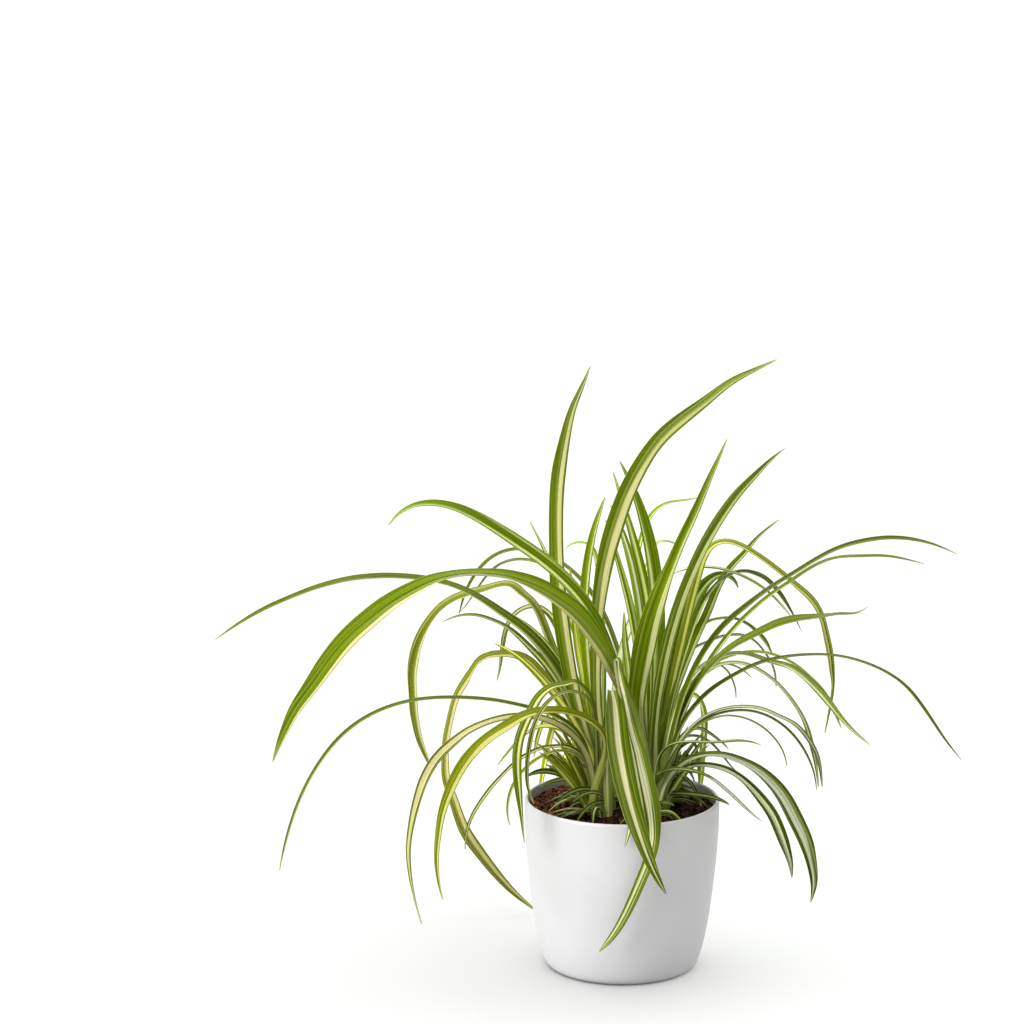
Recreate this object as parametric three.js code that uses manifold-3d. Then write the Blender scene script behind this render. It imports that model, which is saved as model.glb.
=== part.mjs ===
// Potted variegated spider plant: a plain tapering white pot, potting soil, two crowns side by side,
// and the long narrow leaves that grow out of them.
// Millimetres. The origin is the centre of the flat underside of the pot, +Z is up, and -Y is the front.
import * as THREE from "three";
import { mergeVertices } from "three/addons/utils/BufferGeometryUtils.js";
import Module from "manifold-3d";

// ---- driving dimensions
const POT_HEIGHT = 115;
const RIM_RADIUS = 65;
const FOOT_RADIUS = 46.5;
const WALL = 2.6;
const FLOOR_TOP = 4.2;
const SOIL_LEVEL = 106.9;
const SOIL_GAP = 0.35; // clearance between the soil and the inside of the pot
const CROWN_BOTTOM = 106.5;
const CROWN_TOP = 109.2;
const BLADE_MIDDLE = 0.5; // leaf thickness along the midrib
const BLADE_EDGE = 0.42; // leaf thickness at the margins
const CHANNEL = 0.15; // how far the margins stand up from the midrib, as a share of the leaf's width
const POT_SEGMENTS = 64;
const SOIL_SEGMENTS = 40;

const wasm = await Module();
wasm.setup();

function material(color, roughness) {
  return new THREE.MeshStandardMaterial({ color, roughness, metalness: 0 });
}

// A mesh from an indexed list of corners.
function solid(vertices, faces) {
  const g = new THREE.BufferGeometry();
  g.setAttribute("position", new THREE.Float32BufferAttribute(vertices, 3));
  g.setIndex(faces);
  g.computeVertexNormals();
  return g;
}

function toManifold(geometry) {
  const g = geometry.clone();
  g.deleteAttribute("normal");
  g.deleteAttribute("uv");
  const m = mergeVertices(g, 1e-4);
  return new wasm.Manifold(
    new wasm.Mesh({
      numProp: 3,
      vertProperties: new Float32Array(m.attributes.position.array),
      triVerts: new Uint32Array(m.index.array),
    }),
  );
}

// The bodies of a list, joined into the one body that they grow from.
function joined(geometries) {
  let all = toManifold(geometries[0]);
  for (const g of geometries.slice(1)) all = wasm.Manifold.union(all, toManifold(g));
  let best = null;
  for (const body of all.decompose())
    if (!best || body.volume() > best.volume()) best = body;
  const m = best.getMesh();
  const v = [];
  for (let i = 0; i < m.numVert; i++)
    v.push(m.vertProperties[i * m.numProp], m.vertProperties[i * m.numProp + 1], m.vertProperties[i * m.numProp + 2]);
  return solid(v, Array.from(m.triVerts));
}

// A turned body. Each profile point is [radius, height]; the first and the last one lie on the axis.
// heightAt, if given, lifts the points from index `from` on.
function turned(profile, segments, heightAt, from) {
  const v = [];
  const f = [];
  const ring = [];
  profile.forEach(([r, z], i) => {
    const start = v.length / 3;
    const n = r === 0 ? 1 : segments;
    for (let k = 0; k < n; k++) {
      const a = (2 * Math.PI * k) / segments;
      const x = r * Math.cos(a);
      const y = r * Math.sin(a);
      v.push(x, y, heightAt && i >= from ? heightAt(x, y, z) : z);
    }
    ring.push([start, n]);
  });
  for (let i = 0; i + 1 < ring.length; i++) {
    const [a, na] = ring[i];
    const [b, nb] = ring[i + 1];
    for (let k = 0; k < segments; k++) {
      const l = (k + 1) % segments;
      if (na === 1) f.push(a, b + l, b + k);
      else if (nb === 1) f.push(a + k, a + l, b);
      else f.push(a + k, a + l, b + l, a + k, b + l, b + k);
    }
  }
  return solid(v, f);
}

// ---- leaves
// A leaf is a channelled ribbon. Each station is
// [x, y, z, width, side x, side y, side z]: a point of the midrib, the width there
// and the direction from the midrib to the right margin.
function ribbon(stations) {
  const n = stations.length;
  const P = stations.map((s) => new THREE.Vector3(s[0], s[1], s[2]));
  const along = [];
  for (let i = 0; i < n; i++) {
    const d = new THREE.Vector3();
    if (i > 0) d.add(P[i].clone().sub(P[i - 1]).normalize());
    if (i + 1 < n) d.add(P[i + 1].clone().sub(P[i]).normalize());
    along.push(d.normalize());
  }
  const v = [];
  const f = [];
  stations.forEach((s, i) => {
    const T = along[i];
    const S = new THREE.Vector3(s[4], s[5], s[6]);
    S.addScaledVector(T, -S.dot(T)).normalize();
    const N = new THREE.Vector3().crossVectors(S, T);
    const w = s[3];
    const put = (side, lift) => {
      const q = P[i].clone().addScaledVector(S, (side * w) / 2).addScaledVector(N, lift);
      v.push(q.x, q.y, q.z);
    };
    put(-1, CHANNEL * w + BLADE_EDGE / 2);
    put(0, BLADE_MIDDLE / 2);
    put(1, CHANNEL * w + BLADE_EDGE / 2);
    put(-1, CHANNEL * w - BLADE_EDGE / 2);
    put(0, -BLADE_MIDDLE / 2);
    put(1, CHANNEL * w - BLADE_EDGE / 2);
  });
  const loop = [0, 1, 2, 5, 4, 3];
  for (let i = 0; i + 1 < n; i++)
    for (let k = 0; k < 6; k++) {
      const a = 6 * i;
      const p = loop[k];
      const q = loop[(k + 1) % 6];
      // the two faces of the blade are split along the same lines, so that a twisted leaf keeps its thickness
      if (k === 3 || k === 4) f.push(a + p, a + 6 + p, a + q, a + q, a + 6 + p, a + 6 + q);
      else f.push(a + p, a + 6 + q, a + q, a + p, a + 6 + p, a + 6 + q);
    }
  f.push(0, 4, 3, 0, 1, 4, 1, 5, 4, 1, 2, 5);
  const e = 6 * (n - 1);
  f.push(e, e + 3, e + 4, e, e + 4, e + 1, e + 1, e + 4, e + 5, e + 1, e + 5, e + 2);
  const g = solid(v, f);
  if (toManifold(g).volume() > 0) return g;
  for (let i = 0; i < f.length; i += 3) [f[i + 1], f[i + 2]] = [f[i + 2], f[i + 1]];
  return solid(v, f);
}

const LEAF_COLOURS = {
  olive: 0x8a9357,
  fresh: 0x86a057,
  dark: 0x5d7145,
  cream: 0xb9b98a,
  yellow: 0xa9a75c,
  deep: 0x66794a,
  pale: 0x8f9672,
};

// node name, leaf colour, then one list of stations for each leaf that grows from the same base
const LEAVES = [
  ["leaf_upright_1", "olive", [
    [
      [-11.85, 2.28, 109.8, 3.02, 0.979, 0.085, 0.185],
      [-13.19, 4.1, 118.04, 3.68, 0.968, 0.105, 0.229],
      [-21.34, 6.5, 145.38, 6.89, 0.957, -0.094, 0.276],
      [-28.13, 5.99, 170.34, 8.53, 0.906, -0.327, 0.267],
      [-33.41, 8.59, 192.93, 10.4, 0.904, -0.351, 0.244],
      [-36.83, 11, 210.38, 11.23, 0.904, -0.369, 0.216],
      [-39.84, 13.99, 229.64, 11.86, 0.902, -0.392, 0.183],
      [-42.87, 19.18, 259.55, 11.79, 0.895, -0.422, 0.142],
      [-43.69, 22.84, 278.93, 11.02, 0.891, -0.442, 0.102],
      [-43.98, 27.04, 299.78, 10.86, 0.895, -0.441, 0.059],
      [-43.73, 30.43, 315.38, 10.63, 0.914, -0.405, 0.007],
      [-42.55, 34.07, 331.34, 10.01, 0.953, -0.294, -0.076],
      [-38.81, 39.05, 352.22, 7.39, 0.949, -0.278, -0.15],
      [-34.12, 43.16, 370.55, 5.05, 0.939, -0.25, -0.238],
      [-27.93, 45.67, 385.16, 3.25, 0.875, -0.392, -0.283],
      [-22.7, 46.76, 398.4, 0.88, 0.684, -0.693, -0.226],
    ],
  ]],
  ["leaf_upright_2", "olive", [
    [
      [-7.74, -5.18, 109.8, 3.34, 0.986, 0.055, 0.156],
      [-11.77, -5.9, 135.65, 7, 0.988, 0.072, 0.137],
      [-15.6, -6.44, 167.99, 8.37, 0.928, -0.365, 0.07],
      [-17.08, -7.15, 196.87, 8.46, 0.863, -0.505, 0.001],
      [-16.75, -8, 225.75, 9.2, 0.84, -0.54, -0.059],
      [-15.08, -9.14, 249.14, 10.8, 0.812, -0.569, -0.129],
      [-11.51, -11.18, 274.02, 13.79, 0.77, -0.604, -0.207],
      [-7.63, -13.26, 291.43, 15.31, 0.722, -0.633, -0.28],
      [-3.07, -15.63, 306.72, 15.64, 0.667, -0.658, -0.35],
      [3.82, -19.49, 326.4, 15.11, 0.582, -0.698, -0.418],
      [13.42, -23.91, 345.96, 14.02, 0.481, -0.735, -0.477],
      [24.73, -29.17, 363.52, 12.66, 0.402, -0.745, -0.532],
      [39.4, -35.24, 378.37, 11.1, 0.325, -0.748, -0.578],
      [54.72, -41.54, 391.95, 9.24, 0.201, -0.798, -0.569],
      [68.39, -46.77, 403.97, 7.16, 0.134, -0.828, -0.545],
      [83.35, -50.42, 412.83, 4.61, 0.092, -0.88, -0.465],
      [96.72, -51.88, 420.02, 0.95, 0.144, -0.843, -0.519],
    ],
  ]],
  ["leaf_upright_3", "olive", [
    [
      [-10.28, 8.24, 109.8, 2.35, 0.989, 0.051, 0.142],
      [-14.79, 10.36, 139.69, 4.91, 0.975, -0.151, 0.162],
      [-20.08, 14.64, 171.6, 5.47, 0.908, -0.371, 0.192],
      [-23.83, 20.59, 201.37, 6.24, 0.905, -0.389, 0.171],
      [-25.58, 28.29, 232.75, 7.03, 0.899, -0.422, 0.117],
      [-24.75, 34.19, 255.34, 7.01, 0.888, -0.457, 0.043],
      [-21.99, 39.27, 276.1, 6.06, 0.866, -0.498, -0.049],
      [-17.52, 42.79, 294.98, 4.18, 0.824, -0.543, -0.158],
      [-12.38, 44.04, 310.35, 0.94, 0.794, -0.57, -0.214],
    ],
  ]],
  ["leaf_upright_4", "olive", [
    [
      [18.53, 10.52, 109.8, 3.03, 0.999, -0.021, -0.046],
      [19.71, 11.63, 134.7, 6.94, 0.997, 0.055, -0.051],
      [20.76, 11.23, 153.32, 7.71, 0.959, 0.278, -0.057],
      [21.86, 12.34, 173.29, 8.37, 0.91, 0.407, -0.079],
      [22.66, 14.72, 192.93, 9.24, 0.903, 0.423, -0.078],
      [22.97, 17.61, 214.31, 10.03, 0.898, 0.437, -0.054],
      [22.56, 19.98, 232.13, 10.54, 0.891, 0.453, -0.019],
      [21.35, 22.28, 249.94, 10.83, 0.88, 0.475, 0.029],
      [18.01, 25.28, 274.72, 10.36, 0.856, 0.508, 0.093],
      [13.29, 27.51, 295.7, 8.45, 0.822, 0.543, 0.172],
      [5.96, 29.29, 317.91, 5.39, 0.769, 0.583, 0.262],
      [-2.98, 29.84, 337.68, 0.95, 0.73, 0.612, 0.305],
    ],
  ]],
  ["leaves_back_centre_upright", "olive", [
    [
      [17.54, 12.52, 109.8, 2.69, 1, -0.011, -0.018],
      [18.01, 13.56, 135.48, 5.56, 0.993, 0.109, -0.033],
      [18.67, 16.26, 157.03, 5.85, 0.941, 0.33, -0.081],
      [19.12, 20.21, 178.21, 6.44, 0.899, 0.426, -0.102],
      [19, 23.99, 199.42, 6.92, 0.894, 0.441, -0.076],
      [18.03, 27.28, 218.87, 7.31, 0.886, 0.463, -0.028],
      [16.17, 31.35, 236.22, 7.85, 0.872, 0.489, 0.03],
      [12.82, 36.03, 255.06, 7.66, 0.85, 0.519, 0.095],
      [7.82, 39.51, 275.71, 6.63, 0.827, 0.541, 0.153],
      [-0.04, 43.11, 303.11, 4.18, 0.808, 0.556, 0.194],
      [-7.3, 45.42, 327.03, 0.93, 0.801, 0.559, 0.212],
    ],
    [
      [17.94, 12.52, 109.8, 1.68, 0.998, 0.015, 0.056],
      [16, 12.97, 144.13, 4.28, 0.946, 0.323, 0.029],
      [15.25, 14.58, 165.89, 4.72, 0.865, 0.5, -0.037],
      [14.18, 20.14, 195.95, 5.88, 0.861, 0.503, -0.068],
      [13.25, 23.85, 211.62, 6.48, 0.858, 0.509, -0.066],
      [11.67, 28.62, 228.77, 7.31, 0.854, 0.518, -0.057],
      [8.68, 35.6, 248.81, 7.72, 0.846, 0.531, -0.043],
      [4.14, 43.65, 268.23, 7.28, 0.829, 0.559, 0.015],
      [-2.29, 50.34, 287.31, 4.45, 0.788, 0.605, 0.115],
      [-5.56, 52.01, 295.23, 2.9, 0.741, 0.637, 0.212],
      [-9.18, 52.79, 303.12, 0.93, 0.716, 0.651, 0.251],
    ],
  ]],
  ["leaf_upright_5", "dark", [
    [
      [17.42, 8.11, 109.8, 2.69, 0.997, 0.022, 0.077],
      [15.64, 9.44, 132.77, 5.06, 0.979, 0.192, 0.073],
      [13.86, 7.96, 155.25, 4.86, 0.887, 0.457, 0.067],
      [12.89, 8.24, 169.84, 4.88, 0.852, 0.523, 0.029],
      [10.3, 11.5, 201.93, 5.55, 0.843, 0.537, 0.031],
      [6.72, 14.7, 228.41, 6.35, 0.824, 0.562, 0.071],
      [3.95, 16.29, 242.42, 6.43, 0.806, 0.581, 0.116],
      [-0.36, 18.04, 259.8, 5.62, 0.786, 0.598, 0.156],
      [-6.33, 19.55, 280.54, 3.69, 0.768, 0.611, 0.192],
      [-12.1, 20.07, 299.57, 0.9, 0.761, 0.614, 0.209],
    ],
  ]],
  ["leaf_upright_6", "fresh", [
    [
      [21.2, -12.06, 109.8, 3, 0.991, 0.045, 0.129],
      [19.47, -12.97, 123.21, 4.3, 0.986, 0.063, 0.156],
      [17.18, -12.25, 135.18, 5.37, 0.985, 0.045, 0.168],
      [14.75, -11.47, 150.54, 6.6, 0.99, -0.074, 0.117],
      [9.91, -12.84, 175.01, 10.23, 0.984, -0.175, 0.018],
      [10.91, -16.36, 199.83, 13.07, 0.964, -0.243, -0.111],
      [15.05, -21.54, 226.24, 16.18, 0.918, -0.316, -0.241],
      [21.53, -27.85, 251.84, 13.68, 0.863, -0.368, -0.345],
      [30.95, -36.02, 279.78, 9.14, 0.663, -0.608, -0.437],
      [39.65, -44.98, 303.84, 7.54, 0.619, -0.623, -0.479],
      [48.01, -54.55, 325.08, 6.68, 0.589, -0.643, -0.49],
      [55.56, -63.43, 346.39, 4.88, 0.582, -0.673, -0.457],
      [60.62, -67.63, 359.64, 3.04, 0.598, -0.708, -0.376],
      [65.18, -69.44, 371.8, 0.85, 0.605, -0.728, -0.323],
    ],
  ]],
  ["leaf_upright_7", "fresh", [
    [
      [21.58, 6.51, 109.8, 3.02, 1, 0.004, 0.023],
      [21.01, 8.81, 134.46, 5.9, 0.996, -0.089, -0.006],
      [21.7, 4.22, 159.39, 6.13, 0.883, -0.462, -0.085],
      [23.63, 2.3, 181.67, 7.38, 0.843, -0.532, -0.085],
      [26.23, 2.75, 199.61, 8.26, 0.822, -0.561, -0.099],
      [29.78, 4.44, 217.09, 8.92, 0.801, -0.586, -0.126],
      [33.81, 6.33, 232.57, 9.21, 0.778, -0.609, -0.156],
      [39.28, 8.69, 249.46, 9.3, 0.749, -0.636, -0.186],
      [45.86, 11.39, 265.9, 9.35, 0.711, -0.67, -0.213],
      [52.52, 13.94, 280.39, 9.29, 0.652, -0.724, -0.224],
      [61.02, 16.69, 295.75, 9.33, 0.603, -0.762, -0.238],
      [67.62, 18.63, 306.07, 8.92, 0.581, -0.767, -0.272],
      [77.06, 21.01, 318.75, 7.74, 0.556, -0.769, -0.316],
      [86.9, 22.85, 329.44, 5.95, 0.489, -0.806, -0.333],
      [97.13, 24.26, 339.8, 3.86, 0.361, -0.886, -0.29],
      [106.53, 24.84, 348.17, 0.89, 0.198, -0.968, -0.156],
    ],
  ]],
  ["leaf_upright_8", "yellow", [
    [
      [25.26, 16.99, 109.8, 2.7, 1, -0.003, -0.005],
      [25.88, 17.93, 132.82, 5.15, 0.998, -0.035, -0.051],
      [29.63, 21.24, 164.75, 5.57, 0.88, -0.473, -0.05],
      [33.14, 25.17, 183.65, 6.17, 0.784, -0.621, -0.006],
      [38.83, 32.23, 208.85, 7.27, 0.745, -0.667, -0.013],
      [43.72, 36.22, 229.35, 7.44, 0.709, -0.702, -0.063],
      [46.69, 37.41, 241.51, 7.49, 0.684, -0.72, -0.116],
      [51.63, 37.89, 260.75, 7.08, 0.645, -0.752, -0.136],
      [55.04, 38.78, 270.84, 7.49, 0.526, -0.836, -0.155],
      [58.81, 39.67, 276.39, 7.93, 0.375, -0.909, -0.18],
      [61.22, 40.17, 278.27, 7.71, 0.281, -0.938, -0.201],
      [65.49, 41.02, 279.75, 7.76, 0.205, -0.956, -0.208],
      [71.97, 42.29, 279.21, 8.67, 0.135, -0.963, -0.235],
      [78.24, 43.6, 276.67, 8.68, 0.082, -0.965, -0.248],
      [87.11, 45.59, 271.21, 8.57, 0.031, -0.962, -0.271],
      [98.28, 48.2, 262.82, 8.46, -0.023, -0.957, -0.288],
      [107.36, 50.49, 255.11, 8.36, -0.08, -0.951, -0.298],
      [116.56, 52.79, 246.86, 8.24, -0.172, -0.93, -0.324],
      [126.04, 55.17, 237.94, 8.11, -0.301, -0.887, -0.35],
      [132.47, 57.2, 227.17, 7.59, -0.423, -0.836, -0.349],
      [136.18, 58.88, 214.88, 7.12, -0.537, -0.777, -0.329],
      [138.73, 60.22, 204.27, 6.71, -0.63, -0.721, -0.288],
      [140.41, 61.27, 195.55, 6.21, -0.687, -0.691, -0.224],
      [141.54, 62.14, 186.67, 5.17, -0.725, -0.675, -0.137],
      [142.39, 62.82, 177.37, 3.29, -0.666, -0.744, -0.045],
      [141.86, 63.46, 168.76, 2.65, -0.8, -0.596, 0.065],
      [137.82, 64.03, 142.68, 0.8, -0.872, -0.474, 0.125],
    ],
  ]],
  ["leaf_upright_9", "dark", [
    [
      [22.74, 13.2, 109.8, 2.36, 0.999, -0.015, -0.049],
      [24.02, 14.05, 133.42, 4.51, 0.971, -0.22, -0.089],
      [26.26, 14.24, 148.04, 4.58, 0.859, -0.496, -0.124],
      [29.02, 14.8, 160.62, 5.15, 0.805, -0.579, -0.126],
      [35.61, 18.53, 182.83, 6.09, 0.78, -0.616, -0.109],
      [45.41, 28.15, 208.16, 6.94, 0.78, -0.62, -0.081],
      [50.2, 34.49, 218.46, 7.11, 0.786, -0.615, -0.06],
      [57.68, 45.98, 232.25, 7.1, 0.774, -0.631, -0.063],
      [65.34, 55.85, 247.98, 6.25, 0.723, -0.69, -0.048],
      [73.17, 60.6, 259.07, 5.68, 0.712, -0.69, -0.128],
      [81.27, 64.33, 267.32, 4.51, 0.688, -0.68, -0.252],
      [88.95, 68.08, 276.02, 3.21, 0.58, -0.767, -0.275],
      [97.28, 70.63, 283.64, 2, 0.525, -0.751, -0.4],
      [105.09, 71.76, 289.69, 0.85, 0.529, -0.675, -0.515],
    ],
  ]],
  ["leaf_upright_10", "dark", [
    [
      [21.3, 18.62, 109.8, 3.04, 0.996, -0.038, -0.085],
      [23.11, 20.28, 130.02, 5.64, 0.985, -0.14, -0.103],
      [24.91, 21.34, 142.64, 6.55, 0.957, -0.264, -0.123],
      [27.73, 23.26, 158.59, 7.33, 0.926, -0.362, -0.109],
      [30.94, 27.24, 173.77, 8.86, 0.924, -0.373, -0.085],
      [35.11, 34.26, 191.53, 10.11, 0.931, -0.361, -0.06],
      [39.96, 44.46, 211.76, 11.11, 0.933, -0.357, -0.055],
      [43.87, 52.17, 225.19, 11.7, 0.912, -0.398, -0.096],
      [48.26, 58.26, 235, 12.02, 0.868, -0.467, -0.17],
      [52.4, 62.49, 241.47, 12.38, 0.809, -0.534, -0.246],
      [56.39, 65.62, 246.15, 11.97, 0.732, -0.6, -0.323],
      [59.88, 67.75, 249, 11.26, 0.616, -0.671, -0.414],
      [63.83, 69.63, 250.77, 9.94, 0.432, -0.741, -0.514],
      [68.03, 71.24, 250.91, 7.88, 0.176, -0.787, -0.592],
      [72.02, 72.57, 249.39, 5.52, -0.131, -0.779, -0.613],
      [75.29, 73.54, 246.54, 3.35, -0.468, -0.713, -0.522],
      [78.02, 74.25, 241.33, 1.08, -0.695, -0.569, -0.438],
    ],
  ]],
  ["leaf_upright_11", "cream", [
    [
      [-6.03, 14.15, 109.8, 2.36, 0.998, 0.024, 0.053],
      [-6.07, 14.67, 134.61, 4.59, 0.997, -0.053, 0.051],
      [-6.17, 15.48, 149.19, 4.39, 0.946, -0.318, 0.066],
      [-5.49, 18.93, 173.99, 4.64, 0.857, -0.511, 0.068],
      [-2.83, 26.06, 195.72, 5.48, 0.791, -0.612, 0.024],
      [2.32, 32.16, 215.36, 6.67, 0.704, -0.709, -0.029],
      [9.11, 37.07, 230.9, 9.11, 0.59, -0.803, -0.082],
      [15.68, 39.85, 240.99, 10.79, 0.444, -0.886, -0.137],
      [23.51, 41.61, 249.66, 10.7, 0.227, -0.97, -0.085],
      [30.95, 42.89, 256.56, 9.39, 0.099, -0.995, -0.004],
      [42.48, 43.98, 260.97, 7.62, 0.052, -0.994, 0.093],
      [52.87, 44.37, 262.18, 7.69, 0.06, -0.991, 0.122],
      [64.84, 43.38, 261.33, 7.68, 0.088, -0.99, 0.11],
      [80.12, 41.14, 256.6, 7.65, 0.14, -0.988, 0.059],
      [95.3, 40.14, 247.62, 6.56, 0.149, -0.989, 0.006],
      [105.26, 38.75, 238.22, 4.83, 0.021, -0.996, -0.084],
      [114.24, 36.54, 227.86, 1.19, -0.244, -0.93, -0.274],
    ],
  ]],
  ["leaf_upright_12", "dark", [
    [
      [23.82, 11.09, 109.8, 2.36, 0.996, -0.034, -0.08],
      [26.15, 11.17, 136.03, 4.6, 0.949, -0.299, -0.1],
      [29.83, 11.19, 159.7, 3.69, 0.571, -0.82, -0.043],
      [34.78, 10.91, 183.16, 4.76, 0.47, -0.882, 0.031],
      [40.85, 15.61, 204.9, 5.61, 0.44, -0.892, 0.103],
      [47.23, 24.74, 223.41, 5.97, 0.444, -0.879, 0.174],
      [52.79, 31.92, 236.83, 6.57, 0.447, -0.857, 0.257],
      [59.78, 40.09, 247.19, 8.04, 0.438, -0.846, 0.304],
      [68.38, 47.34, 254.07, 8.61, 0.409, -0.862, 0.299],
      [75.92, 51.83, 256.93, 10.12, 0.399, -0.877, 0.267],
      [82.26, 54.87, 256.75, 11.55, 0.425, -0.886, 0.187],
      [88.04, 57.69, 254.69, 12.04, 0.433, -0.901, 0.015],
      [94.49, 61.35, 250.81, 11.28, 0.353, -0.918, -0.182],
      [100.67, 65.63, 244.36, 9.49, 0.15, -0.927, -0.344],
      [108.27, 70.69, 234.03, 7.3, -0.015, -0.93, -0.368],
      [116.61, 75.41, 220.5, 3.93, 0.091, -0.977, -0.192],
      [121.98, 77.15, 209.72, 0.8, 0.01, -0.988, -0.156],
    ],
  ]],
  ["leaves_back_right_arching", "dark", [
    [
      [18.53, 24.07, 109.8, 1.35, 0.991, 0.046, 0.128],
      [15.54, 23.38, 133.15, 3.03, 0.993, 0.042, 0.113],
      [14.07, 23.82, 147.84, 3.26, 0.958, -0.269, 0.104],
      [12.93, 26.04, 163.94, 3.33, 0.896, -0.423, 0.137],
      [12.16, 30.06, 179.54, 3.39, 0.848, -0.495, 0.191],
      [11.36, 38.12, 201.35, 3.71, 0.845, -0.481, 0.234],
      [10.33, 48.66, 224.09, 3.86, 0.847, -0.459, 0.269],
      [9.19, 62.35, 249.27, 3.96, 0.834, -0.483, 0.266],
      [10.43, 72.5, 266.05, 4.21, 0.803, -0.552, 0.224],
      [12.43, 78.17, 274.88, 4.51, 0.769, -0.615, 0.175],
      [15.01, 82.85, 281.93, 4.75, 0.721, -0.682, 0.122],
      [18.85, 87.38, 288.3, 4.93, 0.646, -0.761, 0.066],
      [23.11, 90.76, 292.34, 4.77, 0.558, -0.83, 0.01],
      [28.42, 93.87, 294.91, 4.52, 0.469, -0.882, -0.036],
      [34.37, 96.58, 296.08, 4.19, 0.371, -0.926, -0.07],
      [45, 99.98, 297.08, 2.83, 0.253, -0.964, -0.086],
      [52.01, 101.11, 298.74, 1.03, 0.189, -0.978, -0.091],
    ],
    [
      [18.07, 24, 109.8, 1.35, 1, 0.006, 0.028],
      [17.48, 25.01, 131.01, 2.95, 0.997, -0.075, 0.028],
      [17.26, 26.86, 145.43, 3.36, 0.925, -0.372, 0.079],
      [17.15, 30.26, 159.33, 3.32, 0.847, -0.506, 0.165],
      [17.06, 36.01, 174.23, 3.25, 0.806, -0.536, 0.253],
      [16.78, 45.14, 191.52, 3.22, 0.808, -0.498, 0.315],
      [16.07, 56.8, 209.45, 3.21, 0.81, -0.459, 0.365],
      [14.59, 75.22, 233.54, 3.27, 0.805, -0.464, 0.37],
      [15.6, 87.71, 248.39, 3.54, 0.783, -0.54, 0.308],
      [19.58, 98.53, 261.14, 3.95, 0.722, -0.656, 0.22],
      [21.77, 101.45, 264.37, 4.4, 0.648, -0.751, 0.127],
      [24.96, 104.1, 266.31, 4.32, 0.57, -0.82, 0.047],
      [28.78, 106.48, 266.51, 4.21, 0.486, -0.873, -0.041],
      [33.88, 109.09, 264.74, 3.56, 0.347, -0.923, -0.164],
      [38.33, 110.94, 261.61, 2.45, 0.135, -0.961, -0.241],
      [41.61, 111.92, 257.7, 1.02, -0.038, -0.959, -0.282],
    ],
  ]],
  ["leaves_back_left_rising", "olive", [
    [
      [-12.63, 14.01, 109.8, 1.35, 1, 0.009, 0.008],
      [-12.65, 15.57, 119.35, 1.72, 1, 0.009, 0.006],
      [-12.76, 17.52, 133.58, 2.96, 0.984, 0.179, -0.01],
      [-12.78, 19.33, 142.35, 3.14, 0.952, 0.3, -0.067],
      [-12.77, 23.75, 155.95, 3.27, 0.898, 0.411, -0.155],
      [-12.78, 29.75, 170.86, 3.45, 0.864, 0.452, -0.223],
      [-13.01, 39.93, 191.57, 3.9, 0.861, 0.444, -0.25],
      [-13.82, 53.4, 212.53, 4.17, 0.857, 0.443, -0.264],
      [-16, 73.32, 237.8, 4.27, 0.851, 0.459, -0.256],
      [-19.37, 90.92, 259.3, 3.71, 0.809, 0.554, -0.197],
      [-20.91, 93.68, 262.94, 4.02, 0.729, 0.68, -0.082],
      [-22.68, 95.36, 264.78, 4.28, 0.604, 0.797, 0.025],
      [-27.75, 98.3, 266.45, 4.24, 0.461, 0.88, 0.113],
      [-31.9, 100.06, 266.19, 3.86, 0.33, 0.925, 0.187],
      [-35.78, 101.37, 264.81, 3.05, 0.169, 0.95, 0.263],
      [-38.86, 102.23, 262.29, 1.93, -0.064, 0.952, 0.3],
      [-40.17, 102.53, 260.05, 1.01, -0.208, 0.936, 0.283],
    ],
    [
      [-12.18, 14.01, 109.8, 1.35, 0.996, 0.037, 0.084],
      [-14.42, 17.45, 134.71, 3.19, 0.967, 0.242, 0.076],
      [-17.21, 20.88, 154.05, 3.67, 0.881, 0.47, 0.047],
      [-21.12, 26.01, 174.52, 4.11, 0.824, 0.566, 0.005],
      [-25.45, 32.54, 192.39, 4.48, 0.823, 0.567, -0.02],
      [-29.96, 40.01, 207.84, 4.56, 0.825, 0.564, -0.04],
      [-35.5, 49.53, 224.03, 4.61, 0.826, 0.562, -0.048],
      [-41.63, 59.88, 239.48, 4.48, 0.821, 0.57, -0.039],
      [-50.82, 73.82, 259.7, 3.7, 0.793, 0.609, 0.006],
      [-57.56, 80.97, 273, 2.29, 0.721, 0.684, 0.108],
      [-64.14, 84.07, 285.03, 0.85, 0.657, 0.735, 0.166],
    ],
    [
      [-12.15, 14.01, 109.8, 1.35, 0.995, 0.044, 0.094],
      [-13.4, 14.07, 123.12, 2.05, 0.992, 0.068, 0.108],
      [-15.3, 17.61, 136.79, 3.09, 0.972, 0.211, 0.107],
      [-18.48, 21.11, 157.95, 3.34, 0.84, 0.54, 0.044],
      [-20.78, 24.23, 171.78, 3.49, 0.759, 0.65, -0.04],
      [-23.45, 29.13, 186.91, 3.5, 0.709, 0.694, -0.128],
      [-28.51, 40.84, 214.65, 3.52, 0.713, 0.681, -0.163],
      [-33.01, 50.27, 233.49, 3.83, 0.668, 0.728, -0.157],
      [-38.48, 57.04, 244.81, 4.47, 0.595, 0.793, -0.13],
      [-42.4, 60.55, 249.61, 4.93, 0.547, 0.83, -0.106],
      [-47.15, 64.11, 253.59, 5.11, 0.513, 0.854, -0.091],
      [-55.46, 69.5, 257.69, 5.41, 0.496, 0.866, -0.066],
      [-64.6, 74.92, 259.21, 5.72, 0.495, 0.869, -0.015],
      [-73.76, 80.37, 258.18, 6.04, 0.493, 0.867, 0.068],
      [-82.22, 85.77, 254.63, 6.33, 0.453, 0.871, 0.191],
      [-88.23, 90.15, 249.87, 6.26, 0.36, 0.881, 0.307],
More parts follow.
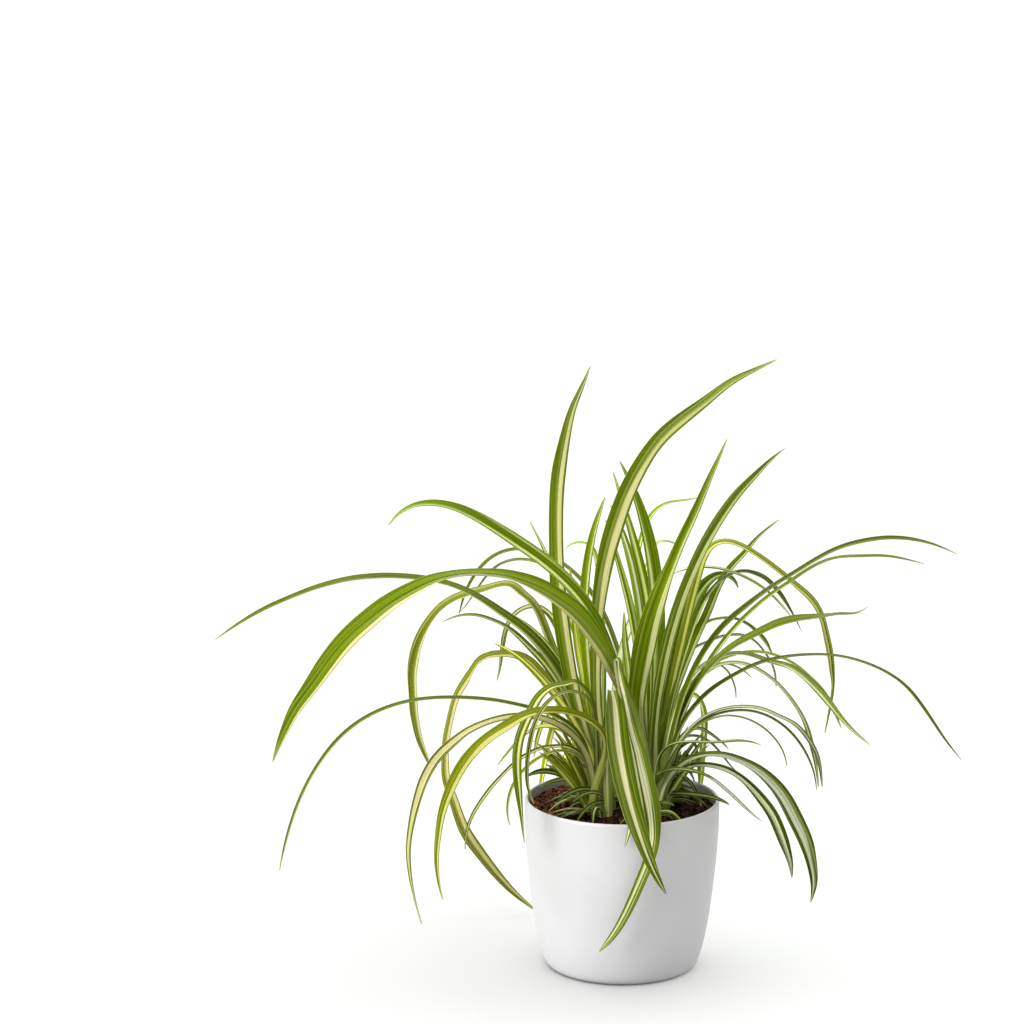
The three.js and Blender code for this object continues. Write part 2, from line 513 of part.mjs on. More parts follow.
      [-93.25, 94.29, 243.94, 5.22, 0.227, 0.895, 0.384],
      [-99.22, 99.49, 234.76, 3.77, 0.078, 0.91, 0.408],
      [-104.76, 103.62, 225.6, 2.56, 0.015, 0.934, 0.356],
      [-108.93, 105.62, 219.62, 1.84, -0.001, 0.964, 0.267],
      [-113.68, 106.66, 214.64, 1.01, 0.003, 0.979, 0.206],
    ],
  ]],
  ["leaf_right_1", "fresh", [
    [
      [28.83, -7.46, 109.8, 2.34, 0.999, -0.023, -0.044],
      [29.53, -12.75, 133.69, 4.43, 0.995, -0.06, -0.081],
      [31.49, -16.08, 152.06, 4.51, 0.881, -0.437, -0.182],
      [36, -16.42, 174.25, 5.05, 0.599, -0.764, -0.241],
      [42.84, -16.82, 195.63, 7.05, 0.401, -0.881, -0.253],
      [49.85, -17.55, 211.41, 8.8, 0.226, -0.945, -0.235],
      [58.55, -19.99, 226.64, 9.99, 0.075, -0.97, -0.231],
      [68.03, -23.18, 239.4, 10.58, -0.045, -0.976, -0.214],
      [80.56, -27.09, 251.86, 10.85, -0.124, -0.977, -0.171],
      [93.56, -30.86, 263.7, 10.98, -0.192, -0.976, -0.104],
      [111.86, -35.85, 277.34, 9.72, -0.184, -0.974, -0.135],
      [133.26, -42.04, 291.98, 8.42, -0.168, -0.966, -0.194],
      [142.61, -44.74, 296.58, 8.44, -0.19, -0.963, -0.191],
      [152.22, -47.56, 300.04, 8.28, -0.215, -0.961, -0.174],
      [167.37, -51.73, 303.5, 7.2, -0.234, -0.962, -0.142],
      [182.88, -55.63, 304.04, 5.9, -0.226, -0.966, -0.126],
      [198.3, -58.73, 301.5, 3.45, -0.185, -0.974, -0.134],
      [213.19, -60.29, 295.89, 0.97, -0.159, -0.975, -0.154],
    ],
  ]],
  ["leaf_right_2", "fresh", [
    [
      [28.7, -3.28, 109.8, 1.34, 0.999, -0.025, -0.025],
      [29.25, -2.61, 118.58, 1.68, 0.998, -0.036, -0.047],
      [30.52, -0.04, 130, 3.1, 0.993, -0.073, -0.096],
      [32.2, 0.33, 140.3, 3.79, 0.925, -0.345, -0.16],
      [37.67, -0.12, 162.74, 4.09, 0.638, -0.749, -0.181],
      [44.92, 0.12, 182.76, 5.08, 0.482, -0.86, -0.17],
      [53.41, 0.86, 200.29, 6.35, 0.355, -0.924, -0.142],
      [62.67, 1.58, 215.46, 6.59, 0.281, -0.951, -0.128],
      [73.42, 2.39, 229.64, 6.74, 0.218, -0.97, -0.108],
      [85.69, 3.46, 242.53, 6.91, 0.167, -0.982, -0.084],
      [99.3, 4.66, 253.91, 7.07, 0.13, -0.99, -0.06],
      [111.9, 5.81, 262.63, 7.2, 0.106, -0.994, -0.039],
      [125.38, 7.4, 271.41, 7.34, 0.078, -0.997, 0.013],
      [140.71, 8.85, 277.2, 7.35, 0.057, -0.993, 0.1],
      [156.61, 9.75, 278.07, 6.18, 0.074, -0.997, 0.011],
      [170.87, 10.77, 278.16, 5.28, 0.064, -0.998, 0.002],
      [181.48, 11.4, 276.91, 4.08, 0.043, -0.999, -0.008],
      [198.79, 12, 273.04, 1.02, 0.027, -0.999, -0.023],
    ],
  ]],
  ["leaf_right_3", "fresh", [
    [
      [24.71, -8.87, 109.8, 2.34, 0.995, -0.053, -0.09],
      [25.61, -8.89, 120.01, 3.04, 0.989, -0.076, -0.126],
      [29.23, -11.2, 141.28, 4.94, 0.852, -0.478, -0.213],
      [34.43, -14.48, 161.99, 5.6, 0.595, -0.759, -0.264],
      [39.9, -16.17, 178.22, 7.8, 0.392, -0.869, -0.302],
      [45.39, -18.88, 190.9, 9.02, 0.222, -0.922, -0.318],
      [51.23, -21.93, 201.48, 10.07, 0.091, -0.945, -0.313],
      [57.09, -24.79, 209.96, 10.9, -0.008, -0.957, -0.29],
      [64.93, -28.04, 218.91, 11.68, -0.083, -0.966, -0.246],
      [73.73, -31.06, 226.72, 12.64, -0.14, -0.969, -0.203],
      [81.95, -33.88, 232.05, 13.08, -0.174, -0.965, -0.197],
      [91.89, -37.28, 238.02, 13.19, -0.187, -0.954, -0.234],
      [100.45, -40.35, 242.81, 12.89, -0.21, -0.942, -0.26],
      [114.63, -45.27, 248.01, 11.66, -0.275, -0.953, -0.128],
      [128.97, -49.89, 251.5, 9.35, -0.284, -0.957, 0.058],
      [138.85, -52.15, 253.82, 6.75, -0.232, -0.966, 0.116],
      [148.85, -53.95, 254.75, 3.11, -0.142, -0.984, -0.112],
      [153.41, -54.41, 256.62, 1.83, -0.019, -0.979, -0.204],
      [157.44, -54.64, 259.5, 0.97, 0.074, -0.962, -0.261],
    ],
  ]],
  ["leaf_right_4", "fresh", [
    [
      [25.21, -4.7, 109.8, 2.34, 0.995, -0.045, -0.084],
      [26.61, -4.06, 122.61, 3.43, 0.994, -0.065, -0.089],
      [28.18, -1.47, 135.44, 4.57, 0.946, -0.313, -0.082],
      [28.99, -1.3, 142.17, 4.35, 0.857, -0.49, -0.158],
      [32.64, -4.35, 164.88, 5.22, 0.546, -0.8, -0.25],
      [37.46, -5.03, 181.5, 7.12, 0.319, -0.912, -0.259],
      [43.22, -6.09, 194.24, 7.57, 0.11, -0.964, -0.24],
      [49.12, -7.45, 203, 8.02, -0.062, -0.98, -0.189],
      [56.85, -9.22, 210.23, 8.37, -0.181, -0.98, -0.084],
      [64.63, -10.98, 214.41, 8.47, -0.218, -0.976, 0.004],
      [74.18, -13.42, 217.11, 8.9, -0.22, -0.971, 0.09],
      [84.01, -16.28, 216.6, 9.55, -0.205, -0.973, 0.109],
      [95.47, -19.9, 213.27, 10.1, -0.211, -0.973, 0.089],
      [107.6, -23.17, 210.49, 10.6, -0.273, -0.962, 0.001],
      [119.29, -28.41, 203.72, 11.05, -0.341, -0.938, -0.056],
      [129.36, -34.17, 194.79, 10.17, -0.404, -0.905, -0.135],
      [148.51, -41.88, 174.47, 5.68, -0.292, -0.95, -0.112],
      [161.18, -43.48, 164.54, 0.94, -0.32, -0.916, -0.243],
    ],
  ]],
  ["leaf_right_5", "fresh", [
    [
      [26.28, 3.44, 109.8, 1.34, 0.996, -0.051, -0.077],
      [26.86, 3.28, 117.29, 1.58, 0.992, -0.067, -0.104],
      [28.76, 2.32, 132.15, 3.23, 0.953, -0.265, -0.144],
      [30.23, 2.56, 141.18, 3.62, 0.838, -0.53, -0.133],
      [34.69, 4.39, 160.45, 4.07, 0.587, -0.805, -0.086],
      [40.76, 6.45, 177.29, 5.21, 0.435, -0.897, -0.072],
      [47.5, 8.35, 189.87, 5.72, 0.318, -0.947, -0.052],
      [54.2, 9.92, 198.19, 5.96, 0.229, -0.973, -0.02],
      [62.63, 11.6, 204.68, 6.22, 0.174, -0.984, 0.023],
      [72.38, 13.38, 208.93, 6.42, 0.163, -0.985, 0.054],
      [84.6, 15.58, 210.97, 6.6, 0.178, -0.982, 0.061],
      [96.95, 17.82, 209.51, 7.27, 0.202, -0.978, 0.053],
      [106.98, 19.75, 205.61, 7.72, 0.217, -0.976, 0.018],
      [115.89, 21.78, 200.02, 7.64, 0.194, -0.979, -0.056],
      [124.67, 24.12, 191.82, 7.44, 0.123, -0.983, -0.135],
      [132.7, 26.39, 182.71, 6.41, -0.101, -0.96, -0.262],
      [140.6, 28.6, 169.3, 3.84, -0.528, -0.768, -0.362],
      [146.89, 29.8, 155.62, 0.86, -0.555, -0.779, -0.292],
    ],
  ]],
  ["leaf_right_6", "dark", [
    [
      [27.64, -17.19, 109.8, 1.33, 0.993, -0.047, -0.109],
      [30.16, -20.38, 136.68, 3.03, 0.978, -0.143, -0.152],
      [33.95, -21.86, 157.33, 3.69, 0.817, -0.515, -0.259],
      [38.66, -21.86, 169.97, 4.23, 0.576, -0.724, -0.379],
      [45.75, -23.56, 181.76, 4.84, 0.316, -0.848, -0.426],
      [57.09, -26.94, 194.79, 6.1, 0.04, -0.931, -0.362],
      [70.57, -31.5, 205.63, 6.56, -0.178, -0.958, -0.224],
      [88.48, -37.75, 216.67, 6.63, -0.294, -0.949, -0.111],
      [105.47, -44.41, 222.96, 5.67, -0.352, -0.935, -0.034],
      [121.8, -50.92, 226.36, 5.59, -0.389, -0.918, 0.073],
      [138.11, -57.86, 227.49, 5.45, -0.403, -0.909, 0.107],
      [154.49, -65.38, 225.25, 5.28, -0.427, -0.899, 0.097],
      [168.11, -72.57, 220.79, 5.07, -0.456, -0.883, 0.112],
      [180.59, -80.14, 213.27, 4.86, -0.496, -0.861, 0.114],
      [190.39, -87.75, 203.04, 3.93, -0.565, -0.823, 0.061],
      [197.68, -93.84, 193.38, 3.26, -0.573, -0.819, 0.013],
      [204.34, -98.16, 184.34, 2.71, -0.5, -0.865, -0.032],
      [209.58, -100.3, 177.75, 2.13, -0.384, -0.92, -0.085],
      [215.5, -101.5, 170.99, 0.88, -0.322, -0.94, -0.116],
    ],
  ]],
  ["leaf_right_7", "fresh", [
    [
      [23.45, 19.95, 109.8, 1.35, 0.994, -0.044, -0.096],
      [24.26, 21.42, 130.73, 2.69, 0.958, -0.263, -0.113],
      [26.47, 23.93, 147.21, 3.07, 0.755, -0.652, -0.068],
      [29.15, 26.14, 161.57, 3.41, 0.703, -0.711, -0.003],
      [32.58, 30.14, 176.96, 3.75, 0.705, -0.706, 0.074],
      [36.59, 37.01, 193.05, 3.87, 0.699, -0.706, 0.11],
      [41.17, 43.42, 204.96, 4.25, 0.648, -0.754, 0.106],
      [47.26, 49.5, 214.13, 4.86, 0.589, -0.803, 0.087],
      [54.8, 54.88, 220.39, 5.08, 0.545, -0.835, 0.069],
      [62.99, 59.17, 222.74, 5.38, 0.524, -0.851, 0.034],
      [69.54, 62.49, 222.65, 5.72, 0.512, -0.858, -0.029],
      [75.69, 65.92, 221.49, 6.09, 0.478, -0.867, -0.143],
      [81.04, 69.2, 218.82, 6.29, 0.398, -0.878, -0.267],
      [85.75, 72.33, 215.09, 6.31, 0.259, -0.886, -0.384],
      [90.12, 75.25, 210.71, 6.01, 0.042, -0.89, -0.454],
      [99.2, 80.79, 198.79, 3.39, -0.313, -0.792, -0.525],
      [101.69, 81.81, 193.86, 2.08, -0.182, -0.893, -0.411],
      [104.69, 82.27, 191.24, 1.01, -0.125, -0.928, -0.352],
    ],
  ]],
  ["leaves_back_right_short", "fresh", [
    [
      [22.94, 21.44, 109.8, 1.35, 0.984, -0.074, -0.164],
      [25.16, 22.99, 131.73, 2.79, 0.935, -0.319, -0.153],
      [27.88, 25.58, 145.93, 3.04, 0.746, -0.666, -0.017],
      [31.91, 31.28, 162.52, 3.35, 0.669, -0.734, 0.114],
      [37.18, 40.71, 182.94, 3.64, 0.659, -0.731, 0.174],
      [40.34, 46.29, 193.4, 3.92, 0.623, -0.761, 0.184],
      [43.9, 50.52, 200.07, 4.6, 0.568, -0.806, 0.168],
      [50.33, 54.86, 204.66, 5.03, 0.532, -0.832, 0.155],
      [58.4, 59.31, 207.21, 5.25, 0.529, -0.837, 0.137],
      [67.07, 65.03, 209.27, 5.53, 0.548, -0.831, 0.098],
      [75.51, 70.88, 209.09, 5.88, 0.571, -0.821, 0.022],
      [82.34, 75.89, 207.44, 5.86, 0.553, -0.822, -0.136],
      [90.61, 82.54, 201.45, 5.45, 0.431, -0.838, -0.335],
      [96.3, 88.79, 193.47, 5.17, 0.275, -0.86, -0.43],
      [101.23, 94.35, 184.74, 3.76, -0.021, -0.873, -0.487],
      [104.52, 98.57, 175.58, 2.54, -0.463, -0.799, -0.383],
      [105.82, 101.02, 165.24, 0.8, -0.778, -0.582, -0.236],
    ],
    [
      [22.23, 21.41, 109.8, 1.02, 0.94, -0.159, -0.303],
      [27.12, 22.35, 124.46, 1.79, 0.893, -0.375, -0.249],
      [30.29, 23.87, 134.66, 2.46, 0.78, -0.615, -0.112],
      [33.12, 26.34, 144.54, 2.54, 0.678, -0.735, 0.024],
      [36.44, 30.28, 155.45, 2.61, 0.66, -0.745, 0.093],
      [39.66, 34.53, 164.15, 2.68, 0.664, -0.736, 0.133],
      [42.78, 38.76, 170.87, 2.78, 0.669, -0.725, 0.162],
      [47.19, 44.66, 178.25, 2.92, 0.671, -0.721, 0.174],
      [52.42, 51.11, 184.74, 3.18, 0.663, -0.731, 0.164],
      [56.56, 55.49, 188.16, 3.35, 0.65, -0.748, 0.133],
      [60.03, 58.71, 189.93, 3.48, 0.637, -0.766, 0.092],
      [63.74, 61.82, 190.79, 3.7, 0.617, -0.786, 0.035],
      [68.89, 65.71, 190.35, 4, 0.574, -0.817, -0.058],
      [73.88, 69.19, 188.58, 4.13, 0.494, -0.857, -0.145],
      [78.58, 72.09, 186.01, 3.66, 0.376, -0.904, -0.203],
      [83.84, 74.71, 182.12, 2.61, 0.189, -0.952, -0.24],
      [88.2, 76.04, 177.84, 1.03, 0.048, -0.963, -0.264],
    ],
    [
      [22.49, 21.41, 109.8, 1.01, 0.982, -0.088, -0.166],
      [24.79, 22.65, 122.75, 1.59, 0.974, -0.139, -0.179],
      [27.59, 25.14, 134.75, 2.39, 0.846, -0.528, -0.068],
      [30.25, 28.58, 144.36, 2.52, 0.745, -0.665, 0.061],
      [33.26, 33.19, 153.2, 2.6, 0.693, -0.704, 0.158],
      [37.92, 40.63, 163.88, 2.72, 0.697, -0.69, 0.194],
      [44.1, 50.18, 174.53, 2.86, 0.701, -0.684, 0.205],
      [49.71, 58.13, 181.85, 3.14, 0.693, -0.697, 0.186],
      [55.75, 65.06, 186.45, 3.42, 0.681, -0.721, 0.126],
      [60.54, 69.61, 187.88, 3.65, 0.676, -0.736, 0.037],
      [64.15, 72.93, 187.64, 4.04, 0.672, -0.736, -0.078],
      [67.32, 76.15, 185.93, 4.61, 0.615, -0.753, -0.235],
      [69.94, 79.22, 183.19, 4.76, 0.47, -0.794, -0.385],
      [72.78, 82.99, 178.69, 4.04, 0.194, -0.841, -0.505],
      [75.42, 86.93, 172.47, 2.8, -0.171, -0.84, -0.515],
      [77.15, 89.81, 166.28, 1.81, -0.507, -0.772, -0.384],
      [77.97, 91.6, 159.73, 0.8, -0.732, -0.628, -0.265],
    ],
    [
      [22.28, 21.3, 109.8, 1.36, 0.888, -0.232, -0.396],
      [25.91, 22.22, 117.4, 1.6, 0.908, -0.262, -0.326],
      [28.97, 24.01, 126.51, 2.25, 0.813, -0.567, -0.129],
      [30.91, 25.83, 132.4, 2.63, 0.726, -0.687, -0.007],
      [33.25, 28.44, 137.77, 3.13, 0.64, -0.76, 0.114],
      [35.51, 31.02, 141.16, 3.69, 0.646, -0.748, 0.153],
      [38.34, 34.13, 143.73, 4.13, 0.676, -0.721, 0.151],
      [44.29, 40.36, 145.56, 4.56, 0.721, -0.691, 0.052],
      [48.12, 44.5, 145.03, 4.95, 0.732, -0.68, -0.05],
      [52.99, 50.21, 142.59, 6.17, 0.695, -0.692, -0.196],
      [56.32, 54.41, 139.94, 6.84, 0.638, -0.713, -0.291],
      [60.26, 59.69, 135.75, 6.94, 0.536, -0.751, -0.385],
      [64.58, 65.51, 129.98, 6.62, 0.389, -0.81, -0.439],
      [70, 71.81, 121.8, 5.01, 0.222, -0.879, -0.421],
      [74.68, 75.22, 115.35, 2.88, 0.112, -0.945, -0.306],
      [79.48, 76.57, 110.56, 1.01, 0.064, -0.972, -0.227],
    ],
  ]],
  ["leaf_right_8", "fresh", [
    [
      [25.13, 5.06, 109.8, 1.34, 0.99, -0.056, -0.131],
      [27.91, 3.99, 131.23, 2.88, 0.971, -0.181, -0.154],
      [29.93, 4.69, 141.82, 3.24, 0.891, -0.427, -0.151],
      [35.57, 8.84, 162.01, 3.32, 0.715, -0.691, -0.103],
      [43.19, 12.82, 179.72, 3.85, 0.578, -0.809, -0.11],
      [49.73, 15.47, 190.09, 4.77, 0.458, -0.882, -0.115],
      [55.95, 17.46, 196.21, 5.2, 0.358, -0.926, -0.117],
      [63.63, 19.54, 200.29, 5.44, 0.289, -0.951, -0.114],
      [72.15, 21.7, 201.85, 5.67, 0.252, -0.959, -0.132],
      [77.33, 23.03, 201.45, 5.78, 0.225, -0.961, -0.159],
      [82.35, 24.38, 200.05, 5.86, 0.196, -0.961, -0.193],
      [92.99, 27.63, 194.18, 5.85, 0.126, -0.953, -0.276],
      [103.47, 31.47, 185.08, 5.73, 0.026, -0.939, -0.342],
      [113.12, 35.9, 172.87, 5.51, -0.117, -0.912, -0.394],
      [121.67, 40.9, 157.76, 5.22, -0.381, -0.816, -0.435],
      [126.84, 45.21, 143.34, 3.88, -0.83, -0.411, -0.377],
      [131.36, 49.9, 123.9, 2.17, -0.951, -0.213, -0.223],
      [133.46, 51.81, 108.15, 0.83, -0.987, -0.071, -0.141],
    ],
  ]],
  ["leaf_right_9", "fresh", [
    [
      [25.01, -17.99, 109.8, 1.33, 0.996, -0.043, -0.074],
      [26.19, -19.08, 123.19, 2.02, 0.988, -0.082, -0.133],
      [28.97, -21.68, 137.85, 3.3, 0.752, -0.587, -0.302],
      [33.01, -25.25, 150.45, 4.19, 0.372, -0.841, -0.392],
      [38.68, -29.75, 162.55, 5.13, 0.032, -0.93, -0.367],
      [45.27, -33.85, 172.21, 5.57, -0.181, -0.943, -0.278],
      [53.6, -37.48, 180.21, 6.63, -0.295, -0.94, -0.173],
      [62.04, -40.64, 185.28, 6.65, -0.34, -0.937, -0.083],
      [71.12, -44.33, 188.55, 6.57, -0.351, -0.936, -0.013],
      [82.57, -48.67, 190.21, 6.42, -0.346, -0.938, 0.003],
      [92.3, -52.35, 189.17, 6.23, -0.348, -0.937, 0.015],
      [101.55, -55.88, 185.98, 6, -0.362, -0.932, 0.013],
      [110.93, -58.94, 181.89, 5.79, -0.405, -0.914, -0.018],
      [119.55, -62.49, 173.29, 5.57, -0.503, -0.861, -0.082],
      [125.14, -65.13, 163.97, 4.53, -0.589, -0.802, -0.1],
      [127.86, -67.06, 153.7, 2.77, -0.764, -0.633, -0.126],
      [129.34, -68.04, 142.81, 0.8, -0.871, -0.478, -0.114],
    ],
  ]],
  ["leaf_right_10", "fresh", [
    [
      [24.39, -6.55, 109.8, 1.34, 0.99, -0.065, -0.126],
      [26.12, -5.36, 122.78, 1.93, 0.973, -0.131, -0.189],
      [30.23, -3.87, 137.37, 2.8, 0.735, -0.621, -0.272],
      [34.27, -5.44, 147.31, 3.71, 0.382, -0.841, -0.384],
      [40.55, -8.57, 158.36, 4.41, -0.041, -0.955, -0.292],
      [47.5, -11.24, 166.57, 4.63, -0.162, -0.969, -0.189],
      [54.42, -13.46, 172.13, 4.68, -0.201, -0.973, -0.109],
      [63.82, -15.96, 177, 4.72, -0.22, -0.975, -0.036],
      [73.98, -18.31, 179.73, 4.68, -0.22, -0.975, 0.013],
      [84.43, -20.6, 180.05, 4.61, -0.216, -0.976, 0.038],
      [92.95, -22.56, 178.27, 4.51, -0.22, -0.975, 0.035],
      [100.86, -24.54, 174.68, 4.38, -0.242, -0.97, 0.015],
      [109.26, -27.03, 168.48, 4.22, -0.292, -0.956, -0.018],
      [116.28, -29.47, 160.71, 3.7, -0.363, -0.93, -0.05],
      [121.79, -31.57, 151.69, 2.83, -0.457, -0.886, -0.077],
      [125.66, -33.18, 141.67, 1.79, -0.582, -0.809, -0.083],
      [127.6, -34.16, 130.93, 0.8, -0.688, -0.722, -0.077],
    ],
  ]],
  ["leaves_front_right_low", "dark", [
    [
      [19.85, -25.19, 109.8, 1, 0.975, -0.1, -0.197],
      [22.43, -25.65, 122.81, 1.46, 0.952, -0.161, -0.262],
      [26.47, -27.5, 135.19, 2.57, 0.761, -0.525, -0.381],
      [29.37, -30.08, 143.31, 2.93, 0.544, -0.681, -0.49],
      [32.67, -34.71, 151.79, 3.37, 0.192, -0.792, -0.579],
      [38.54, -44.01, 164.52, 4, -0.181, -0.822, -0.539],
      [45, -52.59, 174.83, 4.14, -0.346, -0.813, -0.468],
      [50.82, -59.05, 181.48, 4.01, -0.453, -0.802, -0.39],
      [58.71, -66.71, 187.62, 2.99, -0.546, -0.788, -0.284],
      [66.28, -73.34, 191.05, 2.83, -0.601, -0.777, -0.19],
      [72.9, -78.88, 192.34, 2.7, -0.628, -0.769, -0.119],
      [80.87, -85.45, 191.88, 2.56, -0.641, -0.766, -0.054],
      [88.39, -91.67, 189.41, 2.45, -0.64, -0.768, -0.015],
      [95.05, -97.17, 185.07, 2.03, -0.632, -0.775, -0.005],
      [99.65, -100.85, 180.04, 1.67, -0.635, -0.772, -0.03],
      [103.1, -103.39, 173.57, 1.19, -0.686, -0.725, -0.065],
      [104.73, -104.49, 167.05, 0.8, -0.742, -0.667, -0.074],
    ],
    [
      [22.66, -25.17, 109.8, 1, 0.999, 0.006, 0.035],
      [22.09, -27.1, 126.61, 1.59, 0.975, -0.22, -0.034],
      [22.11, -31.98, 140.79, 2.25, 0.738, -0.607, -0.296],
      [23.04, -35.42, 147.9, 3.07, 0.381, -0.782, -0.494],
      [25.04, -39.48, 154.73, 4.49, -0.127, -0.854, -0.505],
      [26.91, -42.18, 158.45, 5.12, -0.368, -0.828, -0.423],
      [29.34, -45.04, 161.7, 5.21, -0.513, -0.802, -0.308],
      [33.41, -49.05, 165.14, 5.02, -0.602, -0.781, -0.167],
      [39.45, -54.26, 167.91, 5.28, -0.629, -0.775, -0.051],
      [57.93, -69.2, 171.96, 5.62, -0.61, -0.792, -0.015],
      [69.4, -77.73, 175.35, 5.47, -0.554, -0.832, -0.015],
      [74.43, -80.8, 176.49, 4.83, -0.471, -0.882, 0.015],
      [79.55, -83.24, 176.99, 3.68, -0.354, -0.934, 0.042],
      [84.99, -84.95, 176.46, 2.13, -0.213, -0.976, 0.039],
      [89.56, -85.7, 174.99, 0.95, -0.144, -0.989, 0.023],
    ],
  ]],
  ["leaf_right_11", "yellow", [
    [
      [20.79, 15.19, 109.8, 1.35, 0.935, -0.169, -0.311],
      [27.24, 14.55, 129.27, 3.27, 0.636, -0.743, -0.209],
      [30.82, 15.39, 137.13, 3.76, 0.601, -0.797, -0.064],
      [33.26, 17.51, 141.15, 3.8, 0.666, -0.745, 0.039],
      [37.93, 22.83, 147.02, 4.04, 0.68, -0.731, 0.058],
      [42.33, 27.19, 150.98, 4.72, 0.637, -0.771, 0.017],
      [46.19, 30.17, 152.92, 5.48, 0.574, -0.817, -0.046],
      [48.93, 31.99, 153.31, 6.33, 0.511, -0.854, -0.1],
      [51.67, 33.62, 152.87, 6.99, 0.439, -0.885, -0.155],
      [56.83, 36.52, 150.1, 7.24, 0.288, -0.922, -0.259],
      [63.77, 39.68, 144.49, 5.72, 0.095, -0.946, -0.311],
      [69.03, 41.17, 140, 3.1, -0.07, -0.953, -0.295],
      [72.09, 41.58, 136.59, 1.22, -0.161, -0.948, -0.274],
    ],
  ]],
  ["leaf_right_12", "cream", [
    [
      [23.8, -19.47, 109.8, 1.66, 0.981, -0.087, -0.173],
      [25.63, -20.63, 121.4, 2.4, 0.947, -0.162, -0.278],
      [29.65, -23.52, 132.28, 4.18, 0.658, -0.579, -0.482],
      [34.98, -26.63, 140.63, 5.91, 0.235, -0.841, -0.487],
      [40.78, -29.36, 146.48, 7.03, -0.043, -0.918, -0.394],
      [49.18, -32.8, 151.66, 8.15, -0.243, -0.94, -0.24],
      [57.05, -35.9, 153.98, 9.21, -0.334, -0.934, -0.124],
      [65.22, -39.09, 154.26, 10.57, -0.379, -0.923, -0.063],
      [74.86, -43.06, 152.29, 11.85, -0.422, -0.906, -0.03],
      [85.34, -47.77, 148.5, 12.29, -0.502, -0.862, -0.073],
      [95.93, -53.58, 141.28, 12.71, -0.615, -0.779, -0.12],
      [103.63, -58.9, 133.13, 12.56, -0.725, -0.677, -0.125],
      [111.09, -65.95, 121.07, 11.85, -0.833, -0.54, -0.12],
      [117.75, -72.72, 108.45, 10.73, -0.895, -0.439, -0.074],
      [122.4, -78.78, 94.1, 8.76, -0.904, -0.427, -0.01],
      [124.14, -82.2, 82.35, 5.59, -0.959, -0.283, -0.019],
      [122.32, -83.97, 69.89, 0.81, -0.825, -0.564, 0.043],
    ],
  ]],
  ["leaf_right_13", "cream", [
    [
      [22.58, -14.37, 109.8, 1.33, 0.978, -0.104, -0.18],
      [24.3, -14.83, 119.14, 1.71, 0.944, -0.181, -0.276],
      [27.34, -16.76, 127.33, 2.77, 0.697, -0.549, -0.461],
      [32.39, -18.33, 134.06, 4.11, 0.273, -0.846, -0.457],
      [37.62, -19.74, 138.3, 4.98, 0.01, -0.93, -0.366],
      [45.22, -22.29, 142.08, 5.91, -0.15, -0.959, -0.24],
      [51.81, -24.54, 143.65, 6.56, -0.225, -0.96, -0.169],
      [60.26, -26.38, 143.44, 7.2, -0.273, -0.954, -0.127],
      [68.51, -27.21, 141.05, 7.74, -0.317, -0.942, -0.11],
      [76.21, -28.63, 137.19, 8.27, -0.371, -0.923, -0.101],
      [83.99, -31.67, 131.12, 8.76, -0.493, -0.853, -0.172],
      [91.01, -34.73, 123.84, 9.12, -0.634, -0.741, -0.223],
      [98.32, -38.01, 114.44, 8.78, -0.747, -0.621, -0.238],
      [103.65, -41.08, 103.53, 8.16, -0.846, -0.474, -0.245],
      [107.64, -43.22, 93.58, 6.91, -0.875, -0.451, -0.179],
      [110.72, -44.65, 83.2, 4.34, -0.887, -0.451, -0.1],
      [111.86, -45.22, 74.18, 0.96, -0.907, -0.417, -0.065],
    ],
  ]],
  ["leaf_right_14", "cream", [
    [
      [21.08, -1.84, 109.8, 1.01, 0.923, -0.194, -0.333],
      [24.93, -7.71, 122.06, 1.69, 0.683, -0.579, -0.446],
      [30.82, -6.63, 128.22, 2.89, 0.193, -0.912, -0.363],
      [35.23, -5.36, 130.68, 3.32, 0.005, -0.974, -0.225],
      [40.07, -4.37, 132.37, 3.74, -0.085, -0.983, -0.161],
      [48.74, -5.14, 133.57, 3.73, -0.174, -0.978, -0.118],
      [55.52, -6.28, 131.94, 4.28, -0.261, -0.959, -0.108],
      [63.05, -7.64, 127.4, 4.37, -0.324, -0.939, -0.119],
      [79.12, -12.14, 113.98, 3.9, -0.316, -0.937, -0.147],
      [87.24, -13.75, 107.25, 2.67, -0.243, -0.956, -0.167],
      [93.05, -14.32, 103, 0.95, -0.202, -0.964, -0.173],
    ],
  ]],
  ["leaf_right_15", "dark", [
    [
      [22.37, 27.32, 109.8, 1.36, 0.976, -0.1, -0.194],
      [23.48, 29.97, 122.62, 2.22, 0.965, -0.154, -0.212],
      [25.71, 34.3, 133.29, 3.34, 0.897, -0.433, -0.085],
      [29.05, 41.93, 145.92, 3.79, 0.855, -0.516, 0.049],
      [33.13, 52.8, 160.32, 4.65, 0.83, -0.556, 0.05],
      [35.9, 56.88, 164.41, 5.38, 0.766, -0.642, -0.042],
      [39.92, 60.9, 167.19, 5.89, 0.687, -0.712, -0.145],
      [44.62, 64.82, 168.19, 6.41, 0.592, -0.754, -0.286],
      [48.1, 67.61, 167.17, 7.9, 0.416, -0.799, -0.435],
      [50.91, 70.27, 164.26, 8.1, 0.106, -0.831, -0.546],
      [52.98, 72.76, 160.25, 7.2, -0.262, -0.794, -0.549],
      [54.91, 75.77, 154.12, 6.12, -0.638, -0.646, -0.419],
      [55.94, 79.02, 145.6, 5.05, -0.886, -0.43, -0.175],
      [55.96, 82.33, 135.56, 4.34, -0.979, -0.198, 0.044],
      [55.19, 85.2, 123.72, 4.51, -0.989, -0.06, 0.133],
      [54.47, 87.8, 101.94, 3.45, -0.988, -0.017, 0.155],
      [52.02, 88.44, 87.8, 0.99, -0.985, 0.011, 0.171],
    ],
  ]],
  ["leaf_front_1", "deep", [
    [
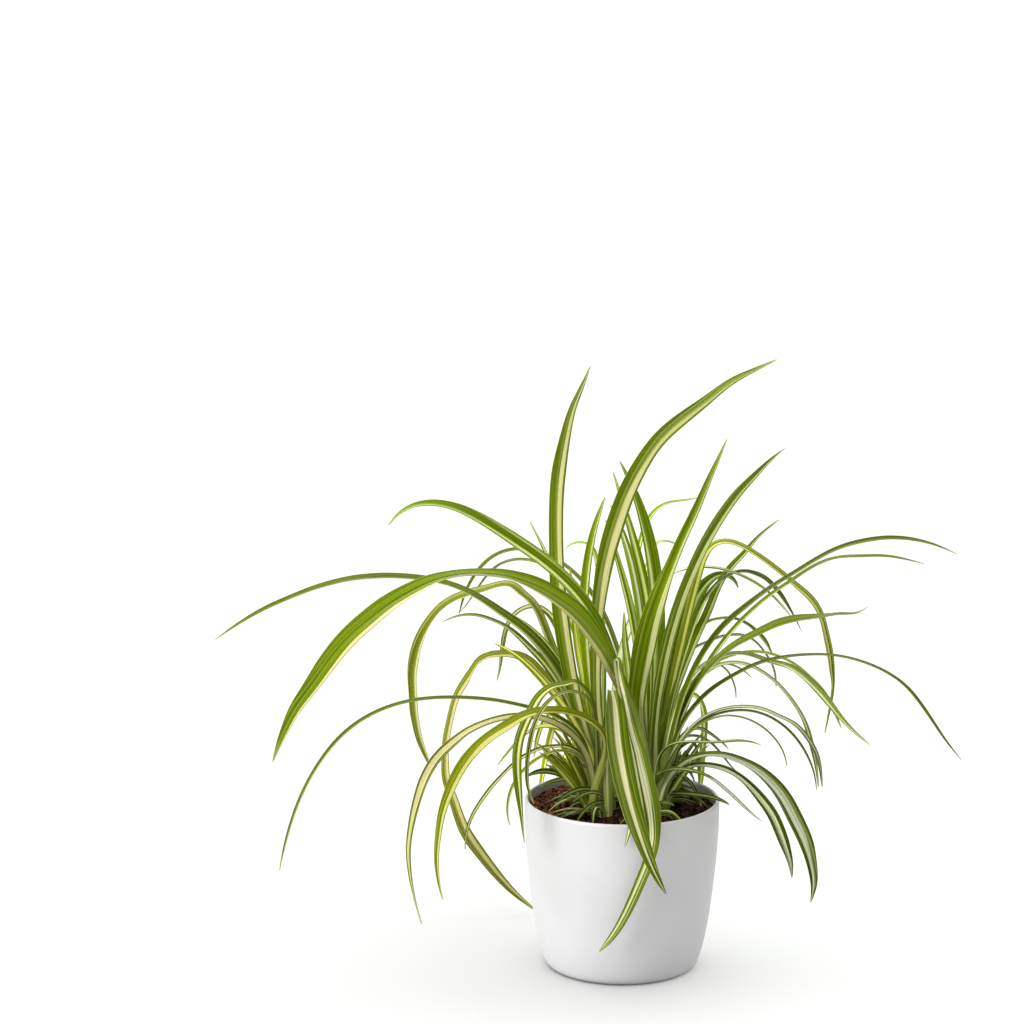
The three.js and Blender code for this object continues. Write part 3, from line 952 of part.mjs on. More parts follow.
      [-8.8, -22.49, 109.8, 2.99, -0.999, 0, -0.037],
      [-9.82, -24.55, 137.54, 6.98, -0.998, 0.056, -0.021],
      [-9.98, -24.8, 155.02, 7.62, -0.992, 0.121, 0.018],
      [-9.69, -25.56, 163.7, 7.77, -0.988, 0.136, 0.068],
      [-9.24, -27.02, 170.66, 7.75, -0.985, 0.135, 0.11],
      [-8.8, -28.8, 175.83, 7.7, -0.982, 0.127, 0.139],
      [-8.35, -31.82, 181.19, 7, -0.983, 0.111, 0.149],
      [-7.36, -44.3, 196.2, 5.6, -0.992, 0.067, 0.111],
      [-7.15, -45.7, 199, 5, -0.996, 0.027, 0.085],
      [-6.95, -46.9, 200.3, 4.9, -0.998, -0.027, 0.05],
      [-6.65, -48.3, 200.2, 5.6, -0.997, -0.081, 0.015],
      [-6.3, -49.3, 198.5, 7.2, -0.991, -0.135, -0.02],
      [-5, -50.6, 189.53, 13.5, -0.977, -0.201, -0.064],
      [-2.36, -56.2, 165.12, 15.6, -0.976, -0.211, -0.048],
      [-1.3, -58.62, 158.89, 15.8, -0.971, -0.232, -0.056],
      [1.61, -67.07, 145.76, 15.4, -0.962, -0.255, -0.095],
      [7.54, -78.34, 125.47, 13.6, -0.946, -0.283, -0.156],
      [11.8, -84.71, 113.8, 10.9, -0.93, -0.298, -0.217],
      [17.43, -90.75, 100.28, 7.76, -0.909, -0.287, -0.301],
      [22.62, -94.02, 89.45, 5.01, -0.88, -0.259, -0.398],
      [28.73, -95.82, 78.5, 0.95, -0.866, -0.219, -0.45],
    ],
  ]],
  ["leaf_front_2", "cream", [
    [
      [14.32, -22.3, 109.8, 2.33, -0.989, -0.002, -0.145],
      [13.36, -21.99, 120.88, 3.08, -0.982, -0.006, -0.187],
      [10.07, -21.36, 138.37, 5.17, -0.97, -0.068, -0.234],
      [7.05, -22.27, 152.63, 4.79, -0.908, -0.334, -0.254],
      [2.73, -24.9, 172.34, 3.93, -0.78, -0.562, -0.275],
      [-0.5, -28.22, 188.14, 3.75, -0.757, -0.589, -0.283],
      [-3.3, -32.67, 205.37, 3.71, -0.746, -0.616, -0.252],
      [-4.54, -34.6, 215, 4.1, -0.676, -0.711, -0.196],
      [-4.62, -35.3, 217.9, 3.9, -0.7, -0.7, -0.14],
      [-4.15, -36.1, 219.15, 3.7, -0.7, -0.7, -0.14],
      [-3.25, -37, 218.95, 3.6, -0.7, -0.7, -0.14],
      [-2.7, -37.6, 217, 3.6, -0.7, -0.7, -0.14],
      [-1.2, -38.5, 208, 3.9, -0.947, -0.102, -0.303],
      [1.42, -39.7, 197.49, 4.15, -0.773, 0.541, -0.331],
      [3.06, -41.65, 191.12, 4.27, -0.81, 0.468, -0.353],
      [6.02, -47.38, 178.81, 5.43, -0.972, 0.08, -0.221],
      [8.21, -49.84, 170.7, 6.5, -0.965, -0.064, -0.255],
      [11.03, -51.43, 162.46, 7.58, -0.935, -0.093, -0.343],
      [12.74, -53.4, 155.96, 8.36, -0.921, -0.132, -0.367],
      [16.42, -59.7, 141.65, 10.1, -0.936, -0.134, -0.326],
      [18.67, -63.29, 132.01, 10.8, -0.964, -0.083, -0.252],
      [20.37, -66.13, 121.63, 10.36, -0.987, 0.034, -0.155],
      [21.21, -68.19, 111.11, 9.52, -0.943, 0.33, -0.046],
      [20.6, -69.34, 102.67, 8.64, -0.899, 0.426, 0.104],
      [18.12, -70.21, 92.92, 7.93, -0.856, 0.461, 0.235],
      [11.98, -70.88, 76.8, 7.25, -0.839, 0.44, 0.32],
      [5.13, -71, 60.38, 6.55, -0.821, 0.431, 0.374],
      [0.4, -70.93, 50.8, 5.82, -0.791, 0.428, 0.438],
      [-5.14, -70.83, 41.66, 4.76, -0.748, 0.427, 0.507],
      [-9.4, -70.78, 35.95, 3.49, -0.7, 0.427, 0.572],
      [-14.13, -70.75, 30.63, 0.82, -0.674, 0.428, 0.602],
    ],
  ]],
  ["leaf_front_3", "deep", [
    [
      [1.74, -23.14, 109.8, 1.33, -0.984, 0.015, -0.176],
      [-0.25, -25.11, 120.75, 1.71, -0.954, -0.101, -0.281],
      [-1.3, -26.35, 123.68, 1.89, -0.944, -0.175, -0.279],
      [-1.51, -28.62, 127.68, 2.39, -0.924, -0.358, -0.131],
      [-0.44, -31.34, 130.9, 3.76, -0.847, -0.525, -0.088],
      [0.75, -33.32, 132.48, 3.4, -0.799, -0.591, -0.108],
      [2.9, -36.33, 134.25, 2.8, -0.779, -0.573, -0.256],
      [4.25, -38.52, 134.37, 3.3, -0.835, -0.41, -0.368],
      [5.27, -40.78, 133.87, 3.58, -0.902, -0.171, -0.397],
      [6.44, -45.54, 131.66, 3.49, -0.919, 0.046, -0.391],
      [7.23, -56.17, 126.23, 3.56, -0.924, 0.193, -0.329],
      [7.04, -61.48, 121.93, 3.66, -0.922, 0.345, -0.175],
      [5.48, -66.19, 113.16, 3.61, -0.903, 0.425, 0.056],
      [2.24, -68.53, 101.38, 0.8, -0.896, 0.41, 0.171],
    ],
  ]],
  ["leaf_left_1", "dark", [
    [
      [15.07, -14.82, 109.8, 2.67, 0.995, 0.03, 0.1],
      [12.62, -13.87, 133.63, 5.15, 0.988, 0.069, 0.136],
      [8.7, -13.47, 155.68, 5.72, 0.927, 0.317, 0.202],
      [3.6, -15.67, 177.92, 6.4, 0.827, 0.494, 0.27],
      [-2.59, -18.64, 199.92, 7.27, 0.694, 0.638, 0.332],
      [-9.21, -22.48, 220.1, 8.81, 0.585, 0.709, 0.394],
      [-18.12, -27.49, 241.23, 11.31, 0.437, 0.783, 0.443],
      [-27.18, -31.34, 256.07, 13.22, 0.293, 0.839, 0.459],
      [-37, -34.96, 268.13, 14.66, 0.176, 0.864, 0.472],
      [-51.73, -40.83, 282.77, 15.61, 0.047, 0.878, 0.477],
      [-71.47, -50.26, 299.52, 15.5, -0.032, 0.879, 0.476],
      [-91.67, -60.52, 315.2, 13.06, -0.076, 0.883, 0.463],
      [-100.04, -64.63, 320.73, 11.49, -0.122, 0.886, 0.448],
      [-108.83, -68.52, 325.29, 9.78, -0.179, 0.889, 0.421],
      [-121.37, -73.24, 328.94, 7.9, -0.246, 0.896, 0.37],
      [-131.14, -76.29, 328.89, 5.64, -0.293, 0.894, 0.34],
      [-135.96, -77.54, 327.6, 4.56, -0.335, 0.881, 0.334],
      [-140.53, -78.58, 325.32, 3.58, -0.384, 0.861, 0.334],
      [-144.71, -79.38, 322.11, 2.55, -0.447, 0.832, 0.329],
      [-149.38, -80.04, 316.63, 1.06, -0.501, 0.798, 0.336],
    ],
  ]],
  ["leaf_left_2", "olive", [
    [
      [13.9, -18.56, 109.8, 3.33, 1, -0.007, 0.002],
      [14.13, -17.41, 131.57, 5.66, 0.999, 0.015, 0.045],
      [13.05, -16.67, 145.36, 6.06, 0.989, 0.078, 0.127],
      [11.09, -17.01, 157.46, 7.12, 0.951, 0.226, 0.211],
      [8.26, -18.23, 169.5, 8, 0.887, 0.356, 0.295],
      [4.11, -20.75, 183.16, 8.99, 0.793, 0.477, 0.378],
      [-0.93, -24.33, 196.67, 10.1, 0.691, 0.562, 0.454],
      [-6.7, -29.1, 210.05, 11.33, 0.6, 0.614, 0.512],
      [-14.79, -35.52, 226.26, 13.58, 0.498, 0.683, 0.534],
      [-21.11, -39.41, 236.93, 15.52, 0.409, 0.737, 0.537],
      [-28.12, -43.16, 246.97, 17.25, 0.307, 0.782, 0.542],
      [-33.88, -46.04, 253.3, 17.84, 0.207, 0.812, 0.545],
      [-41.55, -49.74, 259.8, 18.04, 0.074, 0.856, 0.512],
      [-49.33, -53.41, 265.77, 18.18, -0.029, 0.886, 0.463],
      [-57.72, -56.77, 271.04, 18.11, -0.125, 0.914, 0.387],
      [-66.74, -60.07, 275.39, 17.73, -0.233, 0.933, 0.273],
      [-75.44, -63.55, 278.76, 17.28, -0.32, 0.935, 0.151],
      [-86.33, -67.92, 281.28, 16.63, -0.371, 0.928, 0.035],
      [-95.97, -71.85, 282.5, 16.52, -0.39, 0.921, -0.02],
      [-108.92, -77.38, 282.3, 17, -0.401, 0.916, -0.033],
      [-120.22, -82.51, 279.91, 17.7, -0.429, 0.901, 0.056],
      [-131.37, -87.85, 275.48, 18.44, -0.472, 0.871, 0.136],
      [-141.54, -93.04, 270.71, 19.15, -0.511, 0.845, 0.159],
      [-149.8, -97.46, 265.9, 19.34, -0.558, 0.808, 0.191],
      [-158.97, -102.63, 259.53, 19.08, -0.609, 0.764, 0.214],
      [-170.71, -109.26, 250.5, 18.45, -0.65, 0.733, 0.201],
      [-179.82, -115.19, 241.41, 17.6, -0.683, 0.71, 0.175],
      [-188.76, -121.77, 230.21, 16.37, -0.704, 0.695, 0.145],
      [-196.72, -127.38, 219.73, 14.59, -0.729, 0.669, 0.142],
      [-204.92, -132.44, 208.69, 12.54, -0.754, 0.636, 0.163],
      [-211.32, -136.55, 196.58, 9.78, -0.759, 0.624, 0.185],
      [-215.57, -138.66, 186.89, 6.48, -0.755, 0.62, 0.213],
      [-219.54, -139.73, 176.71, 1.17, -0.755, 0.614, 0.23],
    ],
  ]],
  ["leaf_left_3", "olive", [
    [
      [-20.21, 3.69, 109.8, 2.68, 1, 0.007, 0.018],
      [-22.16, 7.13, 134.16, 5.78, 0.996, 0.048, 0.072],
      [-25.44, 11.05, 152.76, 6.71, 0.956, 0.241, 0.168],
      [-31.93, 13.99, 174.53, 7.95, 0.834, 0.5, 0.234],
      [-41.09, 16.73, 193.32, 9.37, 0.663, 0.704, 0.255],
      [-52.24, 19.26, 208.72, 11.02, 0.49, 0.843, 0.224],
      [-65.1, 22.02, 221.9, 11.64, 0.359, 0.919, 0.165],
      [-81.97, 25.54, 233.81, 11.92, 0.29, 0.95, 0.118],
      [-98.4, 29.5, 243.79, 11.75, 0.246, 0.968, 0.05],
      [-116.04, 33.71, 250.8, 11.47, 0.239, 0.971, 0.021],
      [-136.8, 38.15, 253.99, 11.39, 0.246, 0.969, 0.026],
      [-148.99, 40.85, 254.27, 10.88, 0.253, 0.967, 0.036],
      [-160.85, 43.8, 253.8, 10.95, 0.259, 0.965, 0.047],
      [-172.6, 47, 252.42, 11, 0.261, 0.963, 0.065],
      [-184.24, 50.45, 250.18, 10.51, 0.258, 0.961, 0.1],
      [-197.79, 54.53, 246.21, 9.96, 0.235, 0.955, 0.181],
      [-212.44, 59.26, 240.55, 9.46, 0.215, 0.951, 0.222],
      [-226.26, 64.02, 234.12, 9.02, 0.211, 0.955, 0.208],
      [-239.92, 68.53, 227.09, 8.46, 0.179, 0.957, 0.228],
      [-250.21, 71.74, 221.15, 7.35, 0.134, 0.963, 0.235],
      [-261.65, 74.8, 213.91, 5.41, 0.064, 0.97, 0.235],
      [-271.43, 76.64, 207.21, 3.4, -0.022, 0.975, 0.223],
      [-279.65, 77.4, 201.18, 1.21, -0.069, 0.974, 0.218],
    ],
  ]],
  ["leaf_left_4", "dark", [
    [
      [-15.44, 10.36, 109.8, 1.68, 0.991, 0.064, 0.12],
      [-17.56, 11.18, 119.04, 2.29, 0.984, 0.094, 0.148],
      [-22.82, 13.7, 137.61, 4.65, 0.908, 0.394, 0.144],
      [-26.54, 13.99, 149.69, 5.1, 0.84, 0.531, 0.116],
      [-30.73, 17.16, 160.73, 5.57, 0.804, 0.586, 0.097],
      [-36.23, 21.92, 172.59, 5.84, 0.768, 0.634, 0.09],
      [-42.67, 27.86, 183.46, 6.05, 0.738, 0.667, 0.102],
      [-50.15, 34.36, 193.28, 6.31, 0.701, 0.703, 0.117],
      [-57.53, 40.17, 200.79, 6.61, 0.651, 0.751, 0.109],
      [-65.15, 46.18, 207.07, 6.79, 0.574, 0.819, 0.025],
      [-73.22, 52.58, 213.11, 7, 0.52, 0.853, -0.047],
      [-82.21, 58.98, 217.77, 7.25, 0.484, 0.868, -0.111],
      [-90.59, 64.24, 220.26, 7.32, 0.465, 0.877, -0.121],
      [-99.18, 69.14, 221.66, 6.73, 0.433, 0.901, -0.022],
      [-107.79, 73.14, 221.13, 5.57, 0.345, 0.936, 0.071],
      [-116.17, 75.9, 218.65, 3.77, 0.212, 0.972, 0.102],
      [-123.98, 77.32, 215.12, 1.32, 0.122, 0.984, 0.126],
    ],
  ]],
  ["leaf_left_5", "olive", [
    [
      [-16.01, 25.93, 109.8, 1.35, 1, 0.011, 0.021],
      [-16.31, 26.94, 123.63, 2.44, 0.997, 0.048, 0.065],
      [-18.06, 29.55, 137.76, 3.9, 0.957, 0.263, 0.12],
      [-22.86, 33.56, 158.45, 4.58, 0.846, 0.52, 0.117],
      [-28.12, 37.68, 174.82, 4.92, 0.782, 0.62, 0.061],
      [-35.11, 45.78, 192.91, 4.95, 0.795, 0.606, 0.019],
      [-45.51, 59.39, 217.01, 5.13, 0.773, 0.634, 0.022],
      [-49.71, 63.79, 223.11, 5.73, 0.702, 0.708, 0.081],
      [-55.67, 68.39, 226.95, 6.26, 0.611, 0.773, 0.172],
      [-61.16, 72.17, 227.31, 6.94, 0.519, 0.809, 0.275],
      [-66.46, 76.03, 225.34, 7.53, 0.41, 0.825, 0.389],
      [-71.1, 79.92, 221.82, 7.73, 0.266, 0.829, 0.492],
      [-75.69, 84.78, 215.96, 7.41, 0.017, 0.81, 0.586],
      [-78.3, 88.57, 210.51, 6.52, -0.238, 0.77, 0.592],
      [-80.18, 92.25, 204.71, 5.57, -0.469, 0.706, 0.531],
      [-83.35, 102.04, 187.2, 3.37, -0.762, 0.527, 0.376],
      [-85.08, 107.14, 174.83, 2.14, -0.742, 0.587, 0.324],
      [-87.14, 108.96, 166, 0.87, -0.694, 0.654, 0.302],
    ],
  ]],
  ["leaf_left_6", "cream", [
    [
      [-19.08, 22.96, 109.8, 2.7, 0.999, 0.027, 0.047],
      [-21.77, 24.63, 120.09, 3.68, 0.997, 0.042, 0.067],
      [-24.84, 27.43, 131.83, 5.58, 0.992, 0.068, 0.108],
      [-28.85, 31.68, 146.75, 6.21, 0.942, 0.316, 0.115],
      [-32.98, 33.77, 162.11, 6.6, 0.819, 0.566, 0.097],
      [-37.92, 37.12, 178.68, 7.15, 0.708, 0.706, 0.017],
      [-44.49, 43.26, 195.91, 8.26, 0.675, 0.736, -0.051],
      [-55.08, 55.55, 220.98, 9.39, 0.579, 0.806, -0.124],
      [-58.51, 59.12, 227.49, 10.21, 0.519, 0.846, -0.123],
      [-61.96, 61.88, 232.04, 11.38, 0.474, 0.874, -0.103],
      [-65.12, 63.89, 234.79, 11.58, 0.44, 0.894, -0.08],
      [-69.76, 66.67, 237.93, 11.52, 0.416, 0.908, -0.052],
      [-74, 69.69, 240.95, 11.63, 0.398, 0.917, -0.012],
      [-78.94, 72.59, 242.25, 11.96, 0.379, 0.924, 0.045],
      [-86.57, 75.7, 240.49, 12.2, 0.34, 0.931, 0.131],
      [-94.21, 78.64, 237.21, 12.26, 0.278, 0.939, 0.204],
      [-106.59, 83.51, 232.45, 12.28, 0.188, 0.942, 0.278],
      [-117.57, 87.32, 226.75, 12.88, 0.106, 0.944, 0.312],
      [-125.41, 90.19, 220.24, 12.68, -0.016, 0.932, 0.362],
      [-131.54, 92.68, 211.9, 12.3, -0.174, 0.899, 0.401],
      [-135.99, 94.51, 203.93, 11.92, -0.336, 0.851, 0.405],
      [-140.24, 96.58, 193.92, 11.26, -0.519, 0.767, 0.377],
      [-143.16, 98.9, 182.1, 10.03, -0.682, 0.664, 0.307],
      [-144.63, 101.19, 170.55, 8.77, -0.732, 0.647, 0.216],
      [-144.43, 103.05, 157.8, 7.61, -0.801, 0.587, 0.117],
      [-144.33, 104.9, 146.26, 6.76, -0.887, 0.461, -0.003],
      [-143.24, 106.21, 136.17, 5.9, -0.933, 0.334, -0.133],
      [-140.88, 107.26, 123.93, 4.76, -0.951, 0.127, -0.281],
      [-137.04, 107.94, 112.26, 3.14, -0.898, -0.157, -0.411],
      [-133.01, 108.13, 102.64, 0.8, -0.872, 0.186, -0.452],
    ],
  ]],
  ["leaf_left_7", "dark", [
    [
      [14.62, 25.42, 109.8, 1.69, 0.987, 0.055, 0.152],
      [10.79, 25.11, 134.79, 3.84, 0.985, 0.091, 0.148],
      [7.72, 26.97, 154.45, 4.17, 0.881, 0.467, 0.07],
      [4, 32, 174.96, 4.41, 0.759, 0.65, -0.041],
      [-1.23, 40.14, 196.06, 5.04, 0.671, 0.732, -0.121],
      [-8.32, 50.05, 215.66, 5.42, 0.642, 0.756, -0.131],
      [-17.86, 60.75, 233.28, 6.14, 0.584, 0.805, -0.11],
      [-28.89, 69.44, 246.53, 6.7, 0.503, 0.86, -0.082],
      [-35.03, 73.09, 251.84, 6.88, 0.442, 0.895, -0.055],
      [-41.88, 76.48, 256.47, 6.97, 0.389, 0.921, -0.039],
      [-54.12, 81.37, 262.07, 6.5, 0.333, 0.943, -0.027],
      [-65.76, 85.18, 264.26, 6.78, 0.291, 0.957, 0],
      [-75.91, 88.08, 263.39, 6.97, 0.253, 0.966, 0.051],
      [-85.47, 90.65, 259.76, 6.98, 0.185, 0.974, 0.133],
      [-93.67, 92.89, 253.49, 6.73, 0.049, 0.975, 0.217],
      [-101.32, 94.98, 243.95, 5.92, -0.158, 0.953, 0.26],
      [-108.54, 96.68, 229.82, 3.6, -0.413, 0.878, 0.241],
      [-112.67, 97.21, 216.29, 0.82, -0.564, 0.798, 0.211],
    ],
  ]],
  ["leaf_left_8", "cream", [
    [
      [-19.56, 27.81, 109.8, 2.71, 0.999, 0.022, 0.034],
      [-20.19, 28.84, 119.82, 3.22, 0.995, 0.048, 0.084],
      [-22.25, 31.09, 131.92, 4.49, 0.977, 0.108, 0.184],
      [-25.18, 32.71, 142.15, 5.25, 0.942, 0.207, 0.266],
      [-28.38, 34.49, 150.27, 5.93, 0.896, 0.323, 0.305],
      [-32.22, 36.8, 157.95, 6.4, 0.847, 0.423, 0.322],
      [-37.6, 40.11, 166.58, 6.89, 0.784, 0.524, 0.333],
      [-49.35, 47.11, 180.69, 7.25, 0.696, 0.644, 0.318],
      [-56.72, 51.34, 187.38, 7.56, 0.634, 0.694, 0.342],
      [-62.99, 55.17, 192.78, 7.87, 0.581, 0.729, 0.363],
      [-70.52, 58.8, 195.91, 8.24, 0.525, 0.761, 0.38],
      [-78.84, 62.16, 196.26, 8.5, 0.462, 0.8, 0.383],
      [-85.29, 64.89, 195.33, 8.67, 0.394, 0.834, 0.387],
      [-90, 67.88, 193.92, 8.86, 0.305, 0.847, 0.435],
      [-93.28, 70.17, 192.02, 8.96, 0.198, 0.859, 0.473],
      [-97.28, 73.34, 188.94, 8.89, 0.045, 0.855, 0.516],
      [-101.81, 77.79, 181.89, 8.52, -0.153, 0.833, 0.531],
      [-105.98, 81.98, 173.92, 8.15, -0.363, 0.79, 0.494],
      [-112.43, 86.95, 162.42, 7.05, -0.525, 0.745, 0.41],
      [-116.85, 91.55, 148.17, 6.97, -0.587, 0.74, 0.328],
      [-119.65, 94.64, 134.64, 7.15, -0.637, 0.728, 0.254],
      [-121.67, 96.56, 122.25, 6.79, -0.727, 0.668, 0.161],
      [-122.1, 97.69, 111.33, 6.6, -0.838, 0.545, 0.029],
      [-121.84, 98.61, 99.32, 6.58, -0.921, 0.366, -0.134],
      [-117.84, 99.12, 85.79, 6.99, -0.935, 0.216, -0.281],
      [-113.86, 98.94, 73.41, 7.33, -0.917, 0.093, -0.388],
      [-108.79, 98.5, 60.28, 7.99, -0.881, -0.117, -0.458],
      [-100.31, 97.85, 46.61, 8.3, -0.751, -0.48, -0.452],
      [-90.33, 96.95, 33.53, 7.25, -0.687, -0.528, -0.499],
      [-80.89, 96.08, 22.62, 5.82, -0.615, -0.57, -0.544],
      [-70.41, 95.37, 12.66, 3.47, -0.532, -0.611, -0.586],
      [-58.94, 95.01, 3.81, 1.16, -0.482, -0.639, -0.599],
    ],
  ]],
  ["leaf_left_9", "dark", [
    [
      [-17.83, -12.46, 109.8, 1.33, 0.987, 0.065, 0.148],
      [-20.68, -13.02, 128.03, 2.56, 0.988, 0.079, 0.136],
      [-22.56, -14.62, 143.83, 3.43, 0.936, 0.296, 0.191],
      [-24.42, -15.65, 152.46, 3.67, 0.794, 0.515, 0.322],
      [-28.79, -16.69, 161.98, 4.34, 0.511, 0.761, 0.4],
      [-32.05, -17.24, 166.09, 4.74, 0.326, 0.84, 0.433],
      [-37.25, -18.13, 170.79, 5.39, 0.142, 0.906, 0.398],
      [-44.68, -19.54, 175.49, 5.67, -0.007, 0.942, 0.336],
      [-52.76, -21.27, 179.02, 5.8, -0.105, 0.956, 0.273],
      [-66.17, -24.5, 183.26, 6.05, -0.182, 0.966, 0.183],
      [-81.36, -28.51, 187.46, 6.19, -0.234, 0.962, 0.139],
      [-106.63, -36.18, 191.57, 6.16, -0.276, 0.954, 0.119],
      [-118.75, -40.04, 192.49, 6.12, -0.308, 0.947, 0.093],
      [-130.77, -44.06, 192.54, 6.07, -0.334, 0.941, 0.053],
      [-147.01, -50.19, 190.41, 5.97, -0.363, 0.932, 0.013],
      [-162.93, -56.81, 185.25, 5.82, -0.406, 0.914, 0],
      [-175.86, -63.17, 177.89, 5.64, -0.465, 0.885, -0.014],
      [-188.08, -70.67, 167.06, 5.16, -0.532, 0.846, -0.027],
      [-194.31, -75.37, 159.6, 4.46, -0.581, 0.812, -0.049],
      [-200.57, -80.95, 150.22, 4.13, -0.627, 0.776, -0.073],
      [-209.05, -90.32, 132.87, 3.41, -0.675, 0.733, -0.081],
      [-212.86, -95.26, 122.13, 2.85, -0.694, 0.717, -0.074],
      [-215.6, -98.77, 112.54, 2.47, -0.699, 0.714, -0.04],
      [-217.58, -100.9, 104.21, 1.88, -0.698, 0.716, 0.014],
      [-219.69, -102.24, 93.77, 0.8, -0.702, 0.711, 0.048],
    ],
  ]],
  ["leaf_left_10", "cream", [
    [
      [-20.13, -20.69, 109.8, 2, 0.996, -0.031, -0.086],
      [-19.11, -21.55, 121.93, 2.77, 0.987, -0.067, -0.144],
      [-17.78, -22.8, 128.78, 3.65, 0.962, -0.112, -0.248],
      [-12.65, -28.88, 147.63, 4.37, 0.974, 0.174, -0.142],
      [-11.18, -32.59, 159.49, 4.76, 0.849, 0.497, 0.178],
      [-11.8, -34.31, 164.47, 5.04, 0.66, 0.629, 0.411],
      [-13.56, -36.16, 169.12, 5.79, 0.408, 0.737, 0.538],
      [-16.32, -38.05, 173.23, 6.75, 0.179, 0.81, 0.558],
      [-19.77, -39.9, 176.74, 7.36, 0.005, 0.85, 0.527],
      [-29.43, -43.98, 182.73, 8.48, -0.183, 0.905, 0.385],
      [-41.76, -48.44, 186.39, 9.27, -0.267, 0.92, 0.287],
      [-49.66, -51.37, 187.11, 9.65, -0.324, 0.911, 0.255],
      [-55.94, -54, 186.86, 9.93, -0.418, 0.879, 0.228],
      [-63.47, -58.37, 185.52, 10.24, -0.54, 0.819, 0.195],
      [-70.43, -63.94, 182.88, 10.6, -0.628, 0.758, 0.177],
      [-77.17, -69.57, 179.64, 10.95, -0.668, 0.727, 0.158],
      [-83.9, -74.9, 176.34, 10.47, -0.701, 0.703, 0.121],
      [-96.62, -86.13, 166.89, 10.06, -0.743, 0.665, 0.077],
      [-101.43, -91.2, 161.56, 9.47, -0.786, 0.616, 0.048],
      [-106.36, -97.29, 153.99, 8.49, -0.837, 0.546, 0.044],
      [-110.37, -102.75, 145.84, 7.26, -0.88, 0.474, 0.018],
      [-113.87, -108.64, 136.53, 5.98, -0.904, 0.425, -0.045],
      [-115.94, -114.6, 126.48, 5.12, -0.897, 0.42, -0.14],
      [-116.9, -119.85, 117.72, 4.45, -0.897, 0.397, -0.195],
      [-117.31, -124.55, 108.74, 3.48, -0.927, 0.317, -0.199],
      [-116.69, -127.63, 101.44, 2.61, -0.916, 0.324, -0.237],
      [-115.38, -129.86, 93.29, 1.73, -0.928, 0.272, -0.253],
      [-113.28, -131.02, 84.67, 0.8, -0.937, 0.226, -0.265],
    ],
  ]],
  ["leaf_left_11", "dark", [
    [
      [-19.28, -13.96, 109.8, 1.67, 1, 0.012, 0.007],
      [-19.36, -14.48, 122.3, 2.51, 0.999, 0.032, 0.041],
      [-20, -15.54, 131.37, 3.93, 0.985, 0.084, 0.15],
      [-22.62, -17.8, 143.79, 4.94, 0.851, 0.412, 0.325],
      [-25.14, -19.24, 150.53, 5.26, 0.688, 0.575, 0.443],
      [-28.54, -20.8, 156.81, 5.77, 0.49, 0.71, 0.505],
      [-32.82, -22.46, 162.43, 6.57, 0.295, 0.804, 0.517],
      [-37.88, -24.14, 167.29, 7.22, 0.14, 0.857, 0.495],
      [-43.58, -25.76, 171.27, 7.43, 0.014, 0.892, 0.451],
      [-49.75, -27.37, 174.34, 7.63, -0.09, 0.914, 0.395],
      [-56.28, -29.09, 176.52, 7.81, -0.177, 0.925, 0.336],
      [-64.7, -31.5, 178.03, 7.91, -0.249, 0.927, 0.281],
      [-73.22, -34.35, 178.33, 7.85, -0.307, 0.918, 0.252],
      [-81.64, -37.58, 177.53, 7.75, -0.36, 0.904, 0.231],
      [-89.81, -41.08, 175.72, 7.64, -0.409, 0.887, 0.213],
      [-96.1, -44.01, 173.55, 8.1, -0.455, 0.868, 0.197],
      [-102.08, -47, 170.77, 8.24, -0.503, 0.846, 0.178],
      [-108.81, -50.78, 166.39, 8.08, -0.615, 0.747, 0.253],
      [-119.79, -57.83, 157.47, 7.14, -0.789, 0.487, 0.374],
      [-128.37, -66.44, 143.98, 6.97, -0.867, 0.459, 0.193],
      [-132.82, -74.44, 131.03, 6.12, -0.886, 0.463, 0.008],
      [-134.92, -79.96, 122.09, 5.51, -0.875, 0.466, -0.13],
      [-136.39, -85.57, 113.05, 4.88, -0.82, 0.509, -0.261],
      [-136.96, -90.2, 105.69, 4.41, -0.811, 0.489, -0.321],
      [-136.52, -95.57, 96.91, 3.52, -0.818, 0.453, -0.355],
      [-135.07, -100.53, 87.81, 2.6, -0.829, 0.42, -0.37],
      [-133.02, -104.67, 78.64, 1.71, -0.846, 0.391, -0.361],
      [-130.46, -107.53, 69.29, 1.01, -0.871, 0.359, -0.336],
      [-128.04, -108.72, 61.29, 0.8, -0.886, 0.334, -0.322],
    ],
  ]],
  ["leaf_left_12", "cream", [
    [
      [-15.61, -11.09, 109.8, 2, 0.999, 0.022, 0.047],
      [-16.4, -12.07, 134.82, 4.75, 0.957, 0.28, 0.078],
      [-17.24, -14.18, 150.54, 4.46, 0.73, 0.658, 0.183],
      [-18.48, -20.1, 171.96, 4.52, 0.577, 0.763, 0.29],
      [-20.54, -24.61, 186.03, 6.79, 0.281, 0.886, 0.368],
      [-23.01, -26.86, 192.58, 8.11, 0.018, 0.934, 0.356],
      [-26.95, -29.11, 198.2, 8.96, -0.223, 0.948, 0.227],
      [-31.04, -30.79, 201.13, 9.45, -0.313, 0.945, 0.091],
      [-37.75, -33.5, 200.25, 9.98, -0.317, 0.946, 0.066],
      [-41.17, -34.59, 200.04, 9.9, -0.334, 0.939, 0.08],
      [-46.05, -36.13, 199, 9.69, -0.383, 0.917, 0.113],
      [-50.39, -37.7, 196.53, 9.5, -0.473, 0.87, 0.142],
      [-53.96, -39.26, 192.98, 9.29, -0.584, 0.8, 0.139],
      [-59.78, -42.63, 182.98, 8.67, -0.696, 0.71, 0.106],
      [-65.58, -46.12, 169.94, 7.98, -0.77, 0.637, 0.039],
      [-67.97, -49.29, 154.52, 7.31, -0.845, 0.534, -0.016],
      [-66.8, -52.38, 132.97, 5.85, -0.852, 0.519, -0.068],
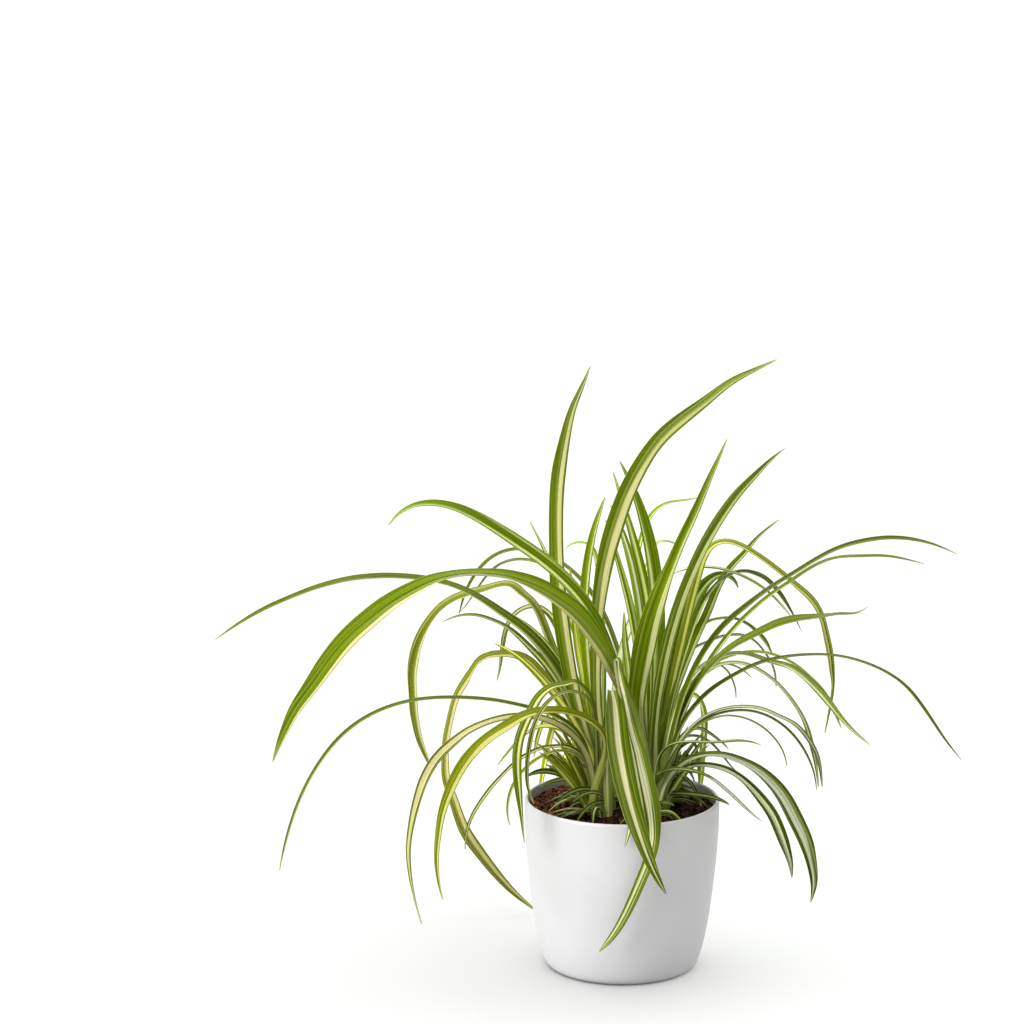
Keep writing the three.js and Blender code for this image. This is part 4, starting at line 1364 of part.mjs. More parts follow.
      [-65.22, -53.76, 117.06, 3.14, -0.784, 0.611, -0.109],
      [-63.53, -54.53, 99.11, 0.8, -0.836, 0.532, -0.132],
    ],
  ]],
  ["leaf_left_13", "cream", [
    [
      [-13.42, -17.89, 109.8, 1.33, 0.995, 0.044, 0.091],
      [-15.54, -18.36, 133.29, 2.82, 0.964, 0.251, 0.087],
      [-15.92, -18.78, 142.87, 3, 0.908, 0.394, 0.141],
      [-16.83, -28.39, 166.99, 3.31, 0.712, 0.628, 0.314],
      [-19.22, -36.64, 184.11, 4.43, 0.432, 0.778, 0.456],
      [-21.35, -40.26, 190.4, 4.87, 0.113, 0.841, 0.53],
      [-24.87, -43.95, 195.55, 5.08, -0.211, 0.871, 0.444],
      [-28.45, -46.67, 198.22, 5.11, -0.358, 0.874, 0.328],
      [-34.07, -50.2, 200.06, 5.01, -0.432, 0.882, 0.188],
      [-40.12, -53.56, 199.64, 4.84, -0.461, 0.881, 0.106],
      [-47.11, -57.49, 195.7, 5.37, -0.503, 0.861, 0.073],
      [-52.53, -61.02, 189.48, 4.83, -0.552, 0.83, 0.086],
      [-56.22, -63.3, 181.98, 4.48, -0.597, 0.789, 0.143],
      [-59.58, -64.12, 168.52, 4.07, -0.699, 0.697, 0.161],
      [-61.47, -62.76, 149.29, 3.29, -0.825, 0.563, 0.051],
      [-60.46, -61.23, 137.23, 2.06, -0.907, 0.383, -0.174],
      [-57.1, -59.82, 127.28, 0.8, -0.917, 0.251, -0.311],
    ],
  ]],
  ["leaf_left_14", "cream", [
    [
      [-17.97, -4.07, 109.8, 1.34, 0.996, 0.044, 0.078],
      [-18.94, -2.64, 121.94, 2, 0.985, 0.102, 0.137],
      [-20.71, -1.69, 130.42, 3, 0.863, 0.447, 0.237],
      [-23.16, -1.39, 136.98, 3.83, 0.636, 0.705, 0.315],
      [-26.93, -1.35, 142.94, 4.82, 0.322, 0.896, 0.306],
      [-30.87, -1.47, 146.48, 5.04, 0.102, 0.965, 0.242],
      [-37.27, -1.81, 149.33, 5.25, -0.02, 0.989, 0.149],
      [-44.34, -2.44, 149.57, 5.32, -0.064, 0.988, 0.144],
      [-51.38, -3.07, 149.04, 5.3, -0.11, 0.979, 0.17],
      [-61.25, -4.21, 145.63, 5.22, -0.169, 0.967, 0.191],
      [-69.86, -5.36, 139.96, 5.12, -0.226, 0.955, 0.193],
      [-78.38, -6.68, 131.76, 5.76, -0.23, 0.965, 0.124],
      [-86.63, -7.94, 122.71, 5.69, -0.317, 0.938, 0.142],
      [-93.86, -9.08, 112.88, 4.44, -0.445, 0.881, 0.162],
      [-99.28, -9.92, 103.8, 3.5, -0.62, 0.765, 0.174],
      [-102.88, -10.65, 93.74, 2.09, -0.809, 0.568, 0.15],
      [-104.15, -11.28, 80.69, 0.8, -0.866, 0.487, 0.11],
    ],
  ]],
  ["leaf_left_15", "yellow", [
    [
      [-15.64, -5.54, 109.8, 1.34, 0.996, 0.053, 0.078],
      [-16.42, -5.48, 119.63, 1.78, 0.982, 0.121, 0.148],
      [-18, -5.38, 126.47, 2.59, 0.836, 0.486, 0.255],
      [-20.64, -5.33, 132.94, 3.64, 0.606, 0.733, 0.308],
      [-24.27, -5.6, 138.96, 4.87, 0.304, 0.906, 0.295],
      [-27.69, -6.25, 143.01, 5.15, 0.081, 0.958, 0.276],
      [-31.82, -7.21, 146.3, 5.32, -0.074, 0.969, 0.234],
      [-36.64, -8.32, 148.25, 5.33, -0.164, 0.97, 0.178],
      [-41.8, -9.43, 148.65, 5.29, -0.21, 0.968, 0.14],
      [-50.24, -11.19, 146.73, 5.17, -0.249, 0.96, 0.131],
      [-57.92, -12.84, 142.64, 5.04, -0.307, 0.941, 0.142],
      [-64.62, -14.46, 137.04, 4.22, -0.39, 0.908, 0.151],
      [-70.02, -15.97, 130.14, 3.81, -0.504, 0.85, 0.15],
      [-73.19, -17.08, 123.81, 3.26, -0.626, 0.772, 0.114],
      [-75.41, -18.24, 115.15, 2.15, -0.783, 0.621, 0.038],
      [-75.59, -18.9, 107.89, 1.42, -0.879, 0.465, -0.1],
      [-74.3, -19.27, 100.66, 0.8, -0.918, 0.353, -0.182],
    ],
  ]],
  ["leaf_left_16", "yellow", [
    [
      [-14.89, 13.39, 109.8, 1.69, 0.993, 0.064, 0.102],
      [-15.83, 13.4, 118.14, 2.09, 0.981, 0.116, 0.154],
      [-17.84, 14.88, 126.4, 3.1, 0.892, 0.417, 0.175],
      [-20.98, 17.22, 133.88, 4.15, 0.768, 0.628, 0.124],
      [-24.22, 19.36, 139.35, 4.84, 0.678, 0.733, 0.058],
      [-29.22, 22.52, 145.25, 5.74, 0.646, 0.763, 0.024],
      [-33.95, 26.39, 148.73, 6.52, 0.64, 0.767, 0.043],
      [-39.31, 31.04, 151.01, 6.79, 0.619, 0.781, 0.085],
      [-45.08, 35.9, 152.05, 7.02, 0.584, 0.798, 0.147],
      [-49.5, 39.43, 151.91, 6.94, 0.538, 0.817, 0.206],
      [-55.3, 44, 150.39, 6.45, 0.461, 0.835, 0.301],
      [-59.32, 47.29, 148.2, 6.04, 0.368, 0.855, 0.366],
      [-64.24, 51.58, 144.26, 5.36, 0.235, 0.871, 0.431],
      [-69.75, 56.99, 138.26, 4.51, 0.074, 0.884, 0.462],
      [-75.61, 61.52, 130.77, 3.64, -0.088, 0.891, 0.445],
      [-80.95, 63.38, 123.59, 2.45, -0.218, 0.896, 0.387],
      [-85.47, 63.11, 117.79, 0.92, -0.272, 0.896, 0.351],
    ],
  ]],
  ["leaves_back_left_short", "yellow", [
    [
      [-13.63, 27.65, 109.8, 1.35, 0.984, 0.074, 0.16],
      [-15.45, 28.38, 120.66, 2.07, 0.993, 0.06, 0.106],
      [-16.07, 31.02, 130.4, 3.25, 0.984, 0.178, -0.019],
      [-16.51, 36.91, 140.62, 3.86, 0.934, 0.336, -0.119],
      [-18.23, 44.1, 150.15, 4.08, 0.869, 0.482, -0.11],
      [-21.75, 50.52, 157.47, 4.47, 0.81, 0.586, -0.018],
      [-26.24, 55.88, 162.48, 5.07, 0.757, 0.644, 0.109],
      [-30.67, 60.1, 165.01, 5.87, 0.672, 0.69, 0.268],
      [-35.45, 64.17, 164.99, 6.37, 0.476, 0.725, 0.497],
      [-38.71, 67.14, 163.18, 6.68, 0.173, 0.756, 0.632],
      [-42, 70.92, 158.91, 6.5, -0.276, 0.721, 0.635],
      [-45.49, 76.73, 148.72, 5.32, -0.626, 0.616, 0.478],
      [-49.11, 82.8, 133.99, 5.14, -0.713, 0.597, 0.368],
      [-51.95, 86.81, 120.15, 5.03, -0.756, 0.587, 0.288],
      [-54.41, 89.61, 106.16, 4.22, -0.783, 0.58, 0.227],
      [-56.96, 91.5, 90.36, 2.89, -0.795, 0.579, 0.182],
      [-59.62, 92.21, 74.49, 0.95, -0.795, 0.584, 0.164],
    ],
    [
      [-13.06, 27.58, 109.8, 1.36, 0.937, 0.145, 0.319],
      [-15.43, 29.12, 116.06, 1.72, 0.984, 0.084, 0.159],
      [-15.45, 31.36, 121.93, 2.4, 0.999, -0.017, -0.046],
      [-14.11, 37.79, 133.45, 3.61, 0.935, 0.268, -0.232],
      [-14.13, 45.11, 142.77, 3.82, 0.882, 0.407, -0.237],
      [-15.17, 48.59, 146.07, 4.18, 0.869, 0.48, -0.12],
      [-17.15, 52.19, 148.39, 4.72, 0.836, 0.546, 0.052],
      [-19.93, 55.84, 149.42, 5.61, 0.754, 0.602, 0.261],
      [-22.88, 59.45, 149.07, 6.6, 0.589, 0.639, 0.495],
      [-25.45, 63.01, 147.3, 6.83, 0.279, 0.684, 0.673],
      [-28.27, 67.53, 143.31, 6.59, -0.14, 0.692, 0.708],
      [-32.4, 74.5, 134.39, 5.68, -0.432, 0.665, 0.609],
      [-37.1, 80.84, 122.42, 5.4, -0.564, 0.662, 0.493],
      [-40.45, 84.39, 112.37, 4.84, -0.645, 0.653, 0.396],
      [-43.39, 86.95, 102.05, 4.04, -0.703, 0.637, 0.315],
      [-46.37, 88.79, 89.85, 2.75, -0.744, 0.622, 0.244],
      [-49.12, 89.53, 77.57, 0.96, -0.76, 0.615, 0.212],
    ],
    [
      [-13.81, 27.54, 109.8, 1.36, 0.982, 0.092, 0.165],
      [-15.43, 29.73, 118.26, 1.74, 0.984, 0.101, 0.144],
      [-17.1, 34.49, 127.62, 2.6, 0.932, 0.362, -0.022],
      [-19.27, 40.81, 136.61, 3.24, 0.844, 0.522, -0.123],
      [-22.33, 46.95, 143.94, 3.73, 0.796, 0.598, -0.092],
      [-26.22, 52.25, 149.45, 4.27, 0.75, 0.661, -0.016],
      [-30.34, 56.46, 153.16, 4.66, 0.695, 0.716, 0.06],
      [-35.28, 60.57, 155.82, 4.98, 0.633, 0.759, 0.149],
      [-39.37, 63.54, 156.57, 5.17, 0.555, 0.794, 0.248],
      [-43.49, 66.41, 155.85, 5.39, 0.44, 0.82, 0.366],
      [-47.19, 69.16, 153.72, 5.49, 0.261, 0.837, 0.481],
      [-50.29, 71.75, 150.52, 5.36, 0.032, 0.836, 0.547],
      [-52.82, 74.15, 146.67, 5.13, -0.196, 0.813, 0.549],
      [-55.48, 76.98, 140.99, 4.77, -0.433, 0.755, 0.493],
      [-57.83, 79.83, 133.57, 4.08, -0.631, 0.678, 0.378],
      [-59.36, 81.74, 126.06, 2.62, -0.73, 0.632, 0.26],
      [-60.69, 82.65, 118.33, 0.8, -0.754, 0.622, 0.211],
    ],
  ]],
  ["leaf_upright_13", "olive", [
    [
      [-10.83, 9.4, 109.8, 3.4, 0.992, 0.114, 0.06],
      [-11.98, 9.97, 118.78, 4.15, 0.991, 0.116, 0.067],
      [-12.63, 11.09, 122.75, 4.46, 0.988, 0.123, 0.095],
      [-15.02, 14.34, 135.31, 5.18, 0.984, 0.129, 0.124],
      [-18.12, 15.98, 148.4, 5.58, 0.976, 0.139, 0.165],
      [-20.6, 17.82, 161.06, 5.79, 0.975, 0.141, 0.173],
      [-23.02, 20.84, 173.51, 5.76, 0.977, 0.138, 0.161],
      [-25.53, 24.7, 185.88, 5.64, 0.977, 0.139, 0.163],
      [-28.08, 28.17, 198.32, 5.4, 0.976, 0.139, 0.165],
      [-30.51, 30.92, 210.98, 4.95, 0.982, 0.132, 0.137],
      [-32.09, 31.98, 224.1, 4.37, 0.987, 0.124, 0.1],
      [-33.24, 32.53, 237.38, 3.55, 0.989, 0.121, 0.089],
      [-34.39, 32.5, 250.74, 2.41, 0.989, 0.121, 0.09],
      [-35.49, 31.69, 264.24, 0.8, 0.989, 0.121, 0.089],
    ],
  ]],
  ["leaf_upright_14", "olive", [
    [
      [14.99, 6.27, 109.8, 3.4, 0.982, 0.037, 0.183],
      [13.91, 6.24, 118.64, 4.15, 0.983, 0.036, 0.182],
      [13.68, 6.23, 120.59, 4.3, 0.984, 0.035, 0.174],
      [12.48, 6.03, 131.38, 5.03, 0.985, 0.034, 0.168],
      [11.4, 5.69, 142.17, 5.53, 0.987, 0.032, 0.158],
      [9.77, 4.24, 152.96, 5.93, 0.988, 0.03, 0.149],
      [8.21, 3.1, 163.77, 6.18, 0.989, 0.029, 0.143],
      [6.67, 3, 174.62, 6.2, 0.99, 0.027, 0.137],
      [5.21, 3, 185.51, 6.2, 0.992, 0.024, 0.122],
      [3.99, 3.22, 196.42, 6.02, 0.994, 0.021, 0.105],
      [2.88, 3.93, 207.32, 5.45, 0.994, 0.021, 0.105],
      [1.64, 5.44, 218.12, 4.57, 0.996, 0.017, 0.087],
      [0.93, 7.2, 228.93, 3.08, 0.999, 0.009, 0.047],
      [0.59, 9, 239.76, 0.8, 1, 0.006, 0.03],
    ],
  ]],
  ["leaf_left_17", "yellow", [
    [
      [-16.64, 5.97, 110.25, 3.2, 0.911, 0.409, 0.056],
      [-17.83, 2.59, 119.82, 3.9, 0.908, 0.415, 0.065],
      [-18.13, 1.87, 122.31, 4.07, 0.881, 0.455, 0.128],
      [-19.48, 1.24, 133.39, 4.75, 0.857, 0.485, 0.177],
      [-21.52, 3.16, 143.34, 5.21, 0.768, 0.558, 0.314],
      [-26.4, 3.23, 153.35, 5.53, 0.689, 0.6, 0.406],
      [-31.53, 1.64, 163.51, 5.7, 0.661, 0.612, 0.434],
      [-37.27, 0.05, 173.36, 5.8, 0.629, 0.623, 0.464],
      [-43.68, -0.7, 182.64, 5.58, 0.605, 0.631, 0.486],
      [-50.7, -0.95, 191.49, 5.13, 0.602, 0.632, 0.489],
      [-58.17, -0.35, 200.04, 4.65, 0.587, 0.636, 0.501],
      [-66.4, 0.7, 207.75, 3.91, 0.543, 0.646, 0.537],
      [-75.49, 2.44, 214.18, 2.69, 0.486, 0.656, 0.577],
      [-85.47, 5.02, 218.95, 0.8, 0.455, 0.66, 0.598],
    ],
  ]],
  ["leaf_left_18", "olive", [
    [
      [-9.82, 21.46, 109.8, 3.2, 0.876, 0.445, 0.186],
      [-12.25, 21.17, 118.59, 4.06, 0.876, 0.445, 0.187],
      [-13.02, 21.17, 121.29, 4.3, 0.871, 0.45, 0.197],
      [-16.37, 21.59, 132.52, 5.1, 0.869, 0.451, 0.201],
      [-19.8, 22.01, 143.78, 5.6, 0.864, 0.456, 0.212],
      [-22.72, 22.46, 155.1, 5.94, 0.849, 0.47, 0.243],
      [-26.5, 22.68, 166.27, 6.11, 0.829, 0.485, 0.278],
      [-31.14, 23.55, 177.23, 6.2, 0.809, 0.499, 0.312],
      [-36.27, 24.09, 187.95, 6.01, 0.783, 0.513, 0.351],
      [-42, 24.84, 198.3, 5.55, 0.764, 0.523, 0.378],
      [-48.34, 26.41, 208.2, 4.94, 0.73, 0.537, 0.422],
      [-55.73, 28.3, 217.16, 4.1, 0.67, 0.558, 0.49],
      [-64.28, 30.69, 224.87, 2.85, 0.61, 0.572, 0.549],
      [-73.75, 34.01, 231.15, 0.8, 0.583, 0.576, 0.572],
    ],
  ]],
];

// small leaves at soil level: they grow out of the crowns and are one body with them
const SMALL_LEFT = [
  [
    [-13.7, -0.17, 107.6, 2.7, 0.359, 0.382, 0.852],
    [-13.7, -0.17, 114.86, 2.7, 0.359, 0.382, 0.852],
    [-21.68, 0.27, 118.5, 3.42, 0.444, 0.47, 0.763],
    [-38.4, 2.48, 127.95, 4.34, 0.388, 0.649, 0.654],
    [-46.65, 3.68, 130.64, 4.53, 0.212, 0.684, 0.698],
    [-51.78, 4.38, 131.01, 4.49, 0.06, 0.695, 0.716],
    [-56.78, 4.98, 130.24, 3.84, -0.12, 0.69, 0.714],
    [-59.93, 5.31, 129.11, 3.03, -0.239, 0.679, 0.695],
    [-64.32, 5.64, 126.55, 1.14, -0.363, 0.657, 0.661],
  ],
  [
    [-11.48, 5.85, 107.6, 2.69, 0.838, 0.238, 0.491],
    [-11.49, 7.24, 114.57, 2.69, 0.838, 0.238, 0.491],
    [-14.42, 7.67, 118.98, 2.71, 0.787, 0.301, 0.538],
    [-19.26, 8.64, 123.72, 2.77, 0.7, 0.421, 0.577],
    [-23.99, 11.13, 127.09, 3.37, 0.63, 0.508, 0.588],
    [-29.31, 14.77, 129.08, 3.7, 0.534, 0.563, 0.631],
    [-35.07, 18.51, 129.87, 3.78, 0.393, 0.612, 0.686],
    [-40.89, 21.85, 129.47, 3.53, 0.201, 0.655, 0.728],
    [-46.53, 24.32, 127.97, 2.54, -0.043, 0.685, 0.727],
    [-50.74, 25.46, 126.04, 0.93, -0.183, 0.687, 0.703],
  ],
  [
    [-11.72, -1.2, 107.6, 2.69, 0.772, 0.285, 0.568],
    [-11.89, -0.23, 114.74, 2.69, 0.772, 0.285, 0.568],
    [-15.22, -0.54, 119.01, 3.13, 0.662, 0.379, 0.646],
    [-19.49, -0.9, 122.49, 3.49, 0.473, 0.512, 0.717],
    [-24.36, -1.29, 125.07, 3.65, 0.28, 0.625, 0.728],
    [-31.17, -1.78, 127.09, 3.78, 0.087, 0.691, 0.717],
    [-37.8, -2.16, 127.56, 3.79, -0.064, 0.698, 0.713],
    [-42.87, -1.22, 126.61, 3.55, -0.17, 0.689, 0.705],
    [-49.47, -0.94, 124.37, 2.56, -0.315, 0.664, 0.678],
    [-54.09, -1.93, 122.08, 0.9, -0.394, 0.647, 0.653],
  ],
  [
    [-10.32, -4.15, 107.6, 2.68, 0.918, 0.183, 0.353],
    [-10.32, -4.27, 118.59, 2.68, 0.918, 0.183, 0.353],
    [-12.85, -5.15, 125.14, 2.72, 0.847, 0.309, 0.433],
    [-16.14, -6.65, 131.56, 3.13, 0.635, 0.526, 0.566],
    [-20.78, -8.58, 137.15, 3.75, 0.247, 0.678, 0.693],
    [-23.94, -9.42, 138.79, 3.1, 0.001, 0.689, 0.725],
    [-25.7, -9.71, 138.97, 2.7, -0.127, 0.683, 0.719],
    [-29.08, -9.95, 137.88, 1.79, -0.345, 0.664, 0.664],
    [-31.89, -9.91, 135.6, 0.9, -0.469, 0.641, 0.608],
  ],
  [
    [-10.3, -14.6, 107.6, 2.68, 0.725, 0.31, 0.615],
    [-10.3, -14.6, 117.54, 2.68, 0.725, 0.31, 0.615],
    [-13.15, -15.04, 120.92, 3.14, 0.567, 0.416, 0.711],
    [-16.34, -16.34, 123.48, 3.51, 0.261, 0.537, 0.802],
    [-20.08, -18.3, 125.34, 3.68, -0.041, 0.619, 0.784],
    [-25.67, -21.13, 126.36, 3.74, -0.292, 0.639, 0.712],
    [-31.52, -23.93, 125.7, 3.67, -0.446, 0.612, 0.653],
    [-35.79, -25.78, 124.12, 3.19, -0.534, 0.584, 0.611],
    [-39.78, -27.23, 121.64, 2.35, -0.617, 0.549, 0.564],
    [-43.36, -28.17, 118.1, 0.85, -0.678, 0.519, 0.52],
  ],
  [
    [-10.24, -15.96, 107.6, 2.01, 0.727, 0.309, 0.614],
    [-9.68, -19.52, 118.25, 2.01, 0.727, 0.309, 0.614],
    [-11.17, -19.9, 120.21, 2.29, 0.636, 0.377, 0.673],
    [-13.89, -22.27, 123.16, 2.81, 0.218, 0.521, 0.825],
    [-17.26, -25.4, 125.29, 3.02, -0.187, 0.601, 0.777],
    [-20.31, -27.7, 126.05, 2.99, -0.354, 0.607, 0.712],
    [-23.74, -29.84, 125.87, 2.92, -0.467, 0.594, 0.655],
    [-27.32, -31.63, 124.63, 2.84, -0.556, 0.572, 0.603],
    [-32.11, -33.18, 120.99, 0.85, -0.638, 0.543, 0.546],
  ],
  [
    [-9.54, -14.96, 107.6, 2.02, 0.193, 0.418, 0.888],
    [-8.66, -19.16, 116.16, 2.02, 0.193, 0.418, 0.888],
    [-10.92, -19.5, 116.82, 2.45, 0.079, 0.466, 0.881],
    [-13.51, -21.41, 117.62, 2.8, -0.23, 0.488, 0.842],
    [-16.88, -25.34, 118.22, 2.88, -0.553, 0.473, 0.686],
    [-20.35, -29.56, 117.73, 2.83, -0.706, 0.44, 0.554],
    [-22.99, -32.55, 116.41, 2.77, -0.767, 0.418, 0.487],
    [-25.56, -35.11, 114.26, 2.31, -0.8, 0.407, 0.441],
    [-29.82, -37.83, 108.71, 0.83, -0.808, 0.41, 0.423],
  ],
  [
    [-8.93, -7.87, 107.6, 2.01, 0.924, 0.198, 0.328],
    [-8.93, -7.87, 114, 2.01, 0.924, 0.198, 0.328],
    [-10.57, -8.05, 118.33, 2.69, 0.812, 0.332, 0.48],
    [-13.26, -8.46, 121.94, 2.83, 0.552, 0.523, 0.649],
    [-17.13, -9.09, 124.78, 2.97, 0.256, 0.653, 0.712],
    [-20.29, -9.63, 126.04, 3.02, 0.087, 0.688, 0.721],
    [-25.46, -10.45, 126.66, 2.89, -0.132, 0.691, 0.711],
    [-28.93, -10.93, 126.14, 2.4, -0.27, 0.674, 0.688],
    [-35.1, -11.58, 122.86, 0.89, -0.477, 0.628, 0.615],
  ],
];

const SMALL_RIGHT = [
  [
    [21.14, -10.17, 107.6, 2.69, 0.595, -0.352, -0.722],
    [21.14, -10.17, 115.44, 2.69, 0.595, -0.352, -0.722],
    [24.72, -11.41, 118.7, 2.72, 0.407, -0.426, -0.808],
    [30.02, -14.05, 121.54, 3.13, 0.053, -0.534, -0.844],
    [39.06, -18.34, 123.18, 3.71, -0.236, -0.635, -0.736],
    [58.23, -26.53, 123.34, 3.5, -0.306, -0.658, -0.688],
    [64.67, -28.41, 122.03, 2.59, -0.375, -0.644, -0.667],
    [70.88, -29.52, 119.03, 0.88, -0.455, -0.624, -0.636],
  ],
  [
    [20.26, 0.64, 107.6, 2.02, 0.929, -0.206, -0.309],
    [20.26, 0.64, 112.55, 2.02, 0.929, -0.206, -0.309],
    [23.05, 0.64, 118.86, 2.67, 0.693, -0.425, -0.583],
    [25.64, 0.58, 121.19, 2.84, 0.472, -0.552, -0.687],
    [28.74, 0.57, 122.64, 2.94, 0.287, -0.64, -0.713],
    [32.04, 0.87, 123.26, 3.01, 0.176, -0.681, -0.711],
    [36.97, 1.98, 123, 2.73, 0.064, -0.693, -0.718],
    [43.13, 3.42, 121.48, 1.9, -0.099, -0.693, -0.714],
    [47.47, 4.06, 119.81, 0.92, -0.189, -0.688, -0.7],
  ],
  [
    [20.02, -8.99, 107.6, 2, 0.996, -0.077, -0.055],
    [20.02, -8.98, 116.05, 2, 0.996, -0.077, -0.055],
    [20.35, -9.93, 120.76, 2.35, 0.947, -0.205, -0.247],
    [21.79, -11.49, 124.93, 2.7, 0.708, -0.42, -0.567],
    [24.79, -13.57, 128.68, 2.92, 0.352, -0.6, -0.718],
    [27.73, -14.57, 130.49, 2.97, 0.204, -0.662, -0.722],
    [31.16, -14.91, 131.49, 2.98, 0.121, -0.689, -0.715],
    [36.52, -14.4, 131.61, 2.55, 0.015, -0.697, -0.717],
    [41.79, -13.62, 130.66, 1.9, -0.114, -0.695, -0.71],
    [46.71, -12.62, 128.78, 0.91, -0.216, -0.687, -0.693],
  ],
  [
    [19.16, -17.72, 107.6, 2.02, -0.064, -0.421, -0.905],
    [18.98, -19.51, 116.59, 2.02, -0.064, -0.421, -0.905],
    [21.29, -20.48, 116.84, 2.51, -0.13, -0.487, -0.864],
    [29.08, -26.92, 119.31, 2.95, -0.345, -0.628, -0.698],
    [32.07, -28.32, 118.94, 2.09, -0.427, -0.621, -0.658],
    [34.56, -28.95, 117.78, 0.88, -0.458, -0.619, -0.638],
  ],
  [
    [20.53, -9.59, 107.6, 2, 0.998, -0.058, -0.028],
    [20.5, -9.37, 116.81, 2, 0.998, -0.058, -0.028],
    [21.47, -10.9, 123.55, 2.37, 0.934, -0.18, -0.309],
    [24.5, -13.09, 129.55, 2.67, 0.685, -0.375, -0.624],
    [29.13, -14.79, 133.99, 2.81, 0.318, -0.542, -0.778],
    [35.05, -16.1, 135.95, 2.83, -0.114, -0.579, -0.807],
    [39.69, -16.64, 134.86, 2.79, -0.441, -0.524, -0.729],
    [44.9, -16.61, 130.37, 2.74, -0.73, -0.404, -0.552],
    [49.52, -15.86, 122.49, 2.59, -0.883, -0.273, -0.381],
    [52.48, -20.23, 115.26, 0.8, -0.942, -0.197, -0.273],
  ],
  [
    [20.62, -5.54, 107.6, 2.01, 0.987, -0.092, -0.135],
    [20.62, -5.65, 116.44, 2.01, 0.987, -0.092, -0.135],
    [22.47, -6.33, 124.19, 2.01, 0.917, -0.195, -0.349],
    [26.02, -7.21, 131.95, 2.05, 0.794, -0.36, -0.49],
    [30.06, -7.94, 137.75, 2.11, 0.551, -0.516, -0.656],
    [34.29, -9.24, 141.23, 2.13, 0.168, -0.585, -0.793],
    [37.76, -9.71, 141.57, 2.12, -0.176, -0.574, -0.799],
    [42.18, -9.94, 138.87, 2.1, -0.574, -0.494, -0.653],
    [45.37, -10.13, 134.86, 1.85, -0.779, -0.378, -0.501],
    [48.17, -10.14, 128.68, 0.81, -0.901, -0.267, -0.341],
  ],
  [
    [21.52, -0.04, 107.6, 2.01, 0.873, -0.19, -0.449],
    [21.52, -0.12, 115.6, 2.01, 0.873, -0.19, -0.449],
    [24.52, 0.35, 121.77, 2.01, 0.9, -0.195, -0.39],
    [28.28, -0.6, 131.86, 2.02, 0.899, -0.234, -0.369],
    [34.45, -2.18, 144.95, 2.06, 0.761, -0.392, -0.517],
    [40.27, -3.27, 151.83, 2.11, 0.519, -0.526, -0.673],
    [43.21, -3.78, 153.93, 2.12, 0.276, -0.567, -0.776],
    [46.57, -4.06, 154.67, 2.13, -0.242, -0.557, -0.794],
    [48.53, -3.9, 151.99, 2.13, -0.738, -0.454, -0.499],
    [49.27, -3.04, 148.46, 2.06, -0.929, -0.278, -0.245],
    [51.3, 1.88, 123.98, 0.8, -0.99, -0.059, -0.125],
  ],
  [
    [20.22, -18.31, 107.6, 1.99, 0.949, 0.093, 0.301],
    [20.21, -18.69, 118.88, 1.99, 0.949, 0.093, 0.301],
    [18.72, -20.32, 126.21, 1.99, 1, -0.022, 0.005],
    [19.95, -23.57, 133.1, 2.03, 0.811, -0.312, -0.494],
    [22.72, -27.13, 138.05, 2.21, 0.365, -0.538, -0.76],
    [28.08, -32.54, 142.7, 2.64, -0.064, -0.608, -0.791],
    [34.62, -37.23, 145.18, 3.02, -0.21, -0.636, -0.742],
    [44.31, -42.83, 146.25, 2.93, -0.357, -0.623, -0.696],
    [52.64, -47, 145.13, 2.12, -0.43, -0.617, -0.659],
    [59.62, -49.04, 142.22, 0.87, -0.459, -0.616, -0.64],
  ],
  [
    [20.86, 3.75, 107.6, 2.01, 0.999, -0.015, 0.052],
    [20.86, 3.75, 114.4, 2.01, 0.999, -0.015, 0.052],
    [20.95, 4.33, 121.46, 2.31, 0.98, -0.121, -0.157],
    [23.22, 5.27, 128.13, 2.59, 0.865, -0.316, -0.39],
    [26.1, 6.04, 132.54, 2.77, 0.745, -0.452, -0.491],
    [31.17, 8.06, 136.99, 2.9, 0.586, -0.566, -0.58],
    [37.14, 10.14, 139.66, 2.99, 0.389, -0.638, -0.665],
    [43.26, 12.11, 140.2, 2.65, 0.151, -0.677, -0.72],
    [48.88, 13.76, 138.72, 1.93, -0.143, -0.681, -0.718],
    [53.95, 14.8, 135.46, 0.92, -0.373, -0.654, -0.658],
  ],
];

// ---- pot: outer face from the middle of the underside up to the rounded lip, then down the inside
const potProfile = [
  [0, 0],
  [FOOT_RADIUS, 0],
  [48.7, 0.6],
  [50.4, 2.1],
  [51.8, 4.4],
  [53, 7.6],
  [54.3, 12],
  [55.8, 18],
  [57.2, 25],
  [59.6, 40],
  [62, 60],
  [63.6, 77],
  [64.6, 93],
  [RIM_RADIUS, 106],
  [RIM_RADIUS, POT_HEIGHT - 2],
  [64.7, POT_HEIGHT - 0.8],
  [64.1, POT_HEIGHT - 0.15],
  [63.5, POT_HEIGHT],
  [62.9, POT_HEIGHT - 0.3],
  [62.5, POT_HEIGHT - 1.1],
  [RIM_RADIUS - WALL, POT_HEIGHT - 2.4],
  [62.3, 104],
  [61.2, 84],
  [59.4, 60],
  [57, 40],
  [54.6, 25],
  [51.9, 13],
  [48.5, 6.6],
  [44, FLOOR_TOP],
  [0, FLOOR_TOP],
];

